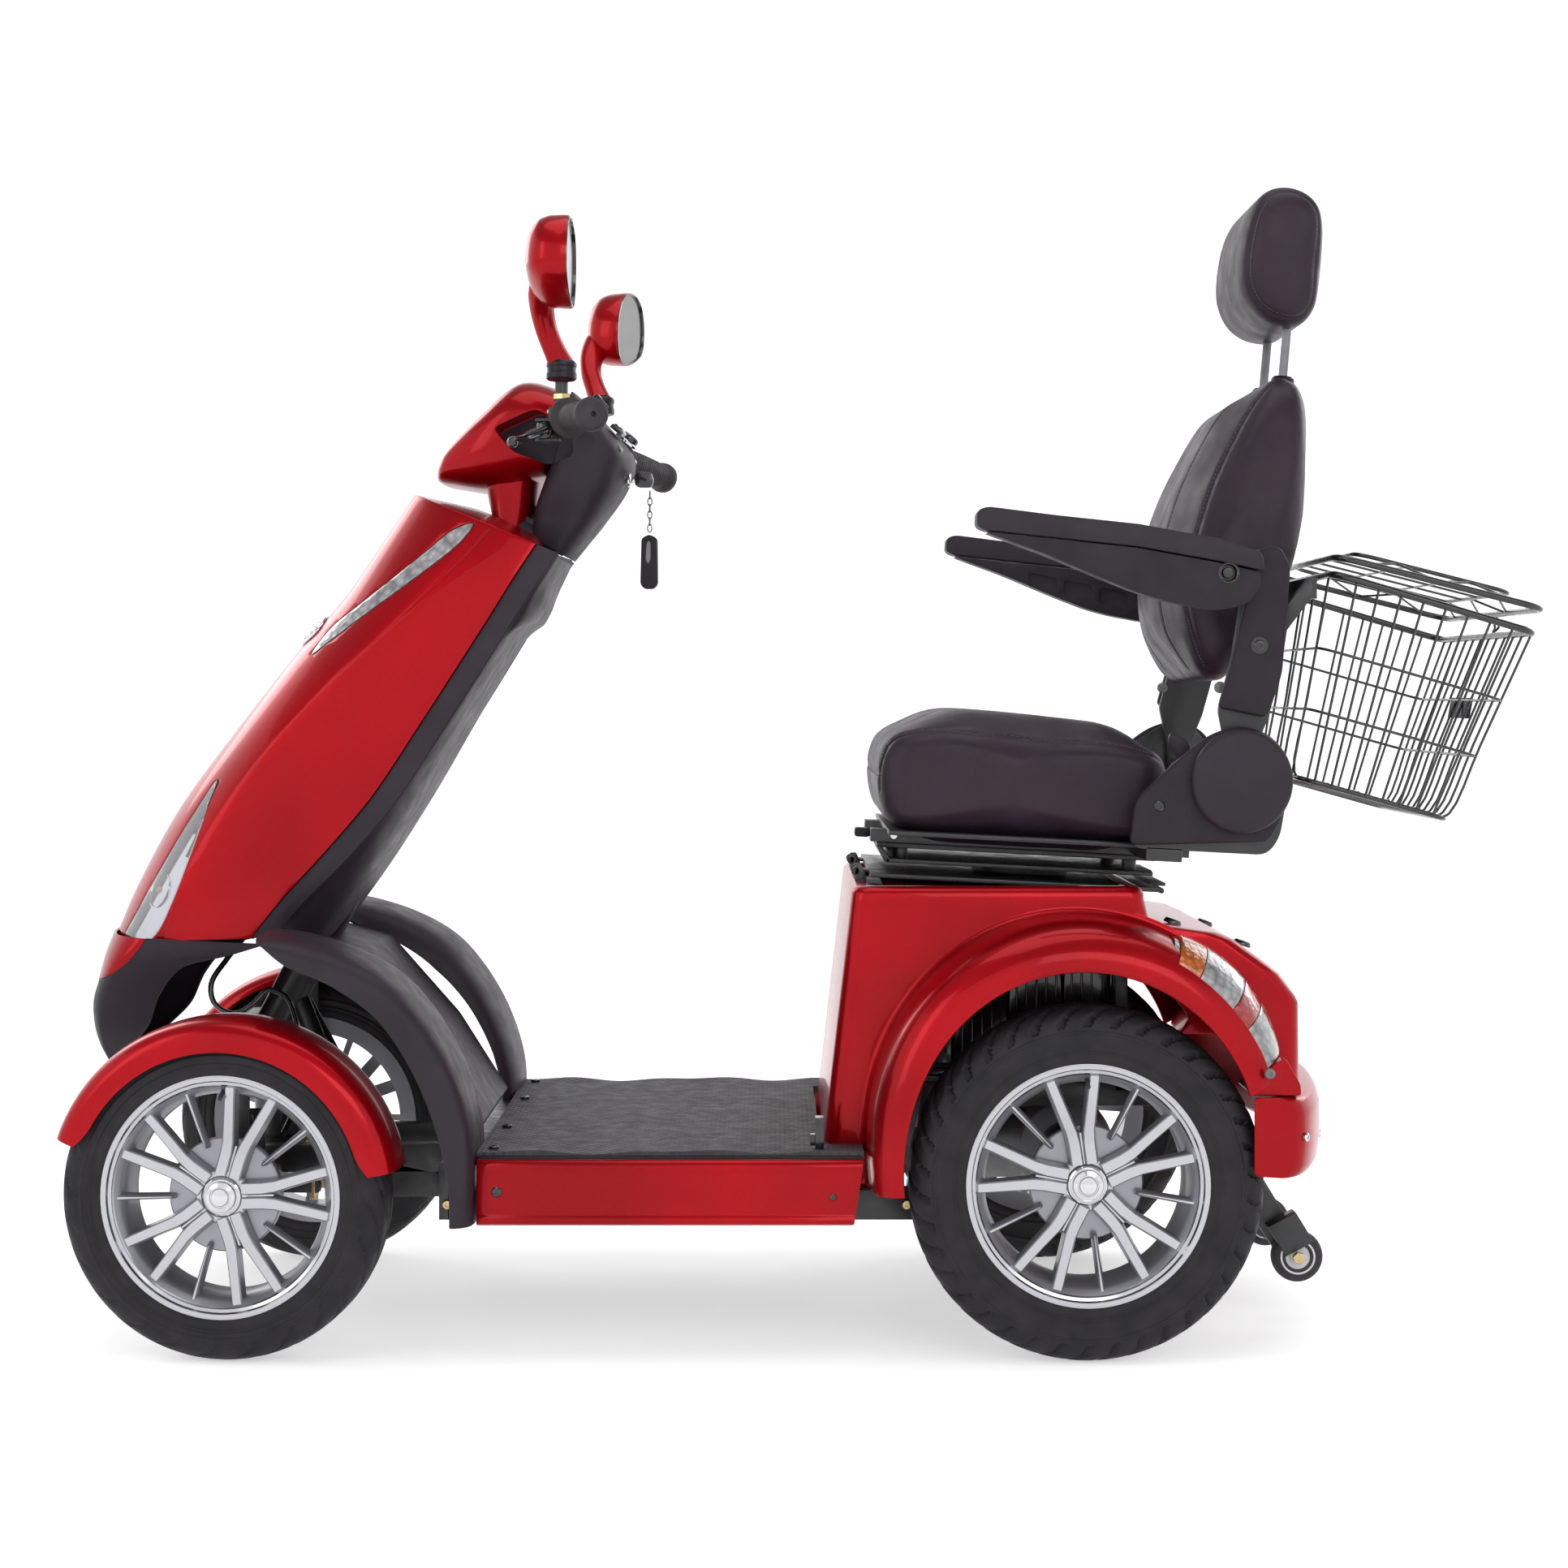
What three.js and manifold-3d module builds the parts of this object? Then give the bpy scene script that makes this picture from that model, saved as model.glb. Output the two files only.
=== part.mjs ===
// Four-wheel mobility scooter with a captain's seat, mirrors and a rear basket.
// Millimetres, +Z up, front of the scooter towards -X, driver's left towards -Y.
// The origin is on the floor, midway along and across the whole scooter.
import * as THREE from 'three';
import { mergeVertices } from 'three/addons/utils/BufferGeometryUtils.js';
import Module from 'manifold-3d';

const wasm = await Module();
wasm.setup();

// ---------------------------------------------------------------- driving dimensions
const AXLE_X = { front: -672, rear: 314 };       // wheelbase 986
const TYRE_R = { front: 191, rear: 205 };
const TYRE_HALF_WIDTH = { front: 40, rear: 44 };
const WHEEL_Y = 295;                              // half the track
const RIM_R = 140;                                // 10-inch rim
const SPINDLE_R = 8;
const HUB_BORE_R = 8.4;

const STEER_TILT = THREE.MathUtils.degToRad(28);  // steering axis leans back
const STEER_POINT = [-353, 963];                  // x, z of the axis at the cowl's top
const TILLER_TURN = THREE.MathUtils.degToRad(-7); // stored turned slightly to the right
const STEER_RATIO = 0.7;                          // wheel angle per tiller angle
const KNUCKLE_TURN = TILLER_TURN * STEER_RATIO;
const KINGPIN_Y = 225;

const FLOOR_Z = 230;                              // top of the steel floor pan
const MAT_THICK = 8;
const SILL_Y = 309;
const RAIL_Y = 190;

const SEAT_HINGE = [57, 553];                     // x, z of the seat lid's hinge
const SEAT_TILT = THREE.MathUtils.degToRad(3);    // seat slopes down to the rear
const SWIVEL_U = 206;                             // swivel axis, along the seat from its hinge
const RECLINE = [497, 669];                       // x, z of the backrest pivot
const ARM_PIVOT = [477, 908];                     // x, z of the armrest pivot
const ARM_Y = [277, 323];
const POST_Y = [250, 274];
const CUSHION_HALF = { seat: 245, back: 230, head: 130 };
const POST_LEAN = 0.09;                           // headrest posts, x per z

const CENTRE_SHIFT = 11.8;                        // moves the middle of the length onto the origin
const WALL = 4;                                   // moulded cover thickness
const GAP = 0.5;                                  // clearance between touching pieces

// ---------------------------------------------------------------- materials
const paint = (color, roughness, metalness) => (
  new THREE.MeshStandardMaterial({ color, roughness, metalness }));
const RED = paint(0x8e0a14, 0.25, 0.4);
const BLACK_PLASTIC = paint(0x2b2a2d, 0.6, 0.0);
const GLOSS_BLACK = paint(0x0c0c0d, 0.2, 0.0);
const LEATHER = paint(0x1d1a1c, 0.45, 0.0);
const STEEL = paint(0x141416, 0.45, 0.5);
const ALLOY = paint(0xc9c9cf, 0.25, 0.9);
const TYRE = paint(0x1a191b, 0.8, 0.0);
const RUBBER = paint(0x242225, 0.85, 0.0);
const CLEAR = paint(0xd8dde2, 0.08, 0.0);
const TAIL_LENS = paint(0xb01512, 0.15, 0.0);
const CAST = paint(0x8a8b8e, 0.5, 0.7);
const WIRE = paint(0x0f0f11, 0.35, 0.4);

// ---------------------------------------------------------------- solids and joins
/** A closed geometry as a solid that can be joined and cut. */
function solid(geometry) {
  const bare = geometry.clone();
  bare.deleteAttribute('normal');
  bare.deleteAttribute('uv');
  const merged = mergeVertices(bare, 1e-4);
  return new wasm.Manifold(new wasm.Mesh({
    numProp: 3,
    vertProperties: new Float32Array(merged.attributes.position.array),
    triVerts: new Uint32Array(merged.index.array),
  }));
}

/** The solid's faces as a geometry. */
function geometryOf(body) {
  const mesh = body.getMesh();
  const geometry = new THREE.BufferGeometry();
  geometry.setAttribute('position', new THREE.BufferAttribute(new Float32Array(mesh.vertProperties), 3));
  geometry.setIndex(new THREE.BufferAttribute(new Uint32Array(mesh.triVerts), 1));
  geometry.computeVertexNormals();
  return geometry;
}

const join = (...geometries) => geometries.map(solid).reduce((sum, next) => sum.add(next));
const cut = (body, ...geometries) => (
  geometries.map(solid).reduce((rest, next) => rest.subtract(next), body));

// ---------------------------------------------------------------- shapes
/** A box between two corners. */
function box(x0, x1, y0, y1, z0, z1) {
  const geometry = new THREE.BoxGeometry(Math.abs(x1 - x0), Math.abs(y1 - y0), Math.abs(z1 - z0));
  return geometry.translate((x0 + x1) / 2, (y0 + y1) / 2, (z0 + z1) / 2);
}

/** An outline in the XZ plane, extruded from y0 to y1. */
function slab(outline, y0, y1) {
  const shape = new THREE.Shape(outline.map(([x, z]) => new THREE.Vector2(x, z)));
  const depth = Math.abs(y1 - y0);
  const geometry = new THREE.ExtrudeGeometry(shape, { depth, bevelEnabled: false, curveSegments: 8 });
  return geometry.rotateX(Math.PI / 2).translate(0, Math.max(y0, y1), 0);
}

/** A round rod between two points. */
function rod(from, to, radius, sides = 12) {
  const start = new THREE.Vector3(...from);
  const end = new THREE.Vector3(...to);
  const geometry = new THREE.CylinderGeometry(radius, radius, start.distanceTo(end), sides);
  const along = end.clone().sub(start).normalize();
  geometry.applyQuaternion(new THREE.Quaternion().setFromUnitVectors(new THREE.Vector3(0, 1, 0), along));
  const middle = start.add(end).multiplyScalar(0.5);
  return geometry.translate(middle.x, middle.y, middle.z);
}

/** A round tube or cable along a smooth curve through the points. */
function bentRod(points, radius, sides = 8, steps = 12) {
  const curve = new THREE.CatmullRomCurve3(points.map((p) => new THREE.Vector3(...p)));
  const shape = new THREE.Shape();
  for (let i = 0; i < sides; i += 1) {
    const angle = (2 * Math.PI * i) / sides;
    const point = [radius * Math.cos(angle), radius * Math.sin(angle)];
    if (i === 0) shape.moveTo(...point);
    else shape.lineTo(...point);
  }
  shape.closePath();
  return new THREE.ExtrudeGeometry(shape, { steps, extrudePath: curve, bevelEnabled: false });
}

/** Triangles over one flat ring of points. */
function capFaces(ring) {
  const normal = new THREE.Vector3();
  ring.forEach((p, i) => normal.add(new THREE.Vector3().crossVectors(p, ring[(i + 1) % ring.length])));
  normal.normalize();
  const across = new THREE.Vector3(normal.z, normal.x, normal.y).cross(normal).normalize();
  const up = normal.clone().cross(across);
  const flat = ring.map((p) => new THREE.Vector2(p.dot(across), p.dot(up)));
  return THREE.ShapeUtils.triangulateShape(flat, []);
}

/** One closed body through a row of rings that all have the same number of points. */
function loft(rings) {
  const count = rings[0].length;
  const faces = [];
  for (let r = 0; r < rings.length - 1; r += 1) {
    for (let i = 0; i < count; i += 1) {
      const a = r * count + i;
      const b = r * count + ((i + 1) % count);
      faces.push([a, b, b + count], [a, b + count, a + count]);
    }
  }
  const last = (rings.length - 1) * count;
  capFaces(rings[0]).forEach(([a, b, c]) => faces.push([a, c, b]));
  capFaces(rings[rings.length - 1]).forEach(([a, b, c]) => faces.push([last + a, last + b, last + c]));
  const points = rings.flat();
  let volume = 0;
  faces.forEach(([a, b, c]) => { volume += points[a].dot(points[b].clone().cross(points[c])); });
  const geometry = new THREE.BufferGeometry();
  const numbers = points.flatMap((p) => [p.x, p.y, p.z]);
  geometry.setAttribute('position', new THREE.Float32BufferAttribute(numbers, 3));
  geometry.setIndex(faces.flatMap(([a, b, c]) => (volume > 0 ? [a, b, c] : [a, c, b])));
  return geometry;
}

/** A section of [radius, y] points swept round a wheel centre; angles in degrees up from the front. */
function archSweep(sectionAt, centre, fromDeg, toDeg, steps) {
  const rings = [];
  for (let i = 0; i <= steps; i += 1) {
    const degrees = fromDeg + ((toDeg - fromDeg) * i) / steps;
    const angle = THREE.MathUtils.degToRad(degrees);
    rings.push(sectionAt(degrees).map(([r, y]) => (
      new THREE.Vector3(centre[0] - r * Math.cos(angle), y, centre[1] + r * Math.sin(angle)))));
  }
  return loft(rings);
}

/** A rounded ring between a front and a rear point in the XZ plane, with a half width across Y. */
function ovalRing(front, rear, halfWidth, inset = 0, power = 0.7, count = 12) {
  const ring = [];
  const length = Math.hypot(rear[0] - front[0], rear[1] - front[1]);
  for (let i = 0; i < count; i += 1) {
    const angle = (2 * Math.PI * i) / count;
    const round = (value) => Math.sign(value) * Math.abs(value) ** power;
    const along = 0.5 - 0.5 * round(Math.cos(angle)) * (1 - (2 * inset) / length);
    const y = round(Math.sin(angle)) * (halfWidth - inset);
    ring.push(new THREE.Vector3(
      front[0] + (rear[0] - front[0]) * along, y, front[1] + (rear[1] - front[1]) * along));
  }
  return ring;
}

/** Stations of [front, rear, halfWidth] lofted into one oval body. */
const ovalLoft = (stations, inset = 0, power = 0.7) => (
  loft(stations.map(([front, rear, half]) => ovalRing(front, rear, half, inset, power))));

// ---------------------------------------------------------------- places
/** The steering axis: x at a height, and the point a distance along it. */
const AXIS = new THREE.Vector3(Math.sin(STEER_TILT), 0, Math.cos(STEER_TILT));
const axisX = (z) => STEER_POINT[0] + (z - STEER_POINT[1]) * Math.tan(STEER_TILT);
const onAxis = (z) => [axisX(z), 0, z];

/** Seat coordinates: u back along the seat from its hinge, w square to it. */
const seat = (u, w) => [
  SEAT_HINGE[0] + u * Math.cos(SEAT_TILT) + w * Math.sin(SEAT_TILT),
  SEAT_HINGE[1] - u * Math.sin(SEAT_TILT) + w * Math.cos(SEAT_TILT)];
const seatSlab = (u0, u1, w0, w1, y0, y1) => (
  slab([seat(u0, w0), seat(u1, w0), seat(u1, w1), seat(u0, w1)], y0, y1));
const seatPoint = (u, y, w) => [seat(u, w)[0], y, seat(u, w)[1]];

const scooter = new THREE.Group();
scooter.position.x = CENTRE_SHIFT;
const tiller = new THREE.Group();
scooter.add(tiller);

/** Adds one named piece to a group. */
function piece(name, geometry, material, group = scooter) {
  const shown = geometry.getMesh ? geometryOf(geometry) : geometry;
  const mesh = new THREE.Mesh(shown, material);
  mesh.name = name;
  group.add(mesh);
  return mesh;
}

/** Does the same for the driver's left (side -1) and right (side +1). */
const bothSides = (make) => [['left', -1], ['right', 1]].forEach(([side, sign]) => make(side, sign));

// ---------------------------------------------------------------- wheels
const WHEEL_SIDES = 22;
const SPOKE_SPREAD = [-17, 17].map(THREE.MathUtils.degToRad);

function wheel(name, end, group, sign) {
  const half = TYRE_HALF_WIDTH[end];
  const lip = half - 4;
  const barrel = [
    [RIM_R, lip], [115, lip - 18], [115, -lip + 12], [RIM_R, -lip],
    [110, -lip + 8], [110, lip - 14], [RIM_R, lip]];
  const hub = [
    [0, 40], [29, 28], [29, 12], [66, 10], [66, 4], [29, 4], [29, -44], [HUB_BORE_R, -44],
      [HUB_BORE_R, 33], [0, 33]];
  const lathe = (profile, sides = WHEEL_SIDES) => (
    new THREE.LatheGeometry(profile.map(([r, y]) => new THREE.Vector2(r, y)).reverse(), sides));
  let rim = join(lathe(barrel), lathe(hub, 12));
  for (let i = 0; i < 5; i += 1) {
    const turn = (2 * Math.PI * i) / 5;
    SPOKE_SPREAD.forEach((spread) => {
      const spoke = box(27, 113, -7, 7, -6, 6).translate(0, lip - 22, 0);
      rim = rim.add(solid(spoke.rotateY(turn + spread)));
    });
  }
  const r = TYRE_R[end];
  const tread = half - 16;
  const carcass = [
    [RIM_R + 1, lip + 1], [r - 25, half], [r - 6, half - 5], [r, tread], [r, -tread], [r - 6, -half + 5],
    [r - 25, -half], [RIM_R + 1, -lip - 1], [128, -lip + 12], [128, lip - 12], [RIM_R + 1, lip + 1]];
  const holder = new THREE.Group();
  holder.position.set(AXLE_X[end], sign * WHEEL_Y, TYRE_R[end]);
  if (sign < 0) holder.rotation.z = Math.PI;
  group.add(holder);
  piece(`${name}_rim`, rim, ALLOY, holder);
  piece(`${name}_tyre`, lathe(carcass), TYRE, holder);
}

// ---------------------------------------------------------------- front knuckles and fenders
const FENDER_R = 206;

function knuckle(side, sign) {
  const pivot = new THREE.Group();
  pivot.position.set(AXLE_X.front, sign * KINGPIN_Y, 0);
  pivot.rotation.z = KNUCKLE_TURN;
  scooter.add(pivot);
  const straight = new THREE.Group();
  straight.position.set(-AXLE_X.front, -sign * KINGPIN_Y, 0);
  pivot.add(straight);
  const x = AXLE_X.front;
  const z = TYRE_R.front;
  const y = (value) => sign * value;
  const stay = slab([[x - 12, z], [x + 12, z], [x + 12, z + 196], [x - 12, z + 196]], y(241.5), y(245.5));
  const shelf = box(x - 14, x + 14, y(241.5), y(252), z + 196, z + 200);
  const arm = slab([[x, z - 12], [x + 90, z - 12], [x + 90, z + 2], [x, z + 8]], y(218), y(226));
  piece(`knuckle_${side}`, join(
    rod([x, y(KINGPIN_Y), z - 41], [x, y(KINGPIN_Y), z + 71], 15),
    rod([x, y(KINGPIN_Y), z], [x, y(WHEEL_Y + 31), z], SPINDLE_R, 16),
    rod([x, y(239), z], [x, y(250), z], 26),
    stay, shelf, arm), STEEL, straight);
  const section = [
    [167, 345], [193, 345], [FENDER_R - 3, 339], [FENDER_R, 326], [FENDER_R, 266], [FENDER_R - 4, 251],
    [190, 246.5], [186, 246.5], [186, 250], [197, 254], [FENDER_R - 4, 268], [FENDER_R - 4, 325],
    [FENDER_R - 7, 336], [192, 341], [167, 341]];
  const skin = archSweep(() => section.map(([r, across]) => [r, y(across)]), [x, z], 20, 170, 10);
  const notch = box(x - 15, x + 15, y(240), y(253), z + 195, z + 201);
  piece(`front_fender_${side}`, cut(solid(skin), notch), RED, straight);
  wheel(`front_wheel_${side}`, 'front', straight, sign);
}

bothSides(knuckle);
bothSides((side, sign) => wheel(`rear_wheel_${side}`, 'rear', scooter, sign));

// ---------------------------------------------------------------- welded frame
const BEAM_Z = TYRE_R.front;
const ANTI_TIP = { x: 593, y: 112, z: 81, r: 24 };

function frameParts() {
  const parts = [];
  const x = AXLE_X.front;
  parts.push(box(x - 22, x + 22, -196, 196, BEAM_Z - 18, BEAM_Z + 22));
  parts.push(box(-420, 10, -SILL_Y + 6, SILL_Y - 6, FLOOR_Z - 6, FLOOR_Z));
  [-380, -190, -20].forEach((cross) => parts.push(box(cross, cross + 30, -300, 300, 180, FLOOR_Z - 3)));
  [-1, 1].forEach((sign) => {
    const y = (value) => sign * value;
    parts.push(box(x - 18, x + 18, y(190), y(206), BEAM_Z - 52, BEAM_Z + 82));
    parts.push(box(x - 12, x + 12, y(190), y(235), BEAM_Z + 72, BEAM_Z + 82));
    parts.push(box(x - 12, x + 12, y(190), y(235), BEAM_Z - 52, BEAM_Z - 42));
    parts.push(slab([[-430, 150], [150, 150], [150, 185], [-430, 185]], y(RAIL_Y), y(RAIL_Y - 30)));
    parts.push(slab([[-440, 150], [-400, 150], [-400, 215], [-440, 215]], y(RAIL_Y), y(60)));
    parts.push(slab([[x - 10, 180], [x, 180], [-400, 180], [-400, 215], [x - 10, 213]], y(95), y(70)));
    parts.push(slab(
      [[110, 150], [150, 150], [170, 272], [420, 272], [420, 300], [135, 300]], y(165), y(140)));
    parts.push(box(65, 90, y(165), y(140), 280, 534));
    parts.push(slab([[65, 280], [90, 280], [160, 290], [160, 300], [90, 300]], y(165), y(140)));
    parts.push(box(365, 380, y(165), y(140), 290, 522));
    parts.push(slab([[65, 522], [65, 534], [380, 523], [380, 511]], y(165), y(140)));
    parts.push(slab([[395, 272], [520, 160], [540, 176], [420, 300]], y(106), y(88)));
    parts.push(box(395, 420, y(150), y(88), 272, 300));
    parts.push(slab([[520, 160], [578, 70], [608, 70], [608, 92], [545, 182]], y(98), y(90)));
    parts.push(rod([ANTI_TIP.x, y(94), ANTI_TIP.z], [ANTI_TIP.x, y(126), ANTI_TIP.z], 4, 10));
    [90, 131].forEach((ear) => parts.push(slab(
      [[52, 520], [66, 520], [66, 547], [61, 560], [53, 560], [52, 553]], y(ear), y(ear + 6))));
    parts.push(box(52, 70, y(88), y(142), 520, 530));
    parts.push(slab([[-560, 150], [-440, 150], [-440, 175], [-560, 200]], y(95), y(70)));
  });
  parts.push(box(65, 90, -150, 150, 510, 530));
  parts.push(box(365, 380, -150, 150, 500, 516));
  parts.push(rod(onAxis(330), onAxis(935), 24));
  parts.push(rod([x, 0, BEAM_Z], onAxis(345), 26, 10));
  parts.push(box(x - 60, x - 10, -90, 90, 340, 362));
  parts.push(rod([-560, 60, 200], onAxis(400), 12, 6));
  parts.push(rod([-560, -60, 200], onAxis(400), 12, 6));
  parts.push(box(-575, -545, -90, 90, 185, 210));
  return parts;
}

piece('frame', cut(join(...frameParts()), rod(onAxis(320), onAxis(945), 15.5)), STEEL);

// ---------------------------------------------------------------- floor, sills and front arches
const MAT_FRONT = -390;
const MAT_REAR = 58;
const matOutline = new THREE.Shape([
  [MAT_FRONT, -306], [MAT_REAR, -306], [MAT_REAR, -250], [8, -246],
  [8, 246], [MAT_REAR, 250], [MAT_REAR, 306], [MAT_FRONT, 306]].map(([x, y]) => new THREE.Vector2(x, y)));
piece('floor_mat', new THREE.ExtrudeGeometry(matOutline, { depth: MAT_THICK, bevelEnabled: false })
  .translate(0, 0, FLOOR_Z + GAP), RUBBER);

bothSides((side, sign) => {
  piece(`sill_${side}`, slab([[-387, 158], [40, 155], [56, 222], [56, 228], [-389, 234]],
    sign * SILL_Y, sign * (SILL_Y + 14)), RED);
});

/** The front wheel arch's outer line, from the tip under the cowl down to the sill. */
const ARCH_OUT = [
  [-640, 490], [-600, 486], [-532, 464], [-482, 434], [-446, 393], [-418, 346], [-400, 300],
  [-391, 258], [-391, 158]];
const ARCH_IN = [
  [-417, 158], [-418, 198], [-432, 270], [-458, 336], [-500, 396], [-552, 434], [-606, 458]];

bothSides((side, sign) => {
  const skin = slab([...ARCH_OUT, [-396, 158], [-396, 256], [-405, 298], [-423, 343], [-451, 389],
    [-486, 429],
    [-535, 459], [-601, 481], [-640, 485]], sign * 345, sign * 172);
  const lip = slab([...ARCH_OUT, ...ARCH_IN], sign * 345, sign * 338);
  const body = join(skin, lip);
  piece(`inner_fender_${side}`, cut(body, box(-400, -380, sign * 308, sign * 172, 140, 240)),
    BLACK_PLASTIC);
});

// ---------------------------------------------------------------- front cowl, lamps and leg shield
// Each station holds the hood's front point, the side panel's rear edge and the half width there.
const COWL = [
  [[-873, 466], [-677, 474], 165],
  [[-841, 537], [-638, 521], 172],
  [[-790, 629], [-590, 573], 175],
  [[-718, 727], [-530, 644], 172],
  [[-650, 815], [-464, 745], 165],
  [[-588, 888], [-405, 838], 156],
  [[-542, 955], [-362, 908], 148],
  [[-500, 1018], [-335, 950], 140],
];

/** Half of the cowl's section: how far back and how wide, as parts of the depth and half width. */
const COWL_SECTION = [[0, 0], [0.02, 0.3], [0.07, 0.58], [0.2, 0.78], [0.5, 0.93], [0.8, 0.99], [1, 1]];

function cowlRing([front, rear, half], inset, reach) {
  const depth = Math.hypot(rear[0] - front[0], rear[1] - front[1]);
  const side = COWL_SECTION.map(([back, wide]) => {
    const share = Math.max(back,
      (back * (depth - inset) + inset) / depth) + (back === 1 ? reach / depth : 0);
    const y = wide * (half - inset);
    return [front[0] + (rear[0] - front[0]) * share, y, front[1] + (rear[1] - front[1]) * share];
  });
  const left = side.slice(1).reverse().map(([x, y, z]) => new THREE.Vector3(x, -y, z));
  return [...left, ...side.map(([x, y, z]) => new THREE.Vector3(x, y, z))];
}

/** The cowl station moved along the cowl's length, past its end. */
function slid([front, rear, half], dx, dz) {
  return [[front[0] + dx, front[1] + dz], [rear[0] + dx, rear[1] + dz], half];
}

const cowlSolid = (stations, inset, reach) => solid(loft(stations.map((s) => cowlRing(s, inset, reach))));
const cowlOuter = cowlSolid(COWL, 0, 0);
const HOLLOW = [slid(COWL[0], -20, -34), ...COWL.slice(0, -1), slid(COWL[COWL.length - 1], -3, -5)];
const cowlInner = (inset) => cowlSolid(HOLLOW, inset, 30);

// Teardrop headlamps as outlines in the side view, and the slightly larger openings they sit in.
const LAMP_OUTLINE = [
  [-726, 668], [-760, 628], [-806, 560], [-850, 484], [-852, 470], [-820, 468], [-792, 480],
  [-768, 530], [-745, 590]];
const LAMP_OPENING = [
  [-722, 676], [-762, 634], [-812, 562], [-880, 484], [-880, 440], [-820, 440], [-789, 476],
  [-765, 530], [-742, 590]];
const lampReach = (sign, outline, from, to) => slab(outline, sign * from, sign * to);

const steerHole = rod(onAxis(900), onAxis(1010), 30, 16);
let cowl = cowlOuter.subtract(cowlInner(WALL));
bothSides((side, sign) => { cowl = cut(cowl, lampReach(sign, LAMP_OPENING, 70, 200)); });
piece('front_cowl', cut(cowl, steerHole), RED);

bothSides((side, sign) => {
  const lens = cowlOuter.intersect(solid(lampReach(sign, LAMP_OUTLINE, 72, 200))).subtract(cowlInner(8));
  piece(`headlamp_${side}`, lens, CLEAR);
});

// The leg shield closes the cowl's back; its stations hold the rear centre line.
const SHIELD = [
  [-612, 452], [-577, 497], [-535, 557], [-482, 643], [-424, 745], [-366, 842], [-326, 886], [-308, 933]];
const STRIP = 27;

function shieldRing(index, inset) {
  const [front, rear, half] = COWL[index];
  const centre = SHIELD[index];
  const depth = Math.hypot(rear[0] - front[0], rear[1] - front[1]);
  const back = [(rear[0] - front[0]) / depth, (rear[1] - front[1]) / depth];
  const start = [rear[0] + back[0] * GAP * 2, rear[1] + back[1] * GAP * 2];
  const strip = [rear[0] + back[0] * STRIP, rear[1] + back[1] * STRIP];
  const at = (share) => [
    strip[0] + (centre[0] - strip[0]) * share, strip[1] + (centre[1] - strip[1]) * share];
  const side = [
    [start, half], [strip, half - 2], [at(0.35), half - 34], [at(0.8), half * 0.5], [centre,
      half * 0.28]];
  const outside = side.map(([p, y]) => [p[0], y, p[1]]);
  const inside = side.map(([p, y], i) => {
    const forward = i === 0 ? 0 : inset;
    return [p[0] - back[0] * forward, Math.max(y - inset, 6), p[1] - back[1] * forward];
  }).reverse();
  const mirrored = (points) => points.map(([x, y, z]) => new THREE.Vector3(x, -y, z)).reverse();
  const plain = (points) => points.map(([x, y, z]) => new THREE.Vector3(x, y, z));
  return [...plain(outside), ...mirrored(outside), ...mirrored(inside), ...plain(inside)];
}

// The chin wraps under the lamps and hangs down in front of the axle.
const CHIN = [
  [[-874, 462], [-655, 462], 166],
  [[-887, 414], [-760, 436], 152],
  [[-889, 362], [-806, 368], 128],
  [[-872, 316], [-838, 330], 96],
];
const chinOuter = cowlSolid(CHIN, 0, 0);
const chinInner = cowlSolid([slid(CHIN[0], 0, 8), ...CHIN.slice(1, -1), slid(CHIN[3], 8, -14)], WALL, 30);
const shieldSkin = solid(loft(COWL.map((station, index) => shieldRing(index, WALL))));
let shield = shieldSkin.add(chinOuter.subtract(chinInner));
bothSides((side, sign) => {
  shield = shield.add(solid(slab([[-667, 455], [-648, 452], [-648, 484], [-660, 484]], sign * 159.5,
    sign * 164.5)));
});
const FOOTWELL = [[-616, 458], [-560, 440], [-470, 340], [-402, 239.5], [-402, 246], [-464, 345],
  [-556, 448]];
shield = shield.add(solid(slab(FOOTWELL, -168, 168)));
const steerClear = rod(onAxis(925), onAxis(1010), 34);
piece('leg_shield', cut(shield, steerClear, rod(onAxis(320), onAxis(945), 25)), BLACK_PLASTIC);

// ---------------------------------------------------------------- brake cable at the front
piece('brake_cable', bentRod([
  [-700, -70, 470], [-722, -84, 440], [-738, -96, 412], [-732, -104, 388], [-708, -108, 376],
  [-684, -106, 388], [-668, -100, 404], [-648, -94, 396], [-636, -90, 366], [-632, -92, 320],
  [-634, -110, 262], [-640, -150, 236]],
3, 6, 18), GLOSS_BLACK);

// ---------------------------------------------------------------- rear body
const ARCH_CENTRE = [308, 205];
const ARCH_R = 240;
const BODY_Y = 243;
const FLARE_Y = 354;

/** The flare's outer radius at an angle up from the front: full over the wheel, smaller at both ends. */
function flareRadius(degrees) {
  const t = THREE.MathUtils.degToRad(degrees);
  return 246 + 60 * Math.sin(THREE.MathUtils.clamp(t, 0, Math.PI)) ** 1.4;
}

const arcPoints = (radius, fromDeg, toDeg, steps) => Array.from({ length: steps + 1 }, (_, i) => {
  const t = THREE.MathUtils.degToRad(fromDeg + ((toDeg - fromDeg) * i) / steps);
  return [ARCH_CENTRE[0] - radius * Math.cos(t), ARCH_CENTRE[1] + radius * Math.sin(t)];
});

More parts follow.
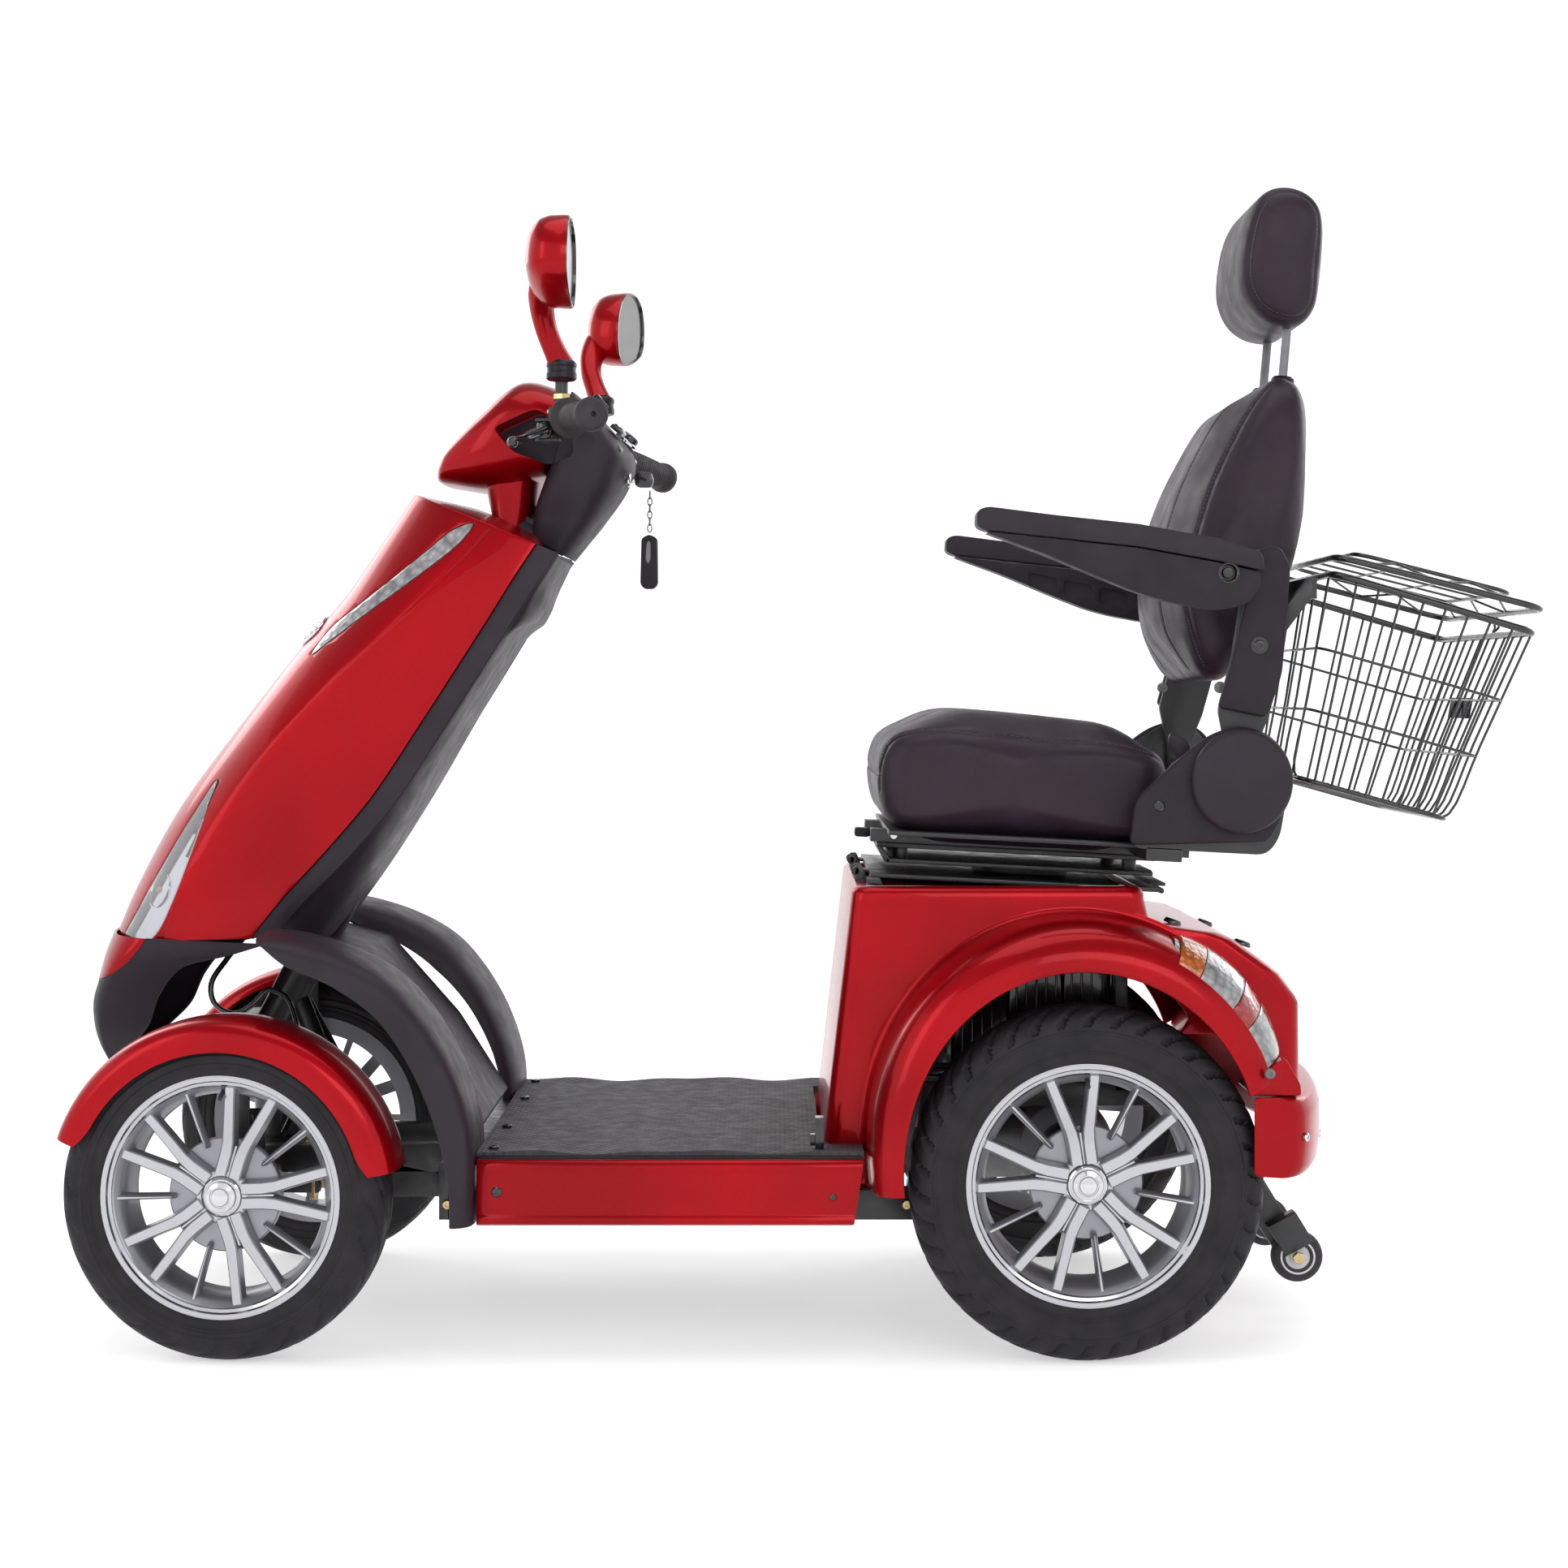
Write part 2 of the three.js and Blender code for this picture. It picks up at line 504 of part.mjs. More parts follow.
function rearBody() {
  const parts = [];
  bothSides((side, sign) => {
    const wallOutline = [
      [12, 240], [46, 541], [392, 529], [400, 500], [490, 483], [549, 441], [575, 408], [575, 308],
      [540, 308], ...arcPoints(ARCH_R, 154, 0, 10), [68, 190], [58, 190], [50, 234]];
    parts.push(slab(wallOutline, sign * (BODY_Y - WALL), sign * BODY_Y));
    const flare = (degrees) => {
      const outer = flareRadius(degrees);
      const depth = outer - ARCH_R;
      return [
        [outer, BODY_Y - 2], [outer - 0.02 * depth, 290], [outer - 0.15 * depth, 325],
        [outer - 0.55 * depth, 346], [ARCH_R, FLARE_Y], [ARCH_R, FLARE_Y - WALL],
        [outer - 0.6 * depth - 1, 341], [outer - 0.2 * depth - 3, 320],
        [outer - 0.02 * depth - WALL, 288], [outer - WALL, BODY_Y - 2]].map(([r, y]) => [r, sign * y]);
    };
    parts.push(archSweep(flare, ARCH_CENTRE, -4, 152, 12));
  });
  parts.push(slab([[12, 240], [16.5, 240], [50.5, 541], [46, 541]], -BODY_Y, BODY_Y));
  parts.push(slab([[388, 529.2], [392, 529], [400, 500], [490, 483], [549, 441], [575, 408],
    [575, 308], [571, 308], [571, 406], [546, 437], [488, 479], [396, 496]], -BODY_Y, BODY_Y));
  return join(...parts);
}

piece('rear_body', rearBody(), RED);

bothSides((side, sign) => {
  const lamp = (degrees) => {
    const base = flareRadius(degrees) + GAP;
    return [[base, 247], [base + 19, 247], [base + 16, 290], [base + 6, 318], [base, 322]]
      .map(([r, y]) => [r, sign * y]);
  };
  piece(`tail_lamp_${side}`, archSweep(lamp, ARCH_CENTRE, 113, 147, 8), TAIL_LENS);
});

const BUMPER = [
  [-348, 506, 549], [-338, 512, 562], [-300, 540, 580], [-200, 572, 604], [0, 590, 622], [200, 572, 604],
  [300, 540, 580], [338, 512, 562], [348, 506, 549]];
piece('rear_bumper', loft(BUMPER.map(([y, front, rear]) => [
  [front, 222], [rear - 6, 218], [rear, 232], [rear, 292], [rear - 8, 305], [front, 305]]
  .map(([x, z]) => new THREE.Vector3(x, y, z)))), RED);

// ---------------------------------------------------------------- drive and batteries
const REAR_Z = TYRE_R.rear;
piece('transaxle', join(
  rod([AXLE_X.rear, -232, REAR_Z], [AXLE_X.rear, 232, REAR_Z], 27),
  rod([AXLE_X.rear, -WHEEL_Y - 31, REAR_Z], [AXLE_X.rear, WHEEL_Y + 31, REAR_Z], SPINDLE_R, 16),
  rod([AXLE_X.rear, -250, REAR_Z], [AXLE_X.rear, 250, REAR_Z], 22),
  rod([AXLE_X.rear, -55, REAR_Z], [AXLE_X.rear, 45, REAR_Z], 62, 18),
  rod([AXLE_X.rear - 10, -10, REAR_Z], [AXLE_X.rear - 150, -10, REAR_Z], 48, 16),
  rod([AXLE_X.rear - 140, -10, REAR_Z], [AXLE_X.rear - 162, -10, REAR_Z], 36),
), CAST);

piece('battery_pack', join(
  box(100, 375, -134, 134, 302, 312),
  ...[0, 1, 2, 3].map((i) => box(106 + 67 * i, 170 + 67 * i, -128, 128, 308, 490)),
  box(106, 371, -4, 4, 480, 494),
), GLOSS_BLACK);

// ---------------------------------------------------------------- anti-tip wheels
bothSides((side, sign) => {
  const profile = [[4.3, -10], [19, -10], [ANTI_TIP.r, -6], [ANTI_TIP.r, 6], [19, 10], [4.3, 10],
    [4.3, -10]];
  const tyre = new THREE.LatheGeometry(profile.map(([r, y]) => new THREE.Vector2(r, y)), 16);
  piece(`anti_tip_wheel_${side}`, tyre.translate(ANTI_TIP.x, sign * ANTI_TIP.y, ANTI_TIP.z), RUBBER);
});

// ---------------------------------------------------------------- tiller
const steerPivot = new THREE.Vector3(STEER_POINT[0], 0, STEER_POINT[1]);
tiller.matrixAutoUpdate = false;
tiller.matrix.makeTranslation(steerPivot)
  .multiply(new THREE.Matrix4().makeRotationAxis(AXIS, TILLER_TURN))
  .multiply(new THREE.Matrix4().makeTranslation(steerPivot.clone().negate()));

const BAR_Z = 1095;
const GRIP_IN = [-276, 166, 1091];
const GRIP_OUT = [-224, 290, 1076];
const barEnd = (sign, share) => [
  GRIP_IN[0] + (GRIP_OUT[0] - GRIP_IN[0]) * share,
  sign * (GRIP_IN[1] + (GRIP_OUT[1] - GRIP_IN[1]) * share),
  GRIP_IN[2] + (GRIP_OUT[2] - GRIP_IN[2]) * share];
const BAR_R = 11;
const MIRROR_POST = [-290, 138, 1142];

const leftToRight = [barEnd(-1, 0), [axisX(BAR_Z), -70, BAR_Z], [axisX(BAR_Z), 70, BAR_Z], barEnd(1, 0)];
const barParts = [rod(leftToRight[1], leftToRight[2], BAR_R, 10)];
bothSides((side, sign) => {
  barParts.push(rod([axisX(BAR_Z), sign * 60, BAR_Z], barEnd(sign, 0.03), BAR_R, 10));
  barParts.push(rod(barEnd(sign, 0), barEnd(sign, 0.97), BAR_R, 10));
  barParts.push(box(-296, -268, sign * 128, sign * 150, 1074, 1112));
  barParts.push(rod(
    [MIRROR_POST[0], sign * MIRROR_POST[1], 1100], [MIRROR_POST[0], sign * MIRROR_POST[1], 1141], 8, 8));
});
piece('tiller_stem', join(
  rod(onAxis(560), onAxis(BAR_Z + 6), 14),
  rod(onAxis(968), onAxis(990), 22),
  ...barParts), STEEL, tiller);

const NACELLE = [
  [[-468, 1040], [-466, 1034], 28],
  [[-444, 1076], [-451, 1031], 74],
  [[-404, 1117], [-411, 1024], 96],
  [[-354, 1156], [-366, 1026], 106],
  [[-298, 1142], [-333, 1038], 102]];
const NECK = [
  [[-398, 989], [-355, 966], 48],
  [[-404, 1008], [-348, 1000], 49],
  [[-408, 1034], [-342, 1034], 52]];
const CONSOLE = [
  [[-351, 966], [-299, 938], 52],
  [[-344, 1000], [-262, 984], 62],
  [[-328, 1040], [-234, 1028], 80],
  [[-313, 1074], [-226, 1068], 94],
  [[-300, 1108], [-258, 1107], 98],
  [[-291, 1136], [-284, 1132], 90]];

const barHole = [rod(leftToRight[1], leftToRight[2], 15, 8)];
bothSides((side, sign) => barHole.push(rod([axisX(BAR_Z), sign * 60, BAR_Z], barEnd(sign, 0.03), 15, 8)));
bothSides((side, sign) => barHole.push(box(-298, -266, sign * 120, sign * 152, 1070, 1114)));
const stemHole = rod(onAxis(930), onAxis(1110), 17);
const bossHole = rod(onAxis(930), onAxis(996), 24);

const nacelleHollow = ovalLoft(
  [[[-462, 1040], [-459, 1035], 28], ...NACELLE.slice(1, -1), [[-285, 1142], [-320, 1038], 102]], WALL);
const neckHollow = ovalLoft([
  [[-394, 978], [-350, 955], 48], NECK[1], [[-408, 1050], [-342, 1050], 52]], WALL);
const seam = slab([
  [-333.5, 1030], [-284, 1160], [-180, 1160], [-180, 880], [-352, 880], [-352, 964], [-345, 1000]],
-120, 120);
piece('tiller_shroud', cut(
  cut(join(ovalLoft(NACELLE)), nacelleHollow).add(solid(ovalLoft(NECK))),
  neckHollow, seam, stemHole, bossHole, ...barHole), RED, tiller);

const consoleBody = cut(solid(ovalLoft(CONSOLE)),
  ovalLoft([
    [[-352, 956], [-300, 928], 52], ...CONSOLE.slice(1, -1), [[-300, 1150], [-286, 1146], 90]], WALL),
  stemHole, bossHole, ...barHole);
const seamFront = slab([
  [-331, 1030], [-283, 1158], [-480, 1158], [-480, 900], [-349, 900], [-349, 964], [-343, 1000]],
-120, 120);
piece('tiller_console', cut(consoleBody, seamFront), BLACK_PLASTIC, tiller);

/** A grip: a tube round the bar with flanges. */
function grip(sign) {
  const body = join(
    rod(barEnd(sign, 0.04), barEnd(sign, 1), 17),
    rod(barEnd(sign, 0.04), barEnd(sign, 0.1), 20));
  return cut(body, rod(barEnd(sign, -0.1), barEnd(sign, 0.975), BAR_R + 0.6));
}
piece('grip_left', grip(-1), RUBBER, tiller);
piece('throttle_grip', grip(1), RUBBER, tiller);

const LEVER_PIVOT = [-308, 150, 1078];
bothSides((side, sign) => {
  const y = (value) => sign * value;
  const blade = loft([
    [[-310, 154], [-300, 154], 1070, 1086],
    [[-330, 196], [-319, 192], 1056, 1070],
    [[-333, 240], [-323, 238], 1047, 1059],
    [[-328, 276], [-318, 275], 1041, 1053]].map(([a, b, low, high]) => [
    new THREE.Vector3(a[0], y(a[1]), low), new THREE.Vector3(b[0], y(b[1]), low),
    new THREE.Vector3(b[0], y(b[1]), high), new THREE.Vector3(a[0], y(a[1]), high)]));
  const [pivotX, pivotY] = [LEVER_PIVOT[0], y(LEVER_PIVOT[1])];
  const eye = rod([pivotX, pivotY, 1068], [pivotX, pivotY, 1088], 9, 12);
  piece(`brake_lever_${side}`, join(blade, eye), STEEL, tiller);
});

bothSides((side, sign) => {
  const y = (value) => sign * value;
  const head = new THREE.SphereGeometry(1, 10, 7).scale(24, 68, 50).rotateX(sign * 0.25)
    .translate(-286, y(226), 1270);
  const [postX, postY] = [MIRROR_POST[0], y(MIRROR_POST[1])];
  const arm = bentRod([
    [postX, postY, 1158], [-300, y(150), 1185], [-298, y(172), 1215], [-290, y(196), 1240]],
  10, 6, 5);
  const collar = rod([postX, postY, 1142], [postX, postY, 1162], 15);
  piece(`mirror_${side}`, join(head, arm, collar), RED, tiller);
});

const HORN_TRAVEL = 2.5;

/** A round control standing on the console at a point, along a direction in the XZ plane. */
function control(name, x, y, z, angleDeg, radius, lift, height, material) {
  const angle = THREE.MathUtils.degToRad(angleDeg);
  const out = (d) => [x + d * Math.cos(angle), y, z + d * Math.sin(angle)];
  piece(name, rod(out(lift), out(height), radius, 14), material, tiller);
}
control('speed_knob', -268, -36, 1122.5, 41, 13, GAP, 16, BLACK_PLASTIC);
control('horn_button', -238, 34, 1090, 51, 13, HORN_TRAVEL + GAP, 12, GLOSS_BLACK);

const switchBody = box(-9, 9, -14, 14, 0, 9);
switchBody.rotateY(THREE.MathUtils.degToRad(39)).translate(-239, -34, 1092);
piece('indicator_switch', switchBody, GLOSS_BLACK, tiller);

const KEY_Z = 1037;
const KEY_X = -230;
piece('key', join(
  rod([KEY_X + 1, 0, KEY_Z], [KEY_X + 12, 0, KEY_Z], 5, 12),
  box(KEY_X + 10, KEY_X + 32, -3, 3, KEY_Z - 10, KEY_Z + 10)), GLOSS_BLACK, tiller);

piece('key_fob', join(
  box(-204, -200, -8, 8, 962, 974),
  rod([-202, 0, 972], [-202, 0, 1022.5], 2.4, 6),
  slab([[-213, 962], [-213, 905], [-209, 899], [-195, 899], [-191, 905], [-191, 962], [-202, 968]],
    -5, 5)),
GLOSS_BLACK, tiller);

// ---------------------------------------------------------------- seat lid, swivel and slide
const lidBarrels = [-1, 1].map((sign) => rod(
  [SEAT_HINGE[0], sign * 96.6, SEAT_HINGE[1]], [SEAT_HINGE[0], sign * 130.4, SEAT_HINGE[1]], 4.6, 12));
const leaves = [-1, 1].map((sign) => seatSlab(0, 30, -2, 2, sign * 97, sign * 130));
piece('seat_lid', join(
  seatSlab(12, 362, -3, 2, -196, 196),
  seatSlab(355, 375, 0, 4, -120, 120),
  rod(seatPoint(SWIVEL_U, 0, 0), seatPoint(SWIVEL_U, 0, 12), 60, 16),
  ...lidBarrels, ...leaves), STEEL);

piece('swivel_plate', join(
  seatSlab(32, 355, 13, 18, -150, 150),
  slab([seat(22, 30), seat(32, 13), seat(36, 17), seat(26, 31)], -150, 150),
  ...[-1, 1].flatMap((sign) => [50, 330].map((u) => (
    rod(seatPoint(u, sign * 110, 16), seatPoint(u, sign * 110, 32), 9, 8)))),
  ...[-1, 1].map((sign) => seatSlab(20, 360, 30, 36, sign * 96, sign * 126))), STEEL);

const RAIL_GAP = 0.6;
const sidePlate = (sign) => slab([
  [372, 588], [530, 580], [545, 600], [552, 640], [550, 690], [520, 724], [480, 726], [430, 695],
  [380, 645]],
sign * 262, sign * 268);
piece('seat_base', join(
  ...[-1, 1].map((sign) => seatSlab(12, 400, 36 + RAIL_GAP, 52, sign * 94, sign * 134)),
  seatSlab(30, 365, 50, 56, -225, 225),
  seatSlab(330, 372, 38, 54, -268, 268),
  ...[-1, 1].map(sidePlate),
  ...[-1, 1].map((sign) => rod(
    [RECLINE[0], sign * 244, RECLINE[1]], [RECLINE[0], sign * 264, RECLINE[1]], 10)),
), STEEL);

piece('swivel_lever', join(
  rod(seatPoint(60, -70, 42), seatPoint(6, -70, 44), 4, 8),
  seatSlab(-6, 12, 39, 50, -84, -56)), BLACK_PLASTIC);

/** A cushion solid: an outline extruded across and chamfered at both sides. */
function cushion(outline, half) {
  const centreX = outline.reduce((sum, p) => sum + p[0], 0) / outline.length;
  const centreZ = outline.reduce((sum, p) => sum + p[1], 0) / outline.length;
  const ringAt = (y, shrink) => outline.map(([x, z]) => {
    const length = Math.hypot(x - centreX, z - centreZ);
    const scale = (length - shrink) / length;
    return new THREE.Vector3(centreX + (x - centreX) * scale, y, centreZ + (z - centreZ) * scale);
  });
  return loft([
    ringAt(-half, 22), ringAt(-half + 18, 4), ringAt(-half + 40, 0),
    ringAt(half - 40, 0), ringAt(half - 18, 4), ringAt(half, 22)]);
}

piece('seat_cushion', cushion([
  seat(24, 62), seat(10, 90), seat(7, 140), seat(20, 172), seat(60, 184), seat(140, 184), seat(230, 180),
  seat(330, 172), seat(362, 162), seat(368, 120), seat(360, 64), seat(120, 60)],
CUSHION_HALF.seat), LEATHER);

bothSides((side, sign) => {
  const outline = [
    [368, 592], [374, 645], [428, 696], [462, 722], [497, 732], [532, 722], [555, 692], [558, 660],
    [545, 622], [530, 596]];
  piece(`hinge_cover_${side}`, slab(outline, sign * 269, sign * 300), BLACK_PLASTIC);
});

// ---------------------------------------------------------------- backrest
const backPost = (sign) => slab([
  [486, 655], [508, 655], [516, 700], [532, 738], [547, 792], [552, 860], [552, 922], [545, 936],
  [520, 938], [470, 925], [462, 905], [470, 892], [500, 880], [490, 810], [474, 750], [484, 700]],
sign * POST_Y[0], sign * POST_Y[1]);
const backFrame = cut(join(
  ...[-1, 1].map(backPost),
  ...[-1, 1].map((sign) => slab([
    [545, 830], [582, 880], [590, 880], [590, 905], [580, 905], [545, 860]], sign * 260, sign * 250)),
  box(582, 590, -260, 260, 880, 905),
  slab([[589, 884], [604, 878], [606, 894], [589, 902]], -60, 60),
  ...[-1, 1].map((sign) => rod(
    [ARM_PIVOT[0], sign * 270, ARM_PIVOT[1]], [ARM_PIVOT[0], sign * 318, ARM_PIVOT[1]], 7)),
), ...[-1, 1].flatMap((sign) => [
  rod([RECLINE[0], sign * 240, RECLINE[1]], [RECLINE[0], sign * 280, RECLINE[1]], 10.7)]));

// The posts' lower parts are thinned where the fixed side plates stand.
piece('backrest_frame', cut(backFrame, ...[-1, 1].map((sign) => (
  slab([[440, 640], [560, 640], [560, 736], [440, 736]], sign * 261.3, sign * 290)))), STEEL);

const postHoles = [-1, 1].map((sign) => rod(
  [585 - POST_LEAN * 120, sign * 70, 1175 - 120], [585 + POST_LEAN * 60, sign * 70, 1175 + 60], 7, 10));
piece('back_cushion', cut(solid(cushion([
  [462, 786], [440, 836], [434, 890], [445, 947], [465, 1009], [495, 1070], [534, 1134], [560, 1160],
  [590, 1152], [600, 1128], [599, 1060], [592, 970], [575, 905], [548, 850], [516, 800], [490, 776]],
CUSHION_HALF.back)),
...postHoles), LEATHER);

const headBlock = cushion([
  [560, 1396], [536, 1373], [520, 1322], [518, 1272], [532, 1236], [560, 1216], [600, 1212], [624, 1232],
  [632, 1287], [636, 1361], [622, 1386], [592, 1399]], CUSHION_HALF.head);
const headPosts = [-1, 1].map((sign) => rod(
  [585 - POST_LEAN * 95, sign * 70, 1175 - 95], [585 + POST_LEAN * 70, sign * 70, 1175 + 70], 5.5, 10));
piece('headrest', join(headBlock, ...headPosts), LEATHER);

bothSides((side, sign) => {
  const outline = [
    [188, 981], [198, 982], [279, 971], [373, 961], [467, 944], [517, 928], [515, 895], [500, 872],
    [467, 864], [392, 878], [326, 904], [270, 928], [195, 951]];
  const body = slab(outline, sign * ARM_Y[0], sign * ARM_Y[1]);
  const hole = rod(
    [ARM_PIVOT[0], sign * 270, ARM_PIVOT[1]], [ARM_PIVOT[0], sign * 330, ARM_PIVOT[1]], 7.5);
  piece(`armrest_${side}`, cut(solid(body), hole), BLACK_PLASTIC);
});

piece('recline_lever', join(
  rod([452, -256, 668], [452, -236, 668], 6, 10),
  slab([[446, 662], [458, 662], [440, 716], [420, 722], [418, 712]], -244, -236)), BLACK_PLASTIC);

// ---------------------------------------------------------------- basket
const BASKET = {
  top: [[616, 910], [853, 840]],
  bottom: [[580, 668], [762, 618]],
  yTop: 235,
  yBottom: 190,
};
const WIRE_R = 2.2;
const mix = (a, b, t) => a.map((value, i) => value + (b[i] - value) * t);

/** A corner of the basket: end 0 front or 1 rear, side -1 or 1, and how far down from the rim. */
function corner(end, side, down) {
  const [x, z] = mix(BASKET.top[end], BASKET.bottom[end], down);
  return [x, side * (BASKET.yTop + (BASKET.yBottom - BASKET.yTop) * down), z];
}

/** The four rods of one ring round the basket. */
function ringRods(down, radius) {
  const corners = [corner(0, -1, down), corner(1, -1, down), corner(1, 1, down), corner(0, 1, down)];
  return corners.map((p, i) => rod(p, corners[(i + 1) % 4], radius, 4));
}

/** The upright rods of one wall, from one corner to the next. */
function wallRods(endA, sideA, endB, sideB, count) {
  const rods = [];
  for (let i = 0; i <= count; i += 1) {
    const t = i / count;
    rods.push(rod(mix(corner(endA, sideA, 0), corner(endB, sideB, 0), t),
      mix(corner(endA, sideA, 1), corner(endB, sideB, 1), t), WIRE_R, 4));
  }
  return rods;
}
const floorRods = [1, 2].map((i) => rod(
  mix(corner(0, -1, 1), corner(0, 1, 1), i / 3),
  mix(corner(1, -1, 1), corner(1, 1, 1), i / 3), WIRE_R, 4));
piece('basket', join(
  ...ringRods(0, 4.5), ...ringRods(0.5, WIRE_R), ...ringRods(1, 3),
  ...wallRods(0, -1, 1, -1, 2), ...wallRods(0, 1, 1, 1, 2),
  ...wallRods(0, -1, 0, 1, 3), ...wallRods(1, -1, 1, 1, 3), ...floorRods), WIRE);

const LID = { front: [618, 930], rear: [862, 868], y: 243, r: 4 };
const lidCorners = [
  [LID.front[0], -LID.y, LID.front[1]], [LID.rear[0], -LID.y, LID.rear[1]],
  [LID.rear[0], LID.y, LID.rear[1]], [LID.front[0], LID.y, LID.front[1]]];
piece('basket_lid', join(
  ...lidCorners.map((p, i) => rod(p, lidCorners[(i + 1) % 4], LID.r, 4)),
  ...[1, 2, 3].map((i) => rod(mix(lidCorners[0], lidCorners[3], i / 4),
    mix(lidCorners[1], lidCorners[2], i / 4), WIRE_R, 4)),
  ...[1, 2].map((i) => rod(mix(lidCorners[0], lidCorners[1], i / 3),
    mix(lidCorners[3], lidCorners[2], i / 3), WIRE_R, 4)),
), WIRE);

export default scooter;
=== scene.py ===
"""Four-wheel mobility scooter: the visual model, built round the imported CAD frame.

Shapes are drawn in millimetres in the scooter's design frame and placed in metres in the row frame.
"""
import math
import bmesh
import bpy
from mathutils import Matrix, Vector
from mathutils.kdtree import KDTree


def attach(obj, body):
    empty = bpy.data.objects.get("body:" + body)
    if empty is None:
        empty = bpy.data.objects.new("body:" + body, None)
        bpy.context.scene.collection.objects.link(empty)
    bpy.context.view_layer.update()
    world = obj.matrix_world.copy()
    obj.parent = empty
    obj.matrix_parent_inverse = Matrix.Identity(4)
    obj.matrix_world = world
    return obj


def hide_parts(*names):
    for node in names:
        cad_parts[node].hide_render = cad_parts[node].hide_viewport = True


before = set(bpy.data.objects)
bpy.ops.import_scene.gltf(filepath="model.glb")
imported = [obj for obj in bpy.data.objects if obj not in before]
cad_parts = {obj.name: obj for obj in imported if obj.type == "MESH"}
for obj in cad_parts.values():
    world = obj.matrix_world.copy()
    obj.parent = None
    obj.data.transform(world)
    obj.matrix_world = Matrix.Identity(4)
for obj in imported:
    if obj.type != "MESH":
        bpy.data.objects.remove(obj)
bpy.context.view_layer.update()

# ------------------------------------------------------------------ places
MM = 0.001
DESIGN_TO_ROW = 11.8                    # x shift from the design frame to the row frame
PLACE = Matrix.Translation((DESIGN_TO_ROW * MM, 0, 0)) @ Matrix.Scale(MM, 4)
SIDES = (("left", -1), ("right", 1))


def turned(point, axis, degrees):
    """A turn about an axis through a point."""
    there = Matrix.Translation(Vector(point))
    return there @ Matrix.Rotation(math.radians(degrees), 4, Vector(axis)) @ there.inverted()


STEER_TILT = math.radians(28)
STEER_POINT = (-353, 0, 963)
STEER_AXIS = (math.sin(STEER_TILT), 0, math.cos(STEER_TILT))
TILLER_TURN = -7
KNUCKLE_TURN = TILLER_TURN * 0.7
AXLE_X = {"front": -672, "rear": 314}
TYRE_R = {"front": 191, "rear": 205}
TYRE_HALF = {"front": 40, "rear": 44}
WHEEL_Y = 295
KINGPIN_Y = 225
TILLER = PLACE @ turned(STEER_POINT, STEER_AXIS, TILLER_TURN)
KNUCKLE = {sign: PLACE @ turned((AXLE_X["front"], sign * KINGPIN_Y, 0), (0, 0, 1), KNUCKLE_TURN)
           for _, sign in SIDES}


def steer_at(z):
    """The point of the steering axis at a height."""
    return Vector((STEER_POINT[0] + (z - STEER_POINT[2]) * math.tan(STEER_TILT), 0, z))


# ------------------------------------------------------------------ materials
class Finish:
    """A procedural material on the Principled shader, with helpers for its texture nodes."""

    def __init__(self, name, colour, roughness, metallic=0.0, **sockets):
        self.material = bpy.data.materials.new(name)
        self.material.use_nodes = True
        self.tree = self.material.node_tree
        self.shader = self.tree.nodes["Principled BSDF"]
        self.shader.inputs["Base Color"].default_value = (*colour, 1)
        self.shader.inputs["Roughness"].default_value = roughness
        self.shader.inputs["Metallic"].default_value = metallic
        for socket, value in sockets.items():
            self.shader.inputs[socket.replace("_", " ")].default_value = value
        self.place = self.tree.nodes.new("ShaderNodeTexCoord").outputs["Object"]

    def link(self, source, target):
        self.tree.links.new(source, target)

    def node(self, kind, inputs=(), **settings):
        made = self.tree.nodes.new("ShaderNode" + kind)
        for key, value in settings.items():
            setattr(made, key, value)
        for key, value in dict(inputs).items():
            if isinstance(value, bpy.types.NodeSocket):
                self.link(value, made.inputs[key])
            else:
                made.inputs[key].default_value = value
        return made

    def noise(self, scale, detail=3.0, stretch=None):
        place = self.place
        if stretch:
            place = self.node("Mapping", {"Vector": place, "Scale": stretch}).outputs["Vector"]
        return self.node("TexNoise", {"Vector": place, "Scale": scale, "Detail": detail}).outputs["Fac"]

    def cells(self, scale, feature="F1"):
        made = self.node("TexVoronoi", {"Vector": self.place, "Scale": scale}, feature=feature)
        return made.outputs["Distance"]

    def spread(self, source, low, high, start=0.3, end=0.7):
        """A texture value mapped onto a range."""
        return self.node("MapRange", {"Value": source, "From Min": start, "From Max": end,
                                      "To Min": low, "To Max": high}).outputs["Result"]

    def colours(self, source, first, second):
        mix = self.node("Mix", {"Factor": source}, data_type="RGBA")
        mix.inputs[6].default_value = (*first, 1)
        mix.inputs[7].default_value = (*second, 1)
        self.link(mix.outputs[2], self.shader.inputs["Base Color"])

    def rough(self, source, low, high):
        self.link(self.spread(source, low, high), self.shader.inputs["Roughness"])

    def bump(self, *layers):
        """Bump layers of (height, strength, distance in millimetres)."""
        normal = None
        for height, strength, depth in layers:
            made = self.node("Bump", {"Height": height, "Strength": strength, "Distance": depth * MM})
            if normal is not None:
                self.link(normal, made.inputs["Normal"])
            normal = made.outputs["Normal"]
        self.link(normal, self.shader.inputs["Normal"])
        return self


def red_paint():
    """Candy red with metal flake under a clear coat."""
    f = Finish("red_paint", (0.26, 0.002, 0.006), 0.3, 0.6, Coat_Weight=0.42, Coat_Roughness=0.03,
               Coat_IOR=1.33, Specular_IOR_Level=0.1)
    f.colours(f.spread(f.noise(5, 2), 0, 1), (0.40, 0.001, 0.006), (0.27, 0.001, 0.004))
    f.rough(f.noise(2600, 1), 0.22, 0.42)
    f.bump((f.noise(2600, 1), 0.05, 0.1), (f.noise(70, 2), 0.03, 0.6))
    return f.material


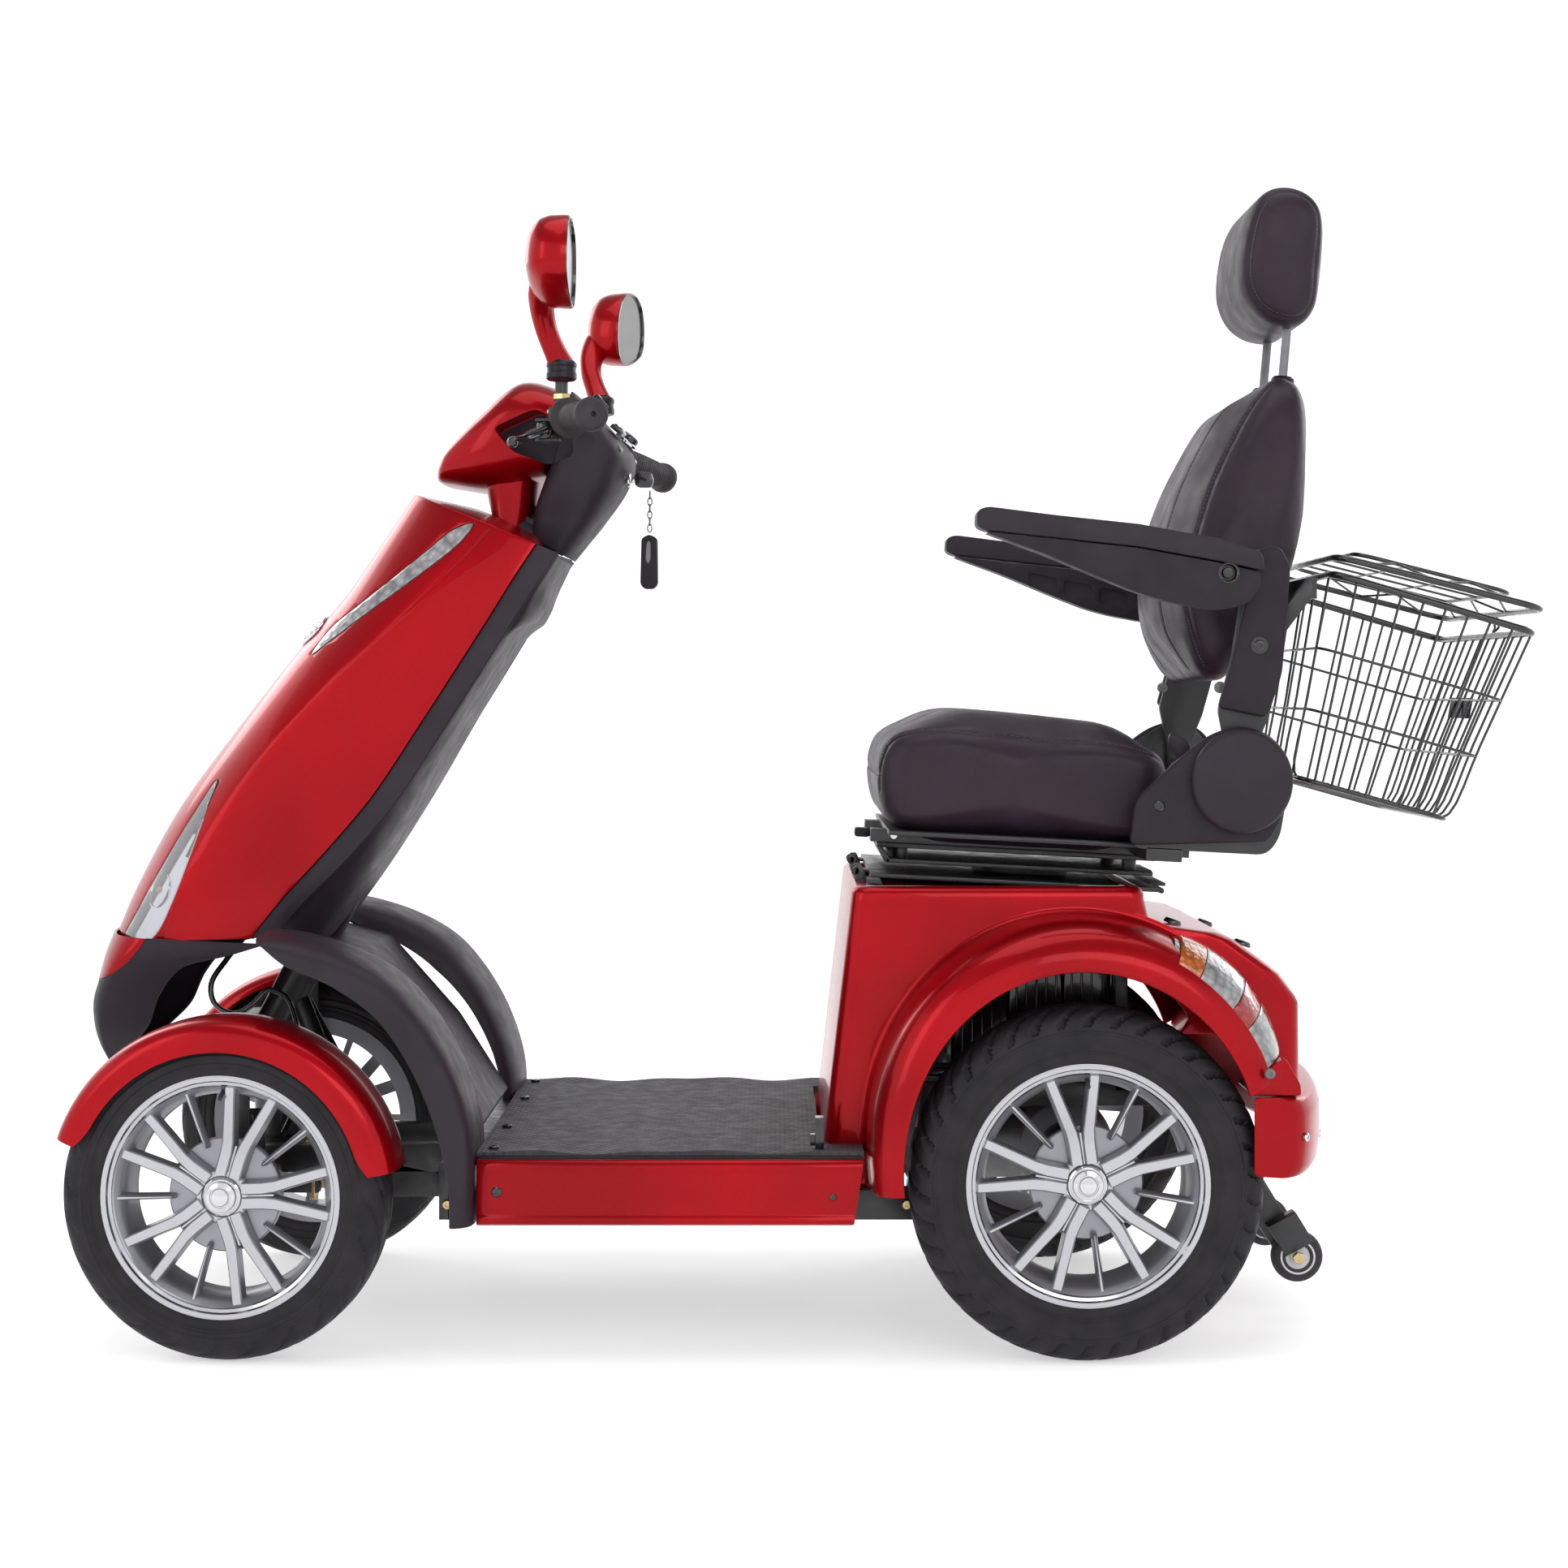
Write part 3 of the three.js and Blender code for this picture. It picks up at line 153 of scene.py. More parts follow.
def black_plastic(name="black_plastic", tone=0.016, rough=(0.42, 0.62), grain=900):
    """Moulded plastic with a fine spark-eroded grain."""
    f = Finish(name, (tone, tone * 0.8, tone), 0.5, Specular_IOR_Level=0.22)
    f.colours(f.spread(f.noise(14, 3), 0, 1), (tone * 1.4, tone * 0.98, tone * 1.45),
              (tone * 1.05, tone * 0.74, tone * 1.1))
    f.rough(f.noise(40, 4), *rough)
    f.bump((f.cells(grain), 0.14, 0.2), (f.noise(grain * 0.5, 3), 0.10, 0.2))
    return f.material


def gloss_black():
    """Polished black trim."""
    f = Finish("gloss_black", (0.010, 0.009, 0.011), 0.16, Coat_Weight=0.5, Coat_Roughness=0.05)
    f.rough(f.noise(30, 4), 0.10, 0.26)
    f.bump((f.noise(120, 2), 0.04, 0.4))
    return f.material


def leather():
    """Leatherette: fine pebble grain, soft creases and worn-smooth sheen."""
    f = Finish("leather", (0.012, 0.009, 0.011), 0.4, Specular_IOR_Level=0.2)
    f.colours(f.spread(f.noise(9, 4), 0, 1), (0.029, 0.0175, 0.028), (0.023, 0.014, 0.0225))
    f.rough(f.noise(26, 5), 0.34, 0.52)
    f.bump((f.cells(620, "F1"), 0.28, 0.35), (f.noise(330, 4), 0.16, 0.5), (f.noise(16, 2), 0.22, 3.0))
    return f.material


def thread():
    """Matt sewing thread."""
    f = Finish("thread", (0.045, 0.038, 0.043), 0.7, Sheen_Weight=0.3)
    f.rough(f.noise(900, 2), 0.6, 0.85)
    return f.bump((f.noise(2500, 2), 0.4, 0.2)).material


def black_steel():
    """Semi-gloss powder coat."""
    f = Finish("black_steel", (0.014, 0.013, 0.015), 0.38, 0.0, Specular_IOR_Level=0.6)
    f.rough(f.noise(60, 4), 0.26, 0.46)
    f.bump((f.noise(420, 3), 0.18, 0.25))
    return f.material


def black_wire():
    """Lacquered basket wire."""
    f = Finish("black_wire", (0.008, 0.008, 0.009), 0.22, 0.0, Coat_Weight=0.4, Coat_Roughness=0.1)
    f.rough(f.noise(90, 3), 0.16, 0.32)
    return f.bump((f.noise(300, 2), 0.08, 0.2)).material


def silver_paint():
    """The rim's painted faces."""
    f = Finish("silver_paint", (0.30, 0.30, 0.33), 0.38, 0.75, Coat_Weight=0.3, Coat_Roughness=0.1)
    f.rough(f.noise(1800, 2), 0.28, 0.46)
    return f.bump((f.noise(1200, 2), 0.08, 0.1)).material


def machined():
    """Turned bright faces of the rim, with fine cutter lines."""
    f = Finish("machined", (0.47, 0.47, 0.50), 0.2, 1.0, Anisotropic=0.5)
    f.rough(f.noise(60, 3), 0.10, 0.24)
    return f.bump((f.noise(1500, 2, (1, 0.02, 1)), 0.10, 0.1)).material


def chrome():
    """Bright plating, slightly uneven."""
    f = Finish("chrome", (0.62, 0.62, 0.64), 0.06, 1.0)
    f.rough(f.noise(50, 3), 0.03, 0.12)
    return f.bump((f.noise(30, 2), 0.02, 0.3)).material


def cast_metal():
    """Dull cast alloy of the drive and small fittings."""
    f = Finish("cast_metal", (0.20, 0.20, 0.21), 0.5, 0.85)
    f.colours(f.spread(f.noise(12, 4), 0, 1), (0.24, 0.24, 0.25), (0.12, 0.12, 0.13))
    f.rough(f.noise(45, 4), 0.38, 0.62)
    return f.bump((f.noise(260, 4), 0.3, 0.5)).material


def zinc_brass():
    """Yellow-passivated bolts."""
    f = Finish("zinc_brass", (0.62, 0.46, 0.20), 0.3, 1.0)
    f.colours(f.spread(f.noise(120, 3), 0, 1), (0.66, 0.50, 0.24), (0.45, 0.36, 0.20))
    f.rough(f.noise(200, 3), 0.22, 0.4)
    return f.bump((f.noise(500, 2), 0.1, 0.1)).material


def tyre_rubber():
    """Matt tyre rubber."""
    f = Finish("tyre_rubber", (0.014, 0.012, 0.015), 0.6, Specular_IOR_Level=0.25)
    f.colours(f.spread(f.noise(24, 4), 0, 1), (0.018, 0.016, 0.018), (0.010, 0.009, 0.011))
    f.rough(f.noise(50, 4), 0.48, 0.70)
    f.bump((f.noise(900, 3), 0.15, 0.15), (f.noise(90, 3), 0.12, 0.5))
    return f.material


def grip_rubber():
    """Softer rubber of the grips and boots."""
    f = Finish("grip_rubber", (0.024, 0.021, 0.023), 0.62, Specular_IOR_Level=0.4)
    f.rough(f.noise(70, 4), 0.5, 0.75)
    return f.bump((f.noise(700, 3), 0.2, 0.2)).material


def mat_rubber():
    """Footwell mat: fine diamond ribs moulded into the rubber."""
    f = Finish("mat_rubber", (0.040, 0.036, 0.042), 0.6, Specular_IOR_Level=0.4)
    f.colours(f.spread(f.noise(18, 4), 0, 1), (0.050, 0.045, 0.052), (0.030, 0.027, 0.032))
    f.rough(f.noise(60, 4), 0.5, 0.72)
    waves = []
    for degrees in (35, -35):
        lay = f.node("Mapping", {"Vector": f.place, "Rotation": (0, 0, math.radians(degrees))})
        waves.append(f.node("TexWave", {"Vector": lay.outputs["Vector"], "Scale": 34.0}).outputs["Fac"])
    ribs = f.node("Math", {0: waves[0], 1: waves[1]}, operation="MULTIPLY").outputs["Value"]
    return f.bump((ribs, 0.9, 1.2), (f.noise(900, 2), 0.15, 0.15)).material


def white_plastic():
    """Off-white plastic of the small hubs and marks."""
    f = Finish("white_plastic", (0.62, 0.62, 0.66), 0.4)
    f.rough(f.noise(60, 3), 0.32, 0.5)
    return f.bump((f.noise(300, 2), 0.08, 0.2)).material


def clear_lens():
    """Clear lamp cover."""
    f = Finish("clear_lens", (0.93, 0.95, 0.97), 0.03, Transmission_Weight=0.92, IOR=1.3,
               Coat_Weight=0.6, Coat_Roughness=0.02)
    return f.bump((f.noise(40, 2), 0.02, 0.4)).material


def fluted_lens(name, colour, transmission=0.35, scale=150):
    """A coloured lens with moulded prism cells."""
    f = Finish(name, colour, 0.10, Transmission_Weight=transmission, IOR=1.4,
               Coat_Weight=1.0, Coat_Roughness=0.02)
    f.colours(f.spread(f.cells(scale), 0, 1, 0.1, 0.8), colour, tuple(0.45 * c for c in colour))
    return f.bump((f.cells(scale), 0.6, 1.5)).material


def mirror_glass():
    """Silvered glass."""
    f = Finish("mirror_glass", (0.80, 0.81, 0.83), 0.02, 1.0, Coat_Weight=0.5)
    return f.bump((f.noise(8, 1), 0.01, 0.3)).material


def pale_floor():
    """Plain pale floor and backdrop."""
    f = Finish("pale_floor", (0.80, 0.80, 0.81), 0.6, Specular_IOR_Level=0.1, Emission_Strength=0.5,
               Emission_Color=(1, 1, 1, 1))
    f.rough(f.noise(3, 3), 0.5, 0.7)
    return f.material


RED = red_paint()
PLASTIC = black_plastic()
SHIELD_PLASTIC = black_plastic("shield_plastic", 0.020, (0.40, 0.55), 700)
SMOOTH_PLASTIC = black_plastic("smooth_plastic", 0.011, (0.28, 0.40), 1400)
GLOSS = gloss_black()
LEATHER = leather()
THREAD = thread()
STEEL = black_steel()
WIRE = black_wire()
SILVER = silver_paint()
MACHINED = machined()
CHROME = chrome()
CAST = cast_metal()
BRASS = zinc_brass()
TYRE = tyre_rubber()
RUBBER = grip_rubber()
MAT = mat_rubber()
WHITE_PLASTIC = white_plastic()
CLEAR = clear_lens()
RED_LENS = fluted_lens("red_lens", (0.62, 0.012, 0.010))
AMBER_LENS = fluted_lens("amber_lens", (0.85, 0.20, 0.02))
WHITE_LENS = fluted_lens("white_lens", (0.80, 0.80, 0.82), 0.6, 110)
MIRROR = mirror_glass()


# ------------------------------------------------------------------ shapes, in millimetres
def spline(points, per_span=8, closed=False):
    """Points along a smooth line through the given ones (centripetal Catmull-Rom)."""
    given = [Vector(p) for p in points]
    count = len(given)

    def at(i):
        if closed:
            return given[i % count]
        if i < 0:
            return given[0] * 2 - given[1]
        if i >= count:
            return given[-1] * 2 - given[-2]
        return given[i]

    made = []
    for i in range(count if closed else count - 1):
        p = [at(i - 1), at(i), at(i + 1), at(i + 2)]
        k = [0.0]
        for a, b in zip(p, p[1:]):
            k.append(k[-1] + max((b - a).length, 1e-6) ** 0.5)
        for step in range(per_span):
            t = k[1] + (k[2] - k[1]) * step / per_span
            a = [((k[j + 1] - t) * p[j] + (t - k[j]) * p[j + 1]) / (k[j + 1] - k[j]) for j in range(3)]
            b = [((k[j + 2] - t) * a[j] + (t - k[j]) * a[j + 1]) / (k[j + 2] - k[j]) for j in range(2)]
            made.append(((k[2] - t) * b[0] + (t - k[1]) * b[1]) / (k[2] - k[1]))
    return made if closed else made + [given[-1]]


def both(*shapes):
    """Several shapes gathered into one."""
    verts, faces = [], []
    for more, loops in shapes:
        start = len(verts)
        verts += [Vector(v) for v in more]
        faces += [[start + i for i in loop] for loop in loops]
    return verts, faces


def loft(rings, caps=True, closed_ring=True, closed_path=False):
    """Faces through a row of rings with equal counts."""
    count = len(rings[0])
    verts = [Vector(p) for ring in rings for p in ring]
    faces = []
    for r in range(len(rings) if closed_path else len(rings) - 1):
        here, there = r * count, ((r + 1) % len(rings)) * count
        for i in range(count if closed_ring else count - 1):
            j = (i + 1) % count
            faces.append([here + i, here + j, there + j, there + i])
    if caps and closed_ring and not closed_path:
        faces.append(list(range(count))[::-1])
        faces.append([len(verts) - count + i for i in range(count)])
    return verts, faces


def round_angles(count):
    """Evenly spaced angles round a full turn, in radians."""
    return [2 * math.pi * i / count for i in range(count)]


def circle(centre, u, v, radius, sides):
    """A ring of points round a centre, in the plane of the directions u and v."""
    return [centre + (u * math.cos(a) + v * math.sin(a)) * radius for a in round_angles(sides)]


def tube(points, radius, sides=12, per_span=6, closed=False, flat=1.0):
    """A round bar along a smooth line. radius is a number or a function of 0..1 along it."""
    path = spline(points, per_span, closed) if per_span else [Vector(p) for p in points]
    size = radius if callable(radius) else (lambda t: radius)
    count = len(path)
    rings, up = [], None
    for i, p in enumerate(path):
        after = path[(i + 1) % count] if closed or i < count - 1 else p
        before = path[i - 1] if closed or i else p
        along = (after - before).normalized()
        if up is None:
            up = along.orthogonal().normalized()
        up = (up - along * up.dot(along)).normalized()
        rings.append(circle(p, up, along.cross(up) * flat, size(i / max(count - 1, 1)), sides))
    return loft(rings, closed_path=closed)


def rod(start, end, radius, sides=16, chamfer=0.0):
    """A straight round bar with chamfered ends."""
    a, b = Vector(start), Vector(end)
    along = (b - a).normalized()
    up = along.orthogonal().normalized()
    side = along.cross(up)
    if not chamfer:
        return loft([circle(a, up, side, radius, sides), circle(b, up, side, radius, sides)])
    steps = ((a, radius - chamfer), (a + along * chamfer, radius),
             (b - along * chamfer, radius), (b, radius - chamfer))
    return loft([circle(p, up, side, r, sides) for p, r in steps])


def turned_body(profile, start, along, sides=32):
    """A profile of (radius, distance) turned about a line. It closes where the radius is 0 or on itself."""
    axis = Vector(along).normalized()
    up = axis.orthogonal().normalized()
    side = axis.cross(up)
    start = Vector(start)
    rings = [circle(start + axis * d, up, side, max(r, 0.01), sides) for r, d in profile]
    loop = profile[0] == profile[-1]
    return loft(rings[:-1] if loop else rings, closed_path=loop)


def prism(outline, y0, y1):
    """An outline in the XZ plane, extruded across Y."""
    return loft([[Vector((x, y, z)) for x, z in outline] for y in (y0, y1)])


def block(x0, x1, y0, y1, z0, z1):
    """A box between pairs of coordinates."""
    return prism([(x0, z0), (x1, z0), (x1, z1), (x0, z1)], y0, y1)


def filleted(outline, radius, steps=5):
    """An outline in 2-D with its corners rounded. radius is one number or one for each corner."""
    made = []
    count = len(outline)
    for i, corner in enumerate(outline):
        r = radius[i] if isinstance(radius, (list, tuple)) else radius
        here = Vector(corner)
        to_before = Vector(outline[i - 1]) - here
        to_after = Vector(outline[(i + 1) % count]) - here
        reach = min(r, to_before.length * 0.48, to_after.length * 0.48)
        a = here + to_before.normalized() * reach
        b = here + to_after.normalized() * reach
        for s in range(steps + 1):
            t = s / steps
            made.append(tuple(a * (1 - t) ** 2 + here * 2 * t * (1 - t) + b * t ** 2))
    return made


def moved(shape, matrix):
    """A shape with its points moved by a matrix."""
    return [matrix @ Vector(v) for v in shape[0]], shape[1]


# ------------------------------------------------------------------ objects
def settle(obj):
    """Applies the object's modifiers to its mesh."""
    graph = bpy.context.evaluated_depsgraph_get()
    mesh = bpy.data.meshes.new_from_object(obj.evaluated_get(graph))
    obj.modifiers.clear()
    obj.data = mesh


def raw_object(name, shape, place=PLACE):
    """An object with a clean mesh, in metres."""
    mesh = bpy.data.meshes.new(name)
    mesh.from_pydata([tuple(v) for v in shape[0]], [], shape[1])
    edit = bmesh.new()
    edit.from_mesh(mesh)
    bmesh.ops.remove_doubles(edit, verts=edit.verts, dist=0.02)
    bmesh.ops.dissolve_degenerate(edit, edges=edit.edges, dist=0.01)
    bmesh.ops.recalc_face_normals(edit, faces=edit.faces)
    edit.to_mesh(mesh)
    edit.free()
    mesh.transform(place)
    obj = bpy.data.objects.new(name, mesh)
    bpy.context.scene.collection.objects.link(obj)
    return obj


def thicken(obj, thickness, offset=-1.0, even=True):
    """Gives a skin its thickness in millimetres."""
    made = obj.modifiers.new("thickness", "SOLIDIFY")
    made.thickness = thickness * MM
    made.offset = offset
    made.use_even_offset = even
    made.use_quality_normals = even
    settle(obj)


def round_edges(obj, width, segments=2, angle=32):
    """Rounds the edges sharper than an angle."""
    made = obj.modifiers.new("edges", "BEVEL")
    made.width = width * MM
    made.segments = segments
    made.limit_method = "ANGLE"
    made.angle_limit = math.radians(angle)
    made.miter_outer = "MITER_ARC"
    made.use_clamp_overlap = True
    settle(obj)


def subdivide(obj, levels):
    """Smooths the mesh by subdivision."""
    made = obj.modifiers.new("smooth", "SUBSURF")
    made.levels = levels
    settle(obj)


def cut(obj, *shapes, place=PLACE, keep=False):
    """Cuts shapes away from an object, or with keep, keeps only what is inside them."""
    tool = raw_object("cutter", both(*shapes), place)
    made = obj.modifiers.new("cut", "BOOLEAN")
    made.object = tool
    made.operation = "INTERSECT" if keep else "DIFFERENCE"
    made.solver = "EXACT"
    made.use_self = True
    settle(obj)
    bpy.data.objects.remove(tool)


def dress(obj, material, body, replaces=(), sharp=38):
    """Gives a finished object its shading, material and body."""
    obj.data.shade_smooth()
    obj.data.set_sharp_from_angle(angle=math.radians(sharp))
    obj.data.materials.clear()
    for each in material if isinstance(material, list) else [material]:
        obj.data.materials.append(each)
    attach(obj, body)
    if replaces:
        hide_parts(*replaces)
    return obj


def make(name, shape, material, body, place=PLACE, replaces=(), sharp=38, edge=0.0,
         segments=2, thickness=0.0):
    """A finished piece from one shape."""
    obj = raw_object(name, shape, place)
    if thickness:
        thicken(obj, thickness)
    if edge:
        round_edges(obj, edge, segments)
    return dress(obj, material, body, replaces, sharp)


def screw(centre, normal, radius=5.0, height=2.2):
    """A socket-head screw as one shape."""
    socket = radius * 0.45
    profile = [(0, height * 0.45), (socket, height * 0.45), (socket, height), (radius * 0.8, height),
               (radius, height * 0.6), (radius, -1), (0, -1)]
    return turned_body(profile, centre, normal, 18)


# ------------------------------------------------------------------ camera, light and floor
def set_stage():
    """The camera at the photograph's angle, a pale floor that curves up on every side, and soft light."""
    scene = bpy.context.scene
    camera = bpy.data.objects.new("camera", bpy.data.cameras.new("camera"))
    scene.collection.objects.link(camera)
    camera.location = (-0.028, -3.555, 0.773)
    camera.rotation_euler = (math.radians(90), 0, 0)
    camera.data.sensor_width = 36
    camera.data.lens = 64.6
    camera.data.shift_x = 0.003
    camera.data.shift_y = -0.060
    scene.camera = camera
    scene.view_settings.view_transform = "Standard"

    flat, curve, top = 7000, 2500, 7000
    bends = [math.radians(9 * i) for i in range(11)]
    profile = [(1, 0)] + [(flat + curve * math.sin(a), curve - curve * math.cos(a)) for a in bends]
    profile.append((flat + curve, top))
    rings = [circle(Vector((0, 0, z)), Vector((1, 0, 0)), Vector((0, 1, 0)), r, 72) for r, z in profile]
    floor = raw_object("floor", loft(rings, caps=False), Matrix.Scale(MM, 4))
    floor.data.shade_smooth()
    floor.data.materials.append(pale_floor())

    world = bpy.data.worlds.new("studio")
    world.use_nodes = True
    world.node_tree.nodes["Background"].inputs["Color"].default_value = (1, 1, 1, 1)
    world.node_tree.nodes["Background"].inputs["Strength"].default_value = 0.36
    scene.world = world

    softboxes = [                       # name, place, target, size, power
        ("top", (0.2, -0.3, 3.6), (0, 0, 0), (3.4, 2.2), 40),
        ("front_left", (-3.2, -2.6, 2.2), (0, 0, 0.6), (1.2, 2.6), 18),
        ("side", (1.5, -4.2, 2.6), (0.1, 0, 0.6), (3.0, 1.4), 30),
        ("back_left", (-2.6, 3.0, 2.6), (0, 0, 0.6), (1.6, 2.2), 26),
        ("back_right", (2.8, 2.8, 2.4), (0, 0, 0.6), (1.6, 2.2), 26)]
    for name, place, target, size, power in softboxes:
        light = bpy.data.lights.new(name, "AREA")
        light.shape = "RECTANGLE"
        light.size, light.size_y = size
        light.energy = power
        lamp = bpy.data.objects.new(name, light)
        scene.collection.objects.link(lamp)
        lamp.location = place
        lamp.rotation_euler = (Vector(place) - Vector(target)).to_track_quat("Z", "Y").to_euler()


# ------------------------------------------------------------------ wheels
LIP = {end: TYRE_HALF[end] - 4 for end in TYRE_HALF}    # the rim's outer lip, out from the wheel's middle
BEAD_R = 126                            # inner radius of the tyre
CENTRE_BAND = 7                         # half width of the unbroken band round the tread
TREAD_HEIGHT = 21                       # how far down the shoulder the grooves run
STEPS_PER_BLOCK = 10
SPOKE_GROUPS = 5


def spoke(path, top, depth, angle):
    """A wheel spoke along stations of (radius, sideways, width), chamfered on top and wider below."""
    radial = Vector((math.cos(angle), 0, math.sin(angle)))
    across = Vector((-math.sin(angle), 0, math.cos(angle)))
    rings = []
    for r, side, width, drop in path:
        high, w = top - drop, width / 2
        section = [(-w, high - 1.6), (1.4 - w, high), (w - 1.4, high), (w, high - 1.6),
                   (w + 2.2, high - depth), (-w - 2.2, high - depth)]
        rings.append([radial * r + across * (side + t) + Vector((0, y, 0)) for t, y in section])
    return loft(rings)


def tyre_profile(end):
    """Half profile of the tyre from bead to tread centre, as (radius, y)."""
    r, half, lip = TYRE_R[end], TYRE_HALF[end], LIP[end]
    return spline([(130, lip - 11), (140.6, lip + 0.6), (144.5, lip + 2.4), (148, lip + 2.6),
                   (151, lip + 2.2), (152.6, lip + 3.4), (154.2, lip + 3.3), (155.4, lip + 2.6),
                   (r - 31, half - 0.4), (r - 29.4, half + 0.7), (r - 27.5, half + 0.6), (r - 26, half - 0.3),
                   (r - 19, half - 1.4), (r - 11, half - 5.5), (r - 4.5, half - 13),
                   (r - 1.0, half - 24), (r, 4)], 4)


def tyre_shape(end, blocks, width, depth, slope):
    """The tyre as a grid round the wheel, with tread grooves pressed into it."""
    half_profile = tyre_profile(end)
    profile = half_profile + [Vector((p.x, -p.y)) for p in reversed(half_profile)]
    r, half = TYRE_R[end], TYRE_HALF[end]
    steps = blocks * STEPS_PER_BLOCK
    rings = []
    for i in range(steps):
        angle = 2 * math.pi * i / steps
        ring = []
        for p in profile:
            reach = max(0.0, (abs(p.y) - CENTRE_BAND) / (half - CENTRE_BAND))
            shift = slope * reach ** 1.5 + (0.5 if p.y < 0 else 0)
            phase = (i / STEPS_PER_BLOCK + shift) % 1
            inside = max(0.0, 1 - abs(phase - 0.5) / width)
            on_tread = reach > 0.02 and p.x > r - TREAD_HEIGHT
            groove = depth * min(1, inside * 1.8) if on_tread else 0
            centre_cut = 2.5 * max(0, 1 - abs(abs(p.y) - 5) / 2.2) if p.x > r - 3 else 0
            radius = p.x - groove - centre_cut
            y = p.y - (groove * 0.35 * math.copysign(1, p.y) if reach > 0.75 else 0)
            ring.append(Vector((radius * math.cos(angle), y, radius * math.sin(angle))))
        ring.append(Vector((BEAD_R * math.cos(angle), 0, BEAD_R * math.sin(angle))))
        rings.append(ring)
    return loft(rings, closed_path=True)


def wheel(end, side, sign):
    """An alloy rim with five pairs of spokes and thin ribs, its cap and valve, and the tyre."""
    name = f"{end}_wheel_{side}"
    base = KNUCKLE[sign] if end == "front" else PLACE
    place = base @ Matrix.Translation((AXLE_X[end], sign * WHEEL_Y, TYRE_R[end]))
    if sign < 0:
        place = place @ Matrix.Rotation(math.pi, 4, "Z")
    lip = LIP[end]
    barrel = [(141, lip - 1), (140, lip + 0.8), (137.5, lip + 1.4), (134, lip + 0.6), (132.4, lip - 2.5),
              (129, lip - 4), (127, lip - 7), (122, lip - 12), (117, lip - 22), (116, 6 - lip),
              (127, 4 - lip), (139, -lip - 1), (141, 2 - lip), (130, 8 - lip), (120, 12 - lip),
              (120, lip - 24), (128, lip - 13), (141, lip - 1)]
    disc = [(0, 2), (66, 2), (66, 12), (64.5, 13.5), (34, 15), (0, 15)]
    boss = [(0, 10), (31, 10), (31, 26), (29.5, 27.5), (24, 28.5), (23, 27), (0, 27)]
    first = math.radians(10 if end == "rear" else 34)
    arms = []
    for i in range(SPOKE_GROUPS):
        angle = first + math.radians(72 * i)
        for s in (-1, 1):
            arms.append(spoke([(24, s * 8.4, 14.0, 1), (48, s * 8.6, 14.0, 1.5), (62, s * 10.2, 13.6, 2.5),
                               (84, s * 16.0, 13.0, 4), (112, s * 23.2, 12.4, 4.5), (130, s * 27.5, 12, 4.5)],
                              lip - 4, 14, angle))
        arms.append(spoke([(24, 0, 4, 4.5), (60, 0, 5, 6)], lip - 4, 12, angle))
        between = angle + math.radians(36)
        arms.append(spoke([(57, 0, 2.2, 9), (60, 0, 3.4, 7), (96, 0, 4.2, 6.5), (130, 0, 5.4, 6)],
                          lip - 4, 12, between))
    turnings = [turned_body(profile, (0, 0, 0), (0, 1, 0), sides)
                for profile, sides in ((barrel, 96), (disc, 64), (boss, 48))]
    rim = raw_object(f"{name}_rim_detail", both(*turnings, *arms), place)
    dress(rim, [SILVER, MACHINED], name, [f"{name}_rim"], 30)
    out = (base.to_3x3() @ Vector((0, sign, 0))).normalized()
    centre = place @ Vector((0, 0, 0))
    for face in rim.data.polygons:
        offset = face.center - centre
        height = offset.dot(out) / MM
        radius = (offset - out * offset.dot(out)).length / MM
        on_lip = radius > 126 and height > lip - 9
        on_spoke = face.normal.dot(out) > 0.93 and height > 17 and radius > 26
        face.material_index = 1 if on_lip or on_spoke else 0
    dome = [(0, 27.5), (22.5, 27.5), (22.5, 30), (20.5, 31.5), (19.6, 30.8), (18.6, 31), (17, 34), (12.5, 36),
            (11.8, 34.8), (10.8, 35), (9.5, 37.5), (5, 38.6), (0, 38.8)]
    make(f"{name}_hub_cap", turned_body(dome, (0, lip - 36, 0), (0, 1, 0), 40), CHROME, name,
         place, sharp=30)
    valve = rod((0, lip - 16, 121), (0, lip + 1, 113), 2.6, 10, 0.6)
    make(f"{name}_valve", valve, RUBBER, name, place)
    if end == "rear":
        shape = tyre_shape(end, 38, 0.16, 6.0, 1.1)
    else:
        shape = tyre_shape(end, 24, 0.085, 2.6, 1.6)
    make(f"{name}_tyre_detail", shape, TYRE, name, place, [f"{name}_tyre"], 30)


# ------------------------------------------------------------------ front fenders and knuckles
def arch_sweep(section_at, centre, from_deg, to_deg, steps):
    """A section of (radius, y) points swept round a wheel centre; degrees up from the front."""
    rings = []
    for i in range(steps + 1):
        degrees = from_deg + (to_deg - from_deg) * i / steps
        angle = math.radians(degrees)
        rings.append([Vector((centre[0] - r * math.cos(angle), y, centre[1] + r * math.sin(angle)))
                      for r, y in section_at(degrees)])
    return rings


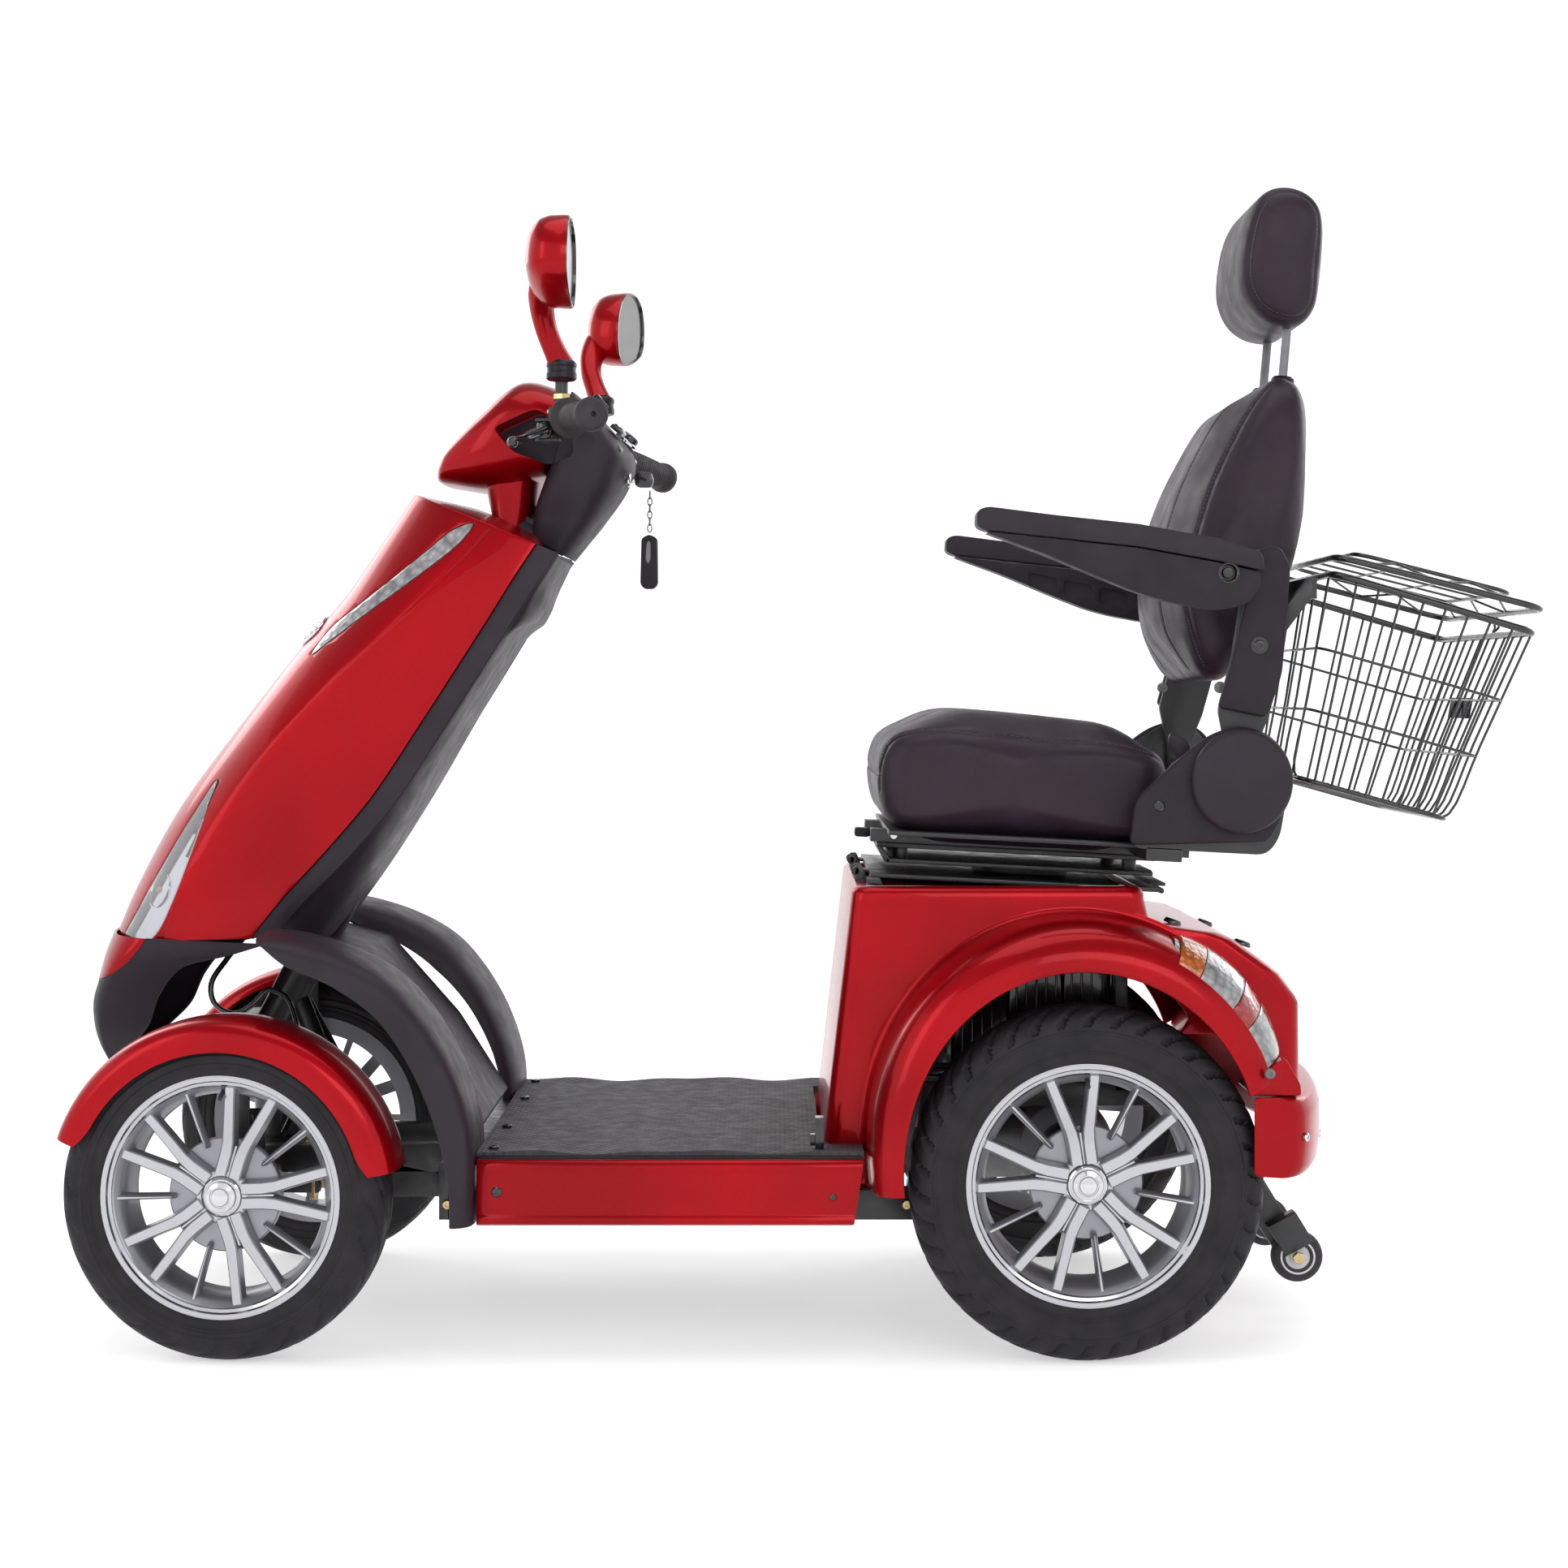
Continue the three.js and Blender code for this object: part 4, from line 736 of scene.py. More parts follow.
def front_fender(side, sign):
    """A rounded mudguard over the front wheel, with a rolled outer lip."""
    def section(degrees):
        rise = min(1.0, min(degrees - 17, 173 - degrees) / 12)
        hem = 168 + 14 * (1 - rise) ** 2
        outline = [(190, 247), (198, 250), (203.5, 259), (206, 276), (206.5, 300), (205, 322), (200, 336),
                   (193, 342), (186, 344.5), (hem, 345.5)]
        return [(p.x, sign * p.y) for p in spline([(r, y, 0) for r, y in outline], 3)]
    rings = arch_sweep(section, (AXLE_X["front"], TYRE_R["front"]), 19, 171, 64)
    obj = raw_object(f"front_fender_{side}_skin", loft(rings, closed_ring=False), KNUCKLE[sign])
    thicken(obj, 3.0, 1.0 if sign > 0 else -1.0)
    dress(obj, RED, f"knuckle_{side}", [f"front_fender_{side}"])
    x, z = AXLE_X["front"], TYRE_R["front"]
    kingpin = [(0, 0), (15, 0), (15, 8), (12, 10), (12, 40), (15, 42), (15, 112), (0, 112)]
    stay = [(x - 12, z), (x + 12, z), (x + 9, z + 196), (x - 9, z + 196)]
    track_arm = filleted([(x, z - 12), (x + 90, z - 12), (x + 90, z + 2), (x, z + 8)], 4)
    hub = both(turned_body(kingpin, (x, sign * KINGPIN_Y, z - 41), (0, 0, 1), 28),
               rod((x, sign * 225, z), (x, sign * 249, z), 25, 28, 2),
               rod((x, sign * 225, z), (x, sign * 325, z), 7.6, 20, 1),
               prism(stay, sign * 241.5, sign * 245.5),
               block(x - 14, x + 14, sign * 241.5, sign * 252, z + 196, z + 199),
               prism(track_arm, sign * 216, sign * 226))
    make(f"knuckle_{side}_forging", hub, STEEL, f"knuckle_{side}", KNUCKLE[sign],
         [f"knuckle_{side}"], edge=0.8)
    heads = [screw((x, sign * 246, z + rise), (0, sign, 0), 5, 3) for rise in (40, 186)]
    link_pin = rod((x + 82, sign * 221, z - 20), (x + 82, sign * 221, z + 12), 6, 6, 1)
    bolts = both(*heads, link_pin)
    make(f"knuckle_{side}_bolts", bolts, BRASS, f"knuckle_{side}", KNUCKLE[sign])


# ------------------------------------------------------------------ front cowl
# Stations from the lamps up: hood front point, panel rear edge, half width, and the crease's share of
# the depth.
COWL = [
    ((-873, 466), (-677, 474), 165, 0.45),
    ((-841, 537), (-638, 521), 172, 0.37),
    ((-790, 629), (-590, 573), 175, 0.325),
    ((-718, 727), (-530, 644), 172, 0.31),
    ((-650, 815), (-464, 745), 165, 0.387),
    ((-588, 888), (-405, 838), 156, 0.497),
    ((-542, 955), (-362, 908), 148, 0.62),
    ((-500, 1018), (-335, 950), 140, 0.68)]
CREASE_WIDE = 0.91                      # half width at the crease, as a part of the panel's


def smooth_rows(rows, per_span):
    """Rows of numbers drawn out smoothly, per_span to each gap."""
    flat = [[n for part in row for n in (part if isinstance(part, tuple) else (part,))] for row in rows]
    columns = []
    for k in range(len(flat[0])):
        line = spline([(i * 100.0, row[k], 0) for i, row in enumerate(flat)], per_span)
        columns.append([p.y for p in line])
    return list(zip(*columns))


ROWS_PER_STATION = 10
COWL_FINE = smooth_rows(COWL, ROWS_PER_STATION)
HOOD_WRAP = math.radians(64)            # how far round the nose the hood's section turns on each side


def row_depth(row):
    """The length of a station from its front point to its rear edge."""
    return math.hypot(row[2] - row[0], row[3] - row[1])


def cowl_point(row, share, y):
    """A point of a station: share runs from its front point to its rear edge."""
    fx, fz, rx, rz = row[:4]
    return Vector((fx + (rx - fx) * share, y, fz + (rz - fz) * share))


def hood_ring(row, count=28, out=0.0):
    """The hood from its left crease over the nose to its right crease."""
    half, crease = row[4], row[5]
    depth = row_depth(row)
    ring = []
    for i in range(count + 1):
        angle = HOOD_WRAP * (2 * i / count - 1)
        share = crease * (1 - math.cos(angle)) / (1 - math.cos(HOOD_WRAP)) - out * math.cos(angle) / depth
        y = (half * CREASE_WIDE + out) * math.sin(angle) / math.sin(HOOD_WRAP)
        ring.append(cowl_point(row, share, y))
    return ring


def panel_ring(row, sign, count=10, gap=1.2):
    """The side panel from the crease to its rear edge, slightly crowned."""
    half = row[4]
    start = row[5] + gap / row_depth(row)
    step_out = CREASE_WIDE + 0.012
    ring = []
    for i in range(count + 1):
        p = i / count
        wide = step_out + (1 - step_out) * (1 - (1 - p) ** 2)
        ring.append(cowl_point(row, start + (1 - start) * p, sign * half * wide))
    return ring


LAMP_OUTLINE = [(-724, 664), (-751, 625), (-788, 565), (-830, 496), (-846, 470), (-852, 440), (-826, 458),
                (-797, 477), (-775, 516), (-752, 575), (-734, 630)]
STRIP_OUTLINE = [(-414, 976), (-438, 969), (-470, 944), (-513, 910), (-555, 878), (-592, 849), (-614, 817),
                 (-590, 834), (-556, 859), (-515, 888), (-470, 921), (-430, 953)]


def grown(outline, by):
    """A closed outline moved outwards."""
    centre = sum((Vector(p) for p in outline), Vector((0, 0))) / len(outline)
    made = []
    count = len(outline)
    for i in range(count):
        before, here, after = Vector(outline[i - 1]), Vector(outline[i]), Vector(outline[(i + 1) % count])
        side = Vector((after.y - before.y, before.x - after.x)).normalized()
        if side.dot(here - centre) < 0:
            side = -side
        made.append(tuple(here + side * by))
    return made


def smooth_outline(outline, per_span=5):
    """A closed outline with its corners drawn out smoothly."""
    return [(p.x, p.y) for p in spline([(x, z, 0) for x, z in outline], per_span, closed=True)]


def front_cowl():
    """The hood, both side panels, the headlamps and the marker strips."""
    hood_rows = [hood_ring(row) for row in COWL_FINE]
    hood = raw_object("hood", loft(hood_rows, closed_ring=False))
    thicken(hood, 3.2)
    lamp, strip = smooth_outline(LAMP_OUTLINE), smooth_outline(STRIP_OUTLINE, 4)
    cut(hood, *[prism(grown(shape, 1.2), sign * 20, sign * 260) for _, sign in SIDES
                for shape in (lamp, strip)])
    round_edges(hood, 0.7, 2, 50)
    dress(hood, RED, "chassis", ["front_cowl"], 40)
    for side, sign in SIDES:
        panel = raw_object(f"cowl_panel_{side}", loft([panel_ring(row, sign) for row in COWL_FINE],
                                                      closed_ring=False))
        thicken(panel, 3.2, -1.0 if sign > 0 else 1.0)
        round_edges(panel, 1.0, 3, 50)
        dress(panel, RED, "chassis")
        for name, outline, deep, material, slot in (
                ("headlamp_lens", lamp, 0.6, CLEAR, "clear_lens"),
                ("headlamp_bowl", grown(lamp, 6), -9, CHROME, "chrome"),
                ("marker_lens", strip, 0.4, WHITE_LENS, "clear_lens"),
                ("marker_back", grown(strip, 3), -5, CHROME, "chrome")):
            rows = [hood_ring(row, 36, deep) for row in COWL_FINE]
            rows = [hood_ring(extended_row(t), 36, deep) for t in (0.7, 0.35)] + rows
            shell = raw_object(f"{name}_{side}", loft(rows, closed_ring=False))
            thicken(shell, 2.4)
            cut(shell, prism(outline, sign * 20, sign * 260), keep=True)
            replaced = [f"headlamp_{side}"] if name == "headlamp_lens" else []
            dress(shell, material, "chassis", replaced, 50)
        bowls, bulbs = [], []
        for x, z, r in ((-790, 526, 21), (-755, 586, 16)):
            centre, ahead = (x, sign * 112, z), (-0.72, sign * 0.62, 0.3)
            bowl = [(0, -6), (r * 0.5, -4), (r * 0.85, 2), (r, 10), (r + 1.5, 10), (r + 1.5, -8), (0, -8)]
            bowls.append(turned_body(bowl, centre, ahead, 28))
            bulb = [(0, 12), (4, 10.5), (6, 6), (6, 0), (3, -5), (0, -5)]
            bulbs.append(turned_body(bulb, centre, ahead, 16))
        make(f"headlamp_reflectors_{side}", both(*bowls), CHROME, "chassis")
        make(f"headlamp_bulbs_{side}", both(*bulbs), AMBER_LENS, "chassis")
    cowl_top()
    grille()


def extended_row(t):
    """A hood row below the first station."""
    first = list(COWL_FINE[0])
    first[0] -= 14 * t
    first[1] -= 54 * t
    first[2] -= 60 * t
    first[3] -= 30 * t
    return first


def cowl_top():
    """The cowl's top plate, dished round the steering column."""
    row = COWL_FINE[-1]
    outline = hood_ring(row) + panel_ring(row, 1)[1:] + panel_ring(row, -1)[:0:-1]
    centre = steer_at(975)
    axis = Vector(STEER_AXIS)
    inner, middle, sunk = [], [], []
    for p in outline:
        away = (p - centre) - axis * (p - centre).dot(axis)
        inner.append(centre + away.normalized() * 44 - axis * 8)
        middle.append(p.lerp(centre + away.normalized() * 56, 0.75) - axis * 5)
        sunk.append(p.lerp(centre, 0.05) + axis * 0.5)
    skin = loft([outline, sunk, middle, inner], closed_ring=True, caps=False)
    plate = raw_object("cowl_top_plate", skin)
    thicken(plate, 2.5, 0)
    dress(plate, RED, "chassis", sharp=45)
    boot = turned_body([(30, -14), (44, -14), (46, -10), (43, -2), (36, 3), (35, 9), (29, 9),
                        (30, -14)], centre, axis, 40)
    make("column_boot", boot, RUBBER, "chassis")


GRILLE = {"row": 4.42, "rows": 0.25, "half": 52, "rise": 8}


def hood_point(t, y, out):
    """A point on the hood at station t, a distance across and a height off its skin."""
    last = len(COWL_FINE) - 1
    row = COWL_FINE[min(last, int(round(t * ROWS_PER_STATION)))]
    half = row[4] * CREASE_WIDE + out
    angle = math.asin(max(-1.0, min(1.0, y * math.sin(HOOD_WRAP) / half)))
    turn = math.cos(angle)
    share = row[5] * (1 - turn) / (1 - math.cos(HOOD_WRAP)) - out * turn / row_depth(row)
    low = int(math.floor(t * ROWS_PER_STATION))
    first, second = COWL_FINE[low], COWL_FINE[min(last, low + 1)]
    between = [a + (b - a) * (t * ROWS_PER_STATION - low) for a, b in zip(first, second)]
    return cowl_point(between, share, y)


def grille_point(across, along, lift):
    """A point on the grille's crown: across and along run from -1 to 1."""
    crown = max(0.0, 1 - across ** 2 - along ** 2) ** 0.6
    return hood_point(GRILLE["row"] + GRILLE["rows"] * along, GRILLE["half"] * across,
                      GRILLE["rise"] * crown + lift)


def grille():
    """A crowned oval inlet with a bright frame and ribs on the hood."""
    rings = []
    crown = [(size, 0.8) for size in (0.94, 0.8, 0.6, 0.4, 0.2, 0.03)]
    for size, lift in ((1.0, -3), (1.0, 0.5), *crown):
        rings.append([grille_point(size * math.cos(a), size * math.sin(a), lift) for a in round_angles(40)])
    make("grille_base", loft(rings), GLOSS, "chassis")
    frame_line = [grille_point(math.cos(a), math.sin(a), 1.5) for a in round_angles(56)]
    ribs = [tube(frame_line, 2.4, 10, 0, closed=True)]
    for i in range(5):
        along = -0.64 + 0.32 * i
        reach = math.sqrt(1 - along ** 2)
        ribs.append(tube([grille_point(reach * (k / 8 - 1), along, 1.6) for k in range(17)], 1.5, 8, 2))
    make("grille_frame", both(*ribs), CHROME, "chassis", sharp=60)


# ------------------------------------------------------------------ leg shield
SHIELD = [(-612, 452), (-577, 497), (-535, 557), (-482, 643), (-424, 745), (-366, 842),
          (-326, 886), (-308, 933)]
STRIP_DEPTH = 27


def shield_ring(row, centre):
    """Half of the leg shield's section: flat strip, crisp edge, then the knee cover's rounded flank."""
    depth = row_depth(row)
    back = Vector(((row[2] - row[0]) / depth, (row[3] - row[1]) / depth))
    rear, half = Vector((row[2], row[3])), row[4]
    start = rear + back * 1.0
    strip = rear + back * STRIP_DEPTH
    deep = Vector(centre)

    def at(share):
        return strip.lerp(deep, share)

    side = [(start - back * 2, half - 6), (start, half - 0.6), (start + back * 6, half + 0.2),
            (strip - back * 5, half - 1.4), (strip, half - 2.2), (strip + back * 1.2, half - 4),
            (strip - back * 3, half - 8), (strip - back * 2, half - 14)]
    flank = [(at(0.10), half - 21), (at(0.32), half * 0.83), (at(0.60), half * 0.74), (at(0.84), half * 0.62),
             (at(0.96), half * 0.44), (at(1.0), half * 0.22), (at(1.01), 0)]
    return [Vector((p.x, y, p.y)) for p, y in side] + [Vector((q.x, q.y, q.z)) for q in
                                                      spline([(p.x, y, p.y) for p, y in flank], 3)]


def leg_shield():
    """The black shield behind the cowl, its top, the footwell wall and the chin."""
    centres = spline([(x, z, 0) for x, z in SHIELD[:6]], 10)
    bulge = [(-352, 853), (-341, 858), (-336, 866), (-330, 878), (-326, 890), (-322, 900), (-319, 908)]
    upper = [(-317 + 9 * i / 13, 911 + 22 * i / 13) for i in range(14)]
    line = [(c.x, c.y) for c in centres] + bulge + upper
    line = line[:len(COWL_FINE) - 1] + [SHIELD[-1]]
    rings = []
    for row, centre in zip(COWL_FINE, line):
        half = shield_ring(row, centre)
        rings.append(half + [Vector((p.x, -p.y, p.z)) for p in reversed(half[:-1])])
    shell = raw_object("leg_shield_skin", loft(rings, closed_ring=False))
    thicken(shell, 3)
    dress(shell, SHIELD_PLASTIC, "chassis", ["leg_shield"], 40)
    top = rings[-1]
    centre = steer_at(955)
    lid = loft([top, [p.lerp(centre, 0.55) for p in top]], closed_ring=False)
    obj = raw_object("leg_shield_top", lid)
    thicken(obj, 2.5, -1, even=False)
    dress(obj, SHIELD_PLASTIC, "chassis")
    wall = filleted([(-618, 458), (-560, 442), (-470, 342), (-403, 240), (-398, 246), (-462, 347),
                     (-553, 450), (-612, 466)], 6)
    make("footwell_wall", prism(wall, -169, 169), SHIELD_PLASTIC, "chassis",
         edge=2, segments=3)
    chin()


CHIN = [((-866, 476), (-658, 466), 160), ((-875, 450), (-704, 452), 159), ((-882, 418), (-762, 437), 151),
        ((-889, 390), (-792, 404), 141), ((-888, 360), (-808, 366), 128), ((-881, 336), (-828, 343), 112),
        ((-871, 316), (-846, 326), 94)]
TONGUE_OUTLINE = [(-905, 490), (-797, 490), (-804, 474), (-812, 461), (-822, 449), (-834, 438), (-848, 429),
                  (-862, 423), (-878, 420), (-905, 419)]
TONGUE_REACH = 175


def chin_rings(out=0.0):
    """Rings of the mask under the lamps, out millimetres off its skin."""
    rings = []
    for row in smooth_rows(CHIN, 6):
        half = row[4] + out
        depth = row_depth(row)
        front = []
        for i in range(41):
            angle = math.radians(90) * (i / 20 - 1)
            wide = half * (abs(math.sin(angle)) ** 0.82) * math.copysign(1, angle)
            front.append(cowl_point(row, 0.30 * (1 - math.cos(angle)) - out / depth, wide))
        right = [cowl_point(row, share, half) for share in (0.5, 0.7, 0.86, 0.97, 1.0)]
        right += [cowl_point(row, 1.0, half - 6), cowl_point(row, 0.97, half - 9)]
        rings.append([Vector((p.x, -p.y, p.z)) for p in reversed(right)] + front + right)
    return rings


def chin():
    """The mask under the lamps, open below in front of the axle, and the red tongue that runs onto it."""
    mask = raw_object("chin_mask", loft(chin_rings(), closed_ring=False))
    thicken(mask, 3)
    cut(mask, prism(TONGUE_OUTLINE, -TONGUE_REACH, TONGUE_REACH))
    dress(mask, SHIELD_PLASTIC, "chassis", sharp=50)
    tongue = raw_object("hood_tongue", loft(chin_rings(0.8), closed_ring=False))
    thicken(tongue, 3)
    cut(tongue, prism(TONGUE_OUTLINE, -TONGUE_REACH, TONGUE_REACH), keep=True)
    dress(tongue, RED, "chassis", sharp=50)


# ------------------------------------------------------------------ front arches, sills and mat
ARCH_OUT = [(-640, 490), (-600, 486), (-532, 464), (-482, 434), (-446, 393), (-418, 346), (-400, 300),
            (-391, 258), (-391, 158)]
ARCH_IN = [(-632, 480), (-606, 458), (-552, 434), (-500, 396), (-462, 340), (-438, 285), (-424, 235),
           (-418, 200), (-417, 158)]


def inner_arch(side, sign):
    """The black moulded arch behind a front wheel: crowned top, rolled edge and outer face."""
    outer = spline([(x, z, 0) for x, z in ARCH_OUT], 8)
    inner = spline([(x, z, 0) for x, z in ARCH_IN], 8)
    section = [(172, 34), (174, 24), (180, 14), (192, 5), (210, 1), (240, -1), (280, -1), (310, 0), (326, 2),
               (336, 6), (342, 12), (345, 20)]
    rings = []
    for i, (a, b) in enumerate(zip(outer, inner)):
        toward = (b - a)
        height = toward.length
        unit = toward.normalized()
        tip = min(1.0, i / 9)
        ring = []
        for y, drop in section:
            d = min(drop * (0.4 + 0.6 * tip), height * 0.8)
            p = a + unit * d
            ring.append(Vector((p.x, sign * y, p.y)))
        for y, share in ((345.5, 0.82), (344.5, 0.97), (341, 1.0), (338, 0.96)):
            p = a + unit * height * share
            ring.append(Vector((p.x, sign * y, p.y)))
        rings.append(ring)
    obj = raw_object(f"inner_arch_{side}", loft(rings, closed_ring=False))
    thicken(obj, 3.0, 1.0 if sign > 0 else -1.0)
    dress(obj, SHIELD_PLASTIC, "chassis", [f"inner_fender_{side}"], 50)


def sill(side, sign):
    """The red side skirt with a rolled top, a waist line and a bottom flange."""
    section = [(309, 232), (316, 232.5), (320.5, 230), (322.5, 224), (323, 210), (321.5, 192), (320, 172),
               (320.5, 168), (323, 165.5), (323, 159), (319, 157), (310, 157), (309, 165)]
    rings = []
    for x0, cut_back in ((-388, 0), (-386, 1), (-200, 1), (0, 1), (42, 1), (46, 0)):
        ring = []
        for y, z in section:
            lean = (z - 157) * 0.16 if x0 > 0 else 0
            inset = 0 if cut_back else 1.5
            ring.append(Vector((x0 + lean, sign * (y - inset), z)))
        rings.append(ring)
    make(f"sill_{side}_skirt", loft(rings), RED, "chassis", replaces=[f"sill_{side}"], sharp=50)
    screws = both(screw((-365, sign * 321, 196), (0, sign, 0), 6, 3),
                  screw((22, sign * 321, 190), (0, sign, 0), 4, 2))
    make(f"sill_{side}_screws", screws, GLOSS, "chassis")


def floor_mat():
    """A ribbed rubber mat that lies slightly wavy along its edges."""
    top, bottom = [], []
    x_steps, y_steps = 60, 48
    for i in range(x_steps + 1):
        x = -389 + (58 + 389) * i / x_steps
        for j in range(y_steps + 1):
            y = -306 + 612 * j / y_steps
            edge = max(0.0, (abs(y) - 246) / 60) ** 2
            wave = edge * (1.6 * math.sin(x / 31) + 1.2 * math.sin(x / 17 + 1.3)) + edge * 1.0
            centre = 0.5 * math.sin(x / 60) * math.cos(y / 80)
            top.append(Vector((x, y, 238.6 + wave + centre)))
            bottom.append(Vector((x, y, 231 + max(wave, 0) * 0.5)))
    verts = top + bottom
    width = y_steps + 1
    base = len(top)
    faces = []

    def inside(i, j):
        x = -389 + (58 + 389) * (i + 0.5) / x_steps
        y = -306 + 612 * (j + 0.5) / y_steps
        return x < 9 or abs(y) > 247

    cells = {(i, j) for i in range(x_steps) for j in range(y_steps) if inside(i, j)}
    for i, j in cells:
        a, b, c, d = i * width + j, i * width + j + 1, (i + 1) * width + j + 1, (i + 1) * width + j
        faces.append([a, b, c, d])
        faces.append([base + a, base + d, base + c, base + b])
        for (p, q), other in (((a, b), (i - 1, j)), ((b, c), (i, j + 1)),
                              ((c, d), (i + 1, j)), ((d, a), (i, j - 1))):
            if other not in cells:
                faces.append([p, base + p, base + q, q])
    obj = raw_object("ribbed_mat", (verts, faces))
    dress(obj, MAT, "chassis", ["floor_mat"], 50)
    make("mat_screws", both(*[screw((-372, y, 240), (0, 0, 1), 6, 2.4) for y in (-280, -120, 120, 280)]),
         GLOSS, "chassis")
    latch = both(block(2, 12, -290, -268, 240, 276), rod((7, -286, 250), (7, -272, 250), 5, 16, 1),
                 rod((7, -286, 268), (7, -272, 268), 4, 16, 1), block(-4, 4, -284, -274, 243, 256))
    make("deck_latch", latch, GLOSS, "chassis", edge=1)
    edges = both(*[block(-388, 54, sign * 300, sign * 311.5, 224, 235) for _, sign in SIDES])
    make("deck_edges", edges, PLASTIC, "chassis", edge=1)


# ------------------------------------------------------------------ rear body
ARCH_CENTRE = (308, 205)
ARCH_R = 240
BODY_Y = 243


def flare_radius(degrees):
    """The wheel flare's outer edge, measured from the wheel's centre."""
    return 246 + 60 * math.sin(math.radians(max(0, min(180, degrees)))) ** 1.4


def opening_radius(degrees):
    """The wheel opening's edge, measured from the wheel's centre."""
    return 206 + 40 * math.sin(math.radians(max(0, min(180, degrees)))) ** 1.8


def body_plan(front, rear, half, corner, z, steps=8):
    """A rounded rectangle at one height, from the front's middle round to the front's middle."""
    corners = [(rear - corner, half - corner, 0), (front + corner, half - corner, 90),
               (front + corner, corner - half, 180), (rear - corner, corner - half, 270)]
    ring = []
    for cx, cy, start in corners:
        for i in range(steps + 1):
            a = math.radians(start + 90 * i / steps)
            ring.append(Vector((cx + corner * math.cos(a), cy + corner * math.sin(a), z)))
    return ring


def rear_body():
    """The seat box cover, the wheel flares with their liners, and the rear fittings."""
    levels = [(186, 52, 575), (215, 48, 575), (238, 12, 575), (300, 19, 575), (404, 31, 574), (412, 32, 570),
              (438, 35, 551), (446, 36, 541), (478, 39.5, 497), (486, 40.5, 478), (497, 41.7, 405),
              (501, 42.2, 398), (524, 44.7, 392), (533, 45.8, 391), (538, 47.5, 388.5), (541, 52, 383)]
    rings = []
    for z, front, rear in levels:
        inset = 7 if z > 540 else 3 if z > 537 else 0
        rings.append(body_plan(front, rear, BODY_Y - inset, 20, z))
    rings.append(body_plan(66, 368, BODY_Y - 24, 14, 541))
    shell = raw_object("rear_body_shell", loft(rings, caps=False))
    thicken(shell, 3)
    wheel_hole = [(ARCH_CENTRE[0] - ARCH_R * math.cos(a), ARCH_CENTRE[1] + ARCH_R * math.sin(a))
                  for a in round_angles(72)]
    cut(shell, *[prism(wheel_hole, sign * 190, sign * 260) for _, sign in SIDES],
        block(-20, 44, -236, 236, 150, 240), block(500, 640, -260, 260, 150, 308),
        block(44, 520, -228, 228, 150, 236), block(60, 100, -236, 236, 150, 239))
    round_edges(shell, 0.8, 2, 50)
    dress(shell, RED, "chassis", ["rear_body"], 42)
    for side, sign in SIDES:
        def section(degrees):
            outer, inner = flare_radius(degrees), opening_radius(degrees)
            end = max(0.0, 1 - min(degrees + 3, 151 - degrees) / 9) ** 2
            depth = outer - inner
            outline = [(outer + 10, 242.6), (outer + 4.5, 243.6), (outer + 1, 247), (outer - 0.5, 254),
                       (outer - 1.5, 275), (outer - 3.5, 300), (outer - 0.17 * depth, 326),
                       (outer - 0.36 * depth, 341), (outer - 0.62 * depth, 350), (inner + 8, 353.2),
                       (inner + 2.2, 354), (inner, 352), (inner + 0.5, 345)]
            return [(p.x - 1.5 * end, sign * (p.y - 2.5 * end * (p.y > 260)))
                    for p in spline([(r, y, 0) for r, y in outline], 3)]
        flare = raw_object(f"wheel_flare_{side}", loft(arch_sweep(section, ARCH_CENTRE, -3, 151, 90),
                                                       closed_ring=False))
        thicken(flare, 3, 1.0 if sign > 0 else -1.0)
        round_edges(flare, 0.8, 2, 60)
        dress(flare, RED, "chassis", sharp=48)
        liner = raw_object(f"wheel_liner_{side}", loft(arch_sweep(
            lambda degrees: [(flare_radius(degrees) - 9, sign * y) for y in (247, 262, 290, 318)],
            ARCH_CENTRE, 2, 146, 40), closed_ring=False))
        thicken(liner, 1.5, 0)
        dress(liner, PLASTIC, "chassis")
        tail_lamp(side, sign)
        corner = filleted([(500, 309), (557, 309), (556, 322), (539, 352), (527, 347), (511, 330)], 4, 3)
        quarter = raw_object(f"rear_quarter_{side}", prism(corner, sign * 238, sign * 341))
        round_edges(quarter, 4, 4, 50)
        dress(quarter, RED, "chassis")
        screws = both(screw((519, sign * 351, 336), (0, sign, 0), 6, 3),
                      screw((66, sign * 243, 205), (0, sign, 0), 4, 2))
        make(f"body_screws_{side}", screws, CAST, "chassis")
    bumps = both(*[turned_body([(0, 5), (9, 4), (11, 1), (11, -2), (0, -2)], (x, y, z), (0.35, 0, 1), 20)
                   for x, z, y in ((520, 466, -150), (520, 466, 150), (432, 494.5, -180), (432, 494.5, 180))])
    make("deck_plugs", bumps, GLOSS, "chassis")
    charger = both(block(572, 580, -34, 34, 340, 388), block(579, 583, -26, 26, 346, 382))
    make("charger_cover", charger, PLASTIC, "chassis", edge=2, segments=3)
    for name, y0, y1 in (("rear_reflector", 110, 190), ("rear_reflector_left", -190, -110)):
        make(name, block(575, 579, y0, y1, 350, 376), RED_LENS, "chassis", edge=1.5)
    hinge = both(*[rod((53, sign * y0, 553), (53, sign * y1, 553), 5.2, 20, 1) for _, sign in SIDES
                   for y0, y1 in ((90, 96), (131, 137))])
    make("lid_hinge_caps", hinge, STEEL, "chassis")


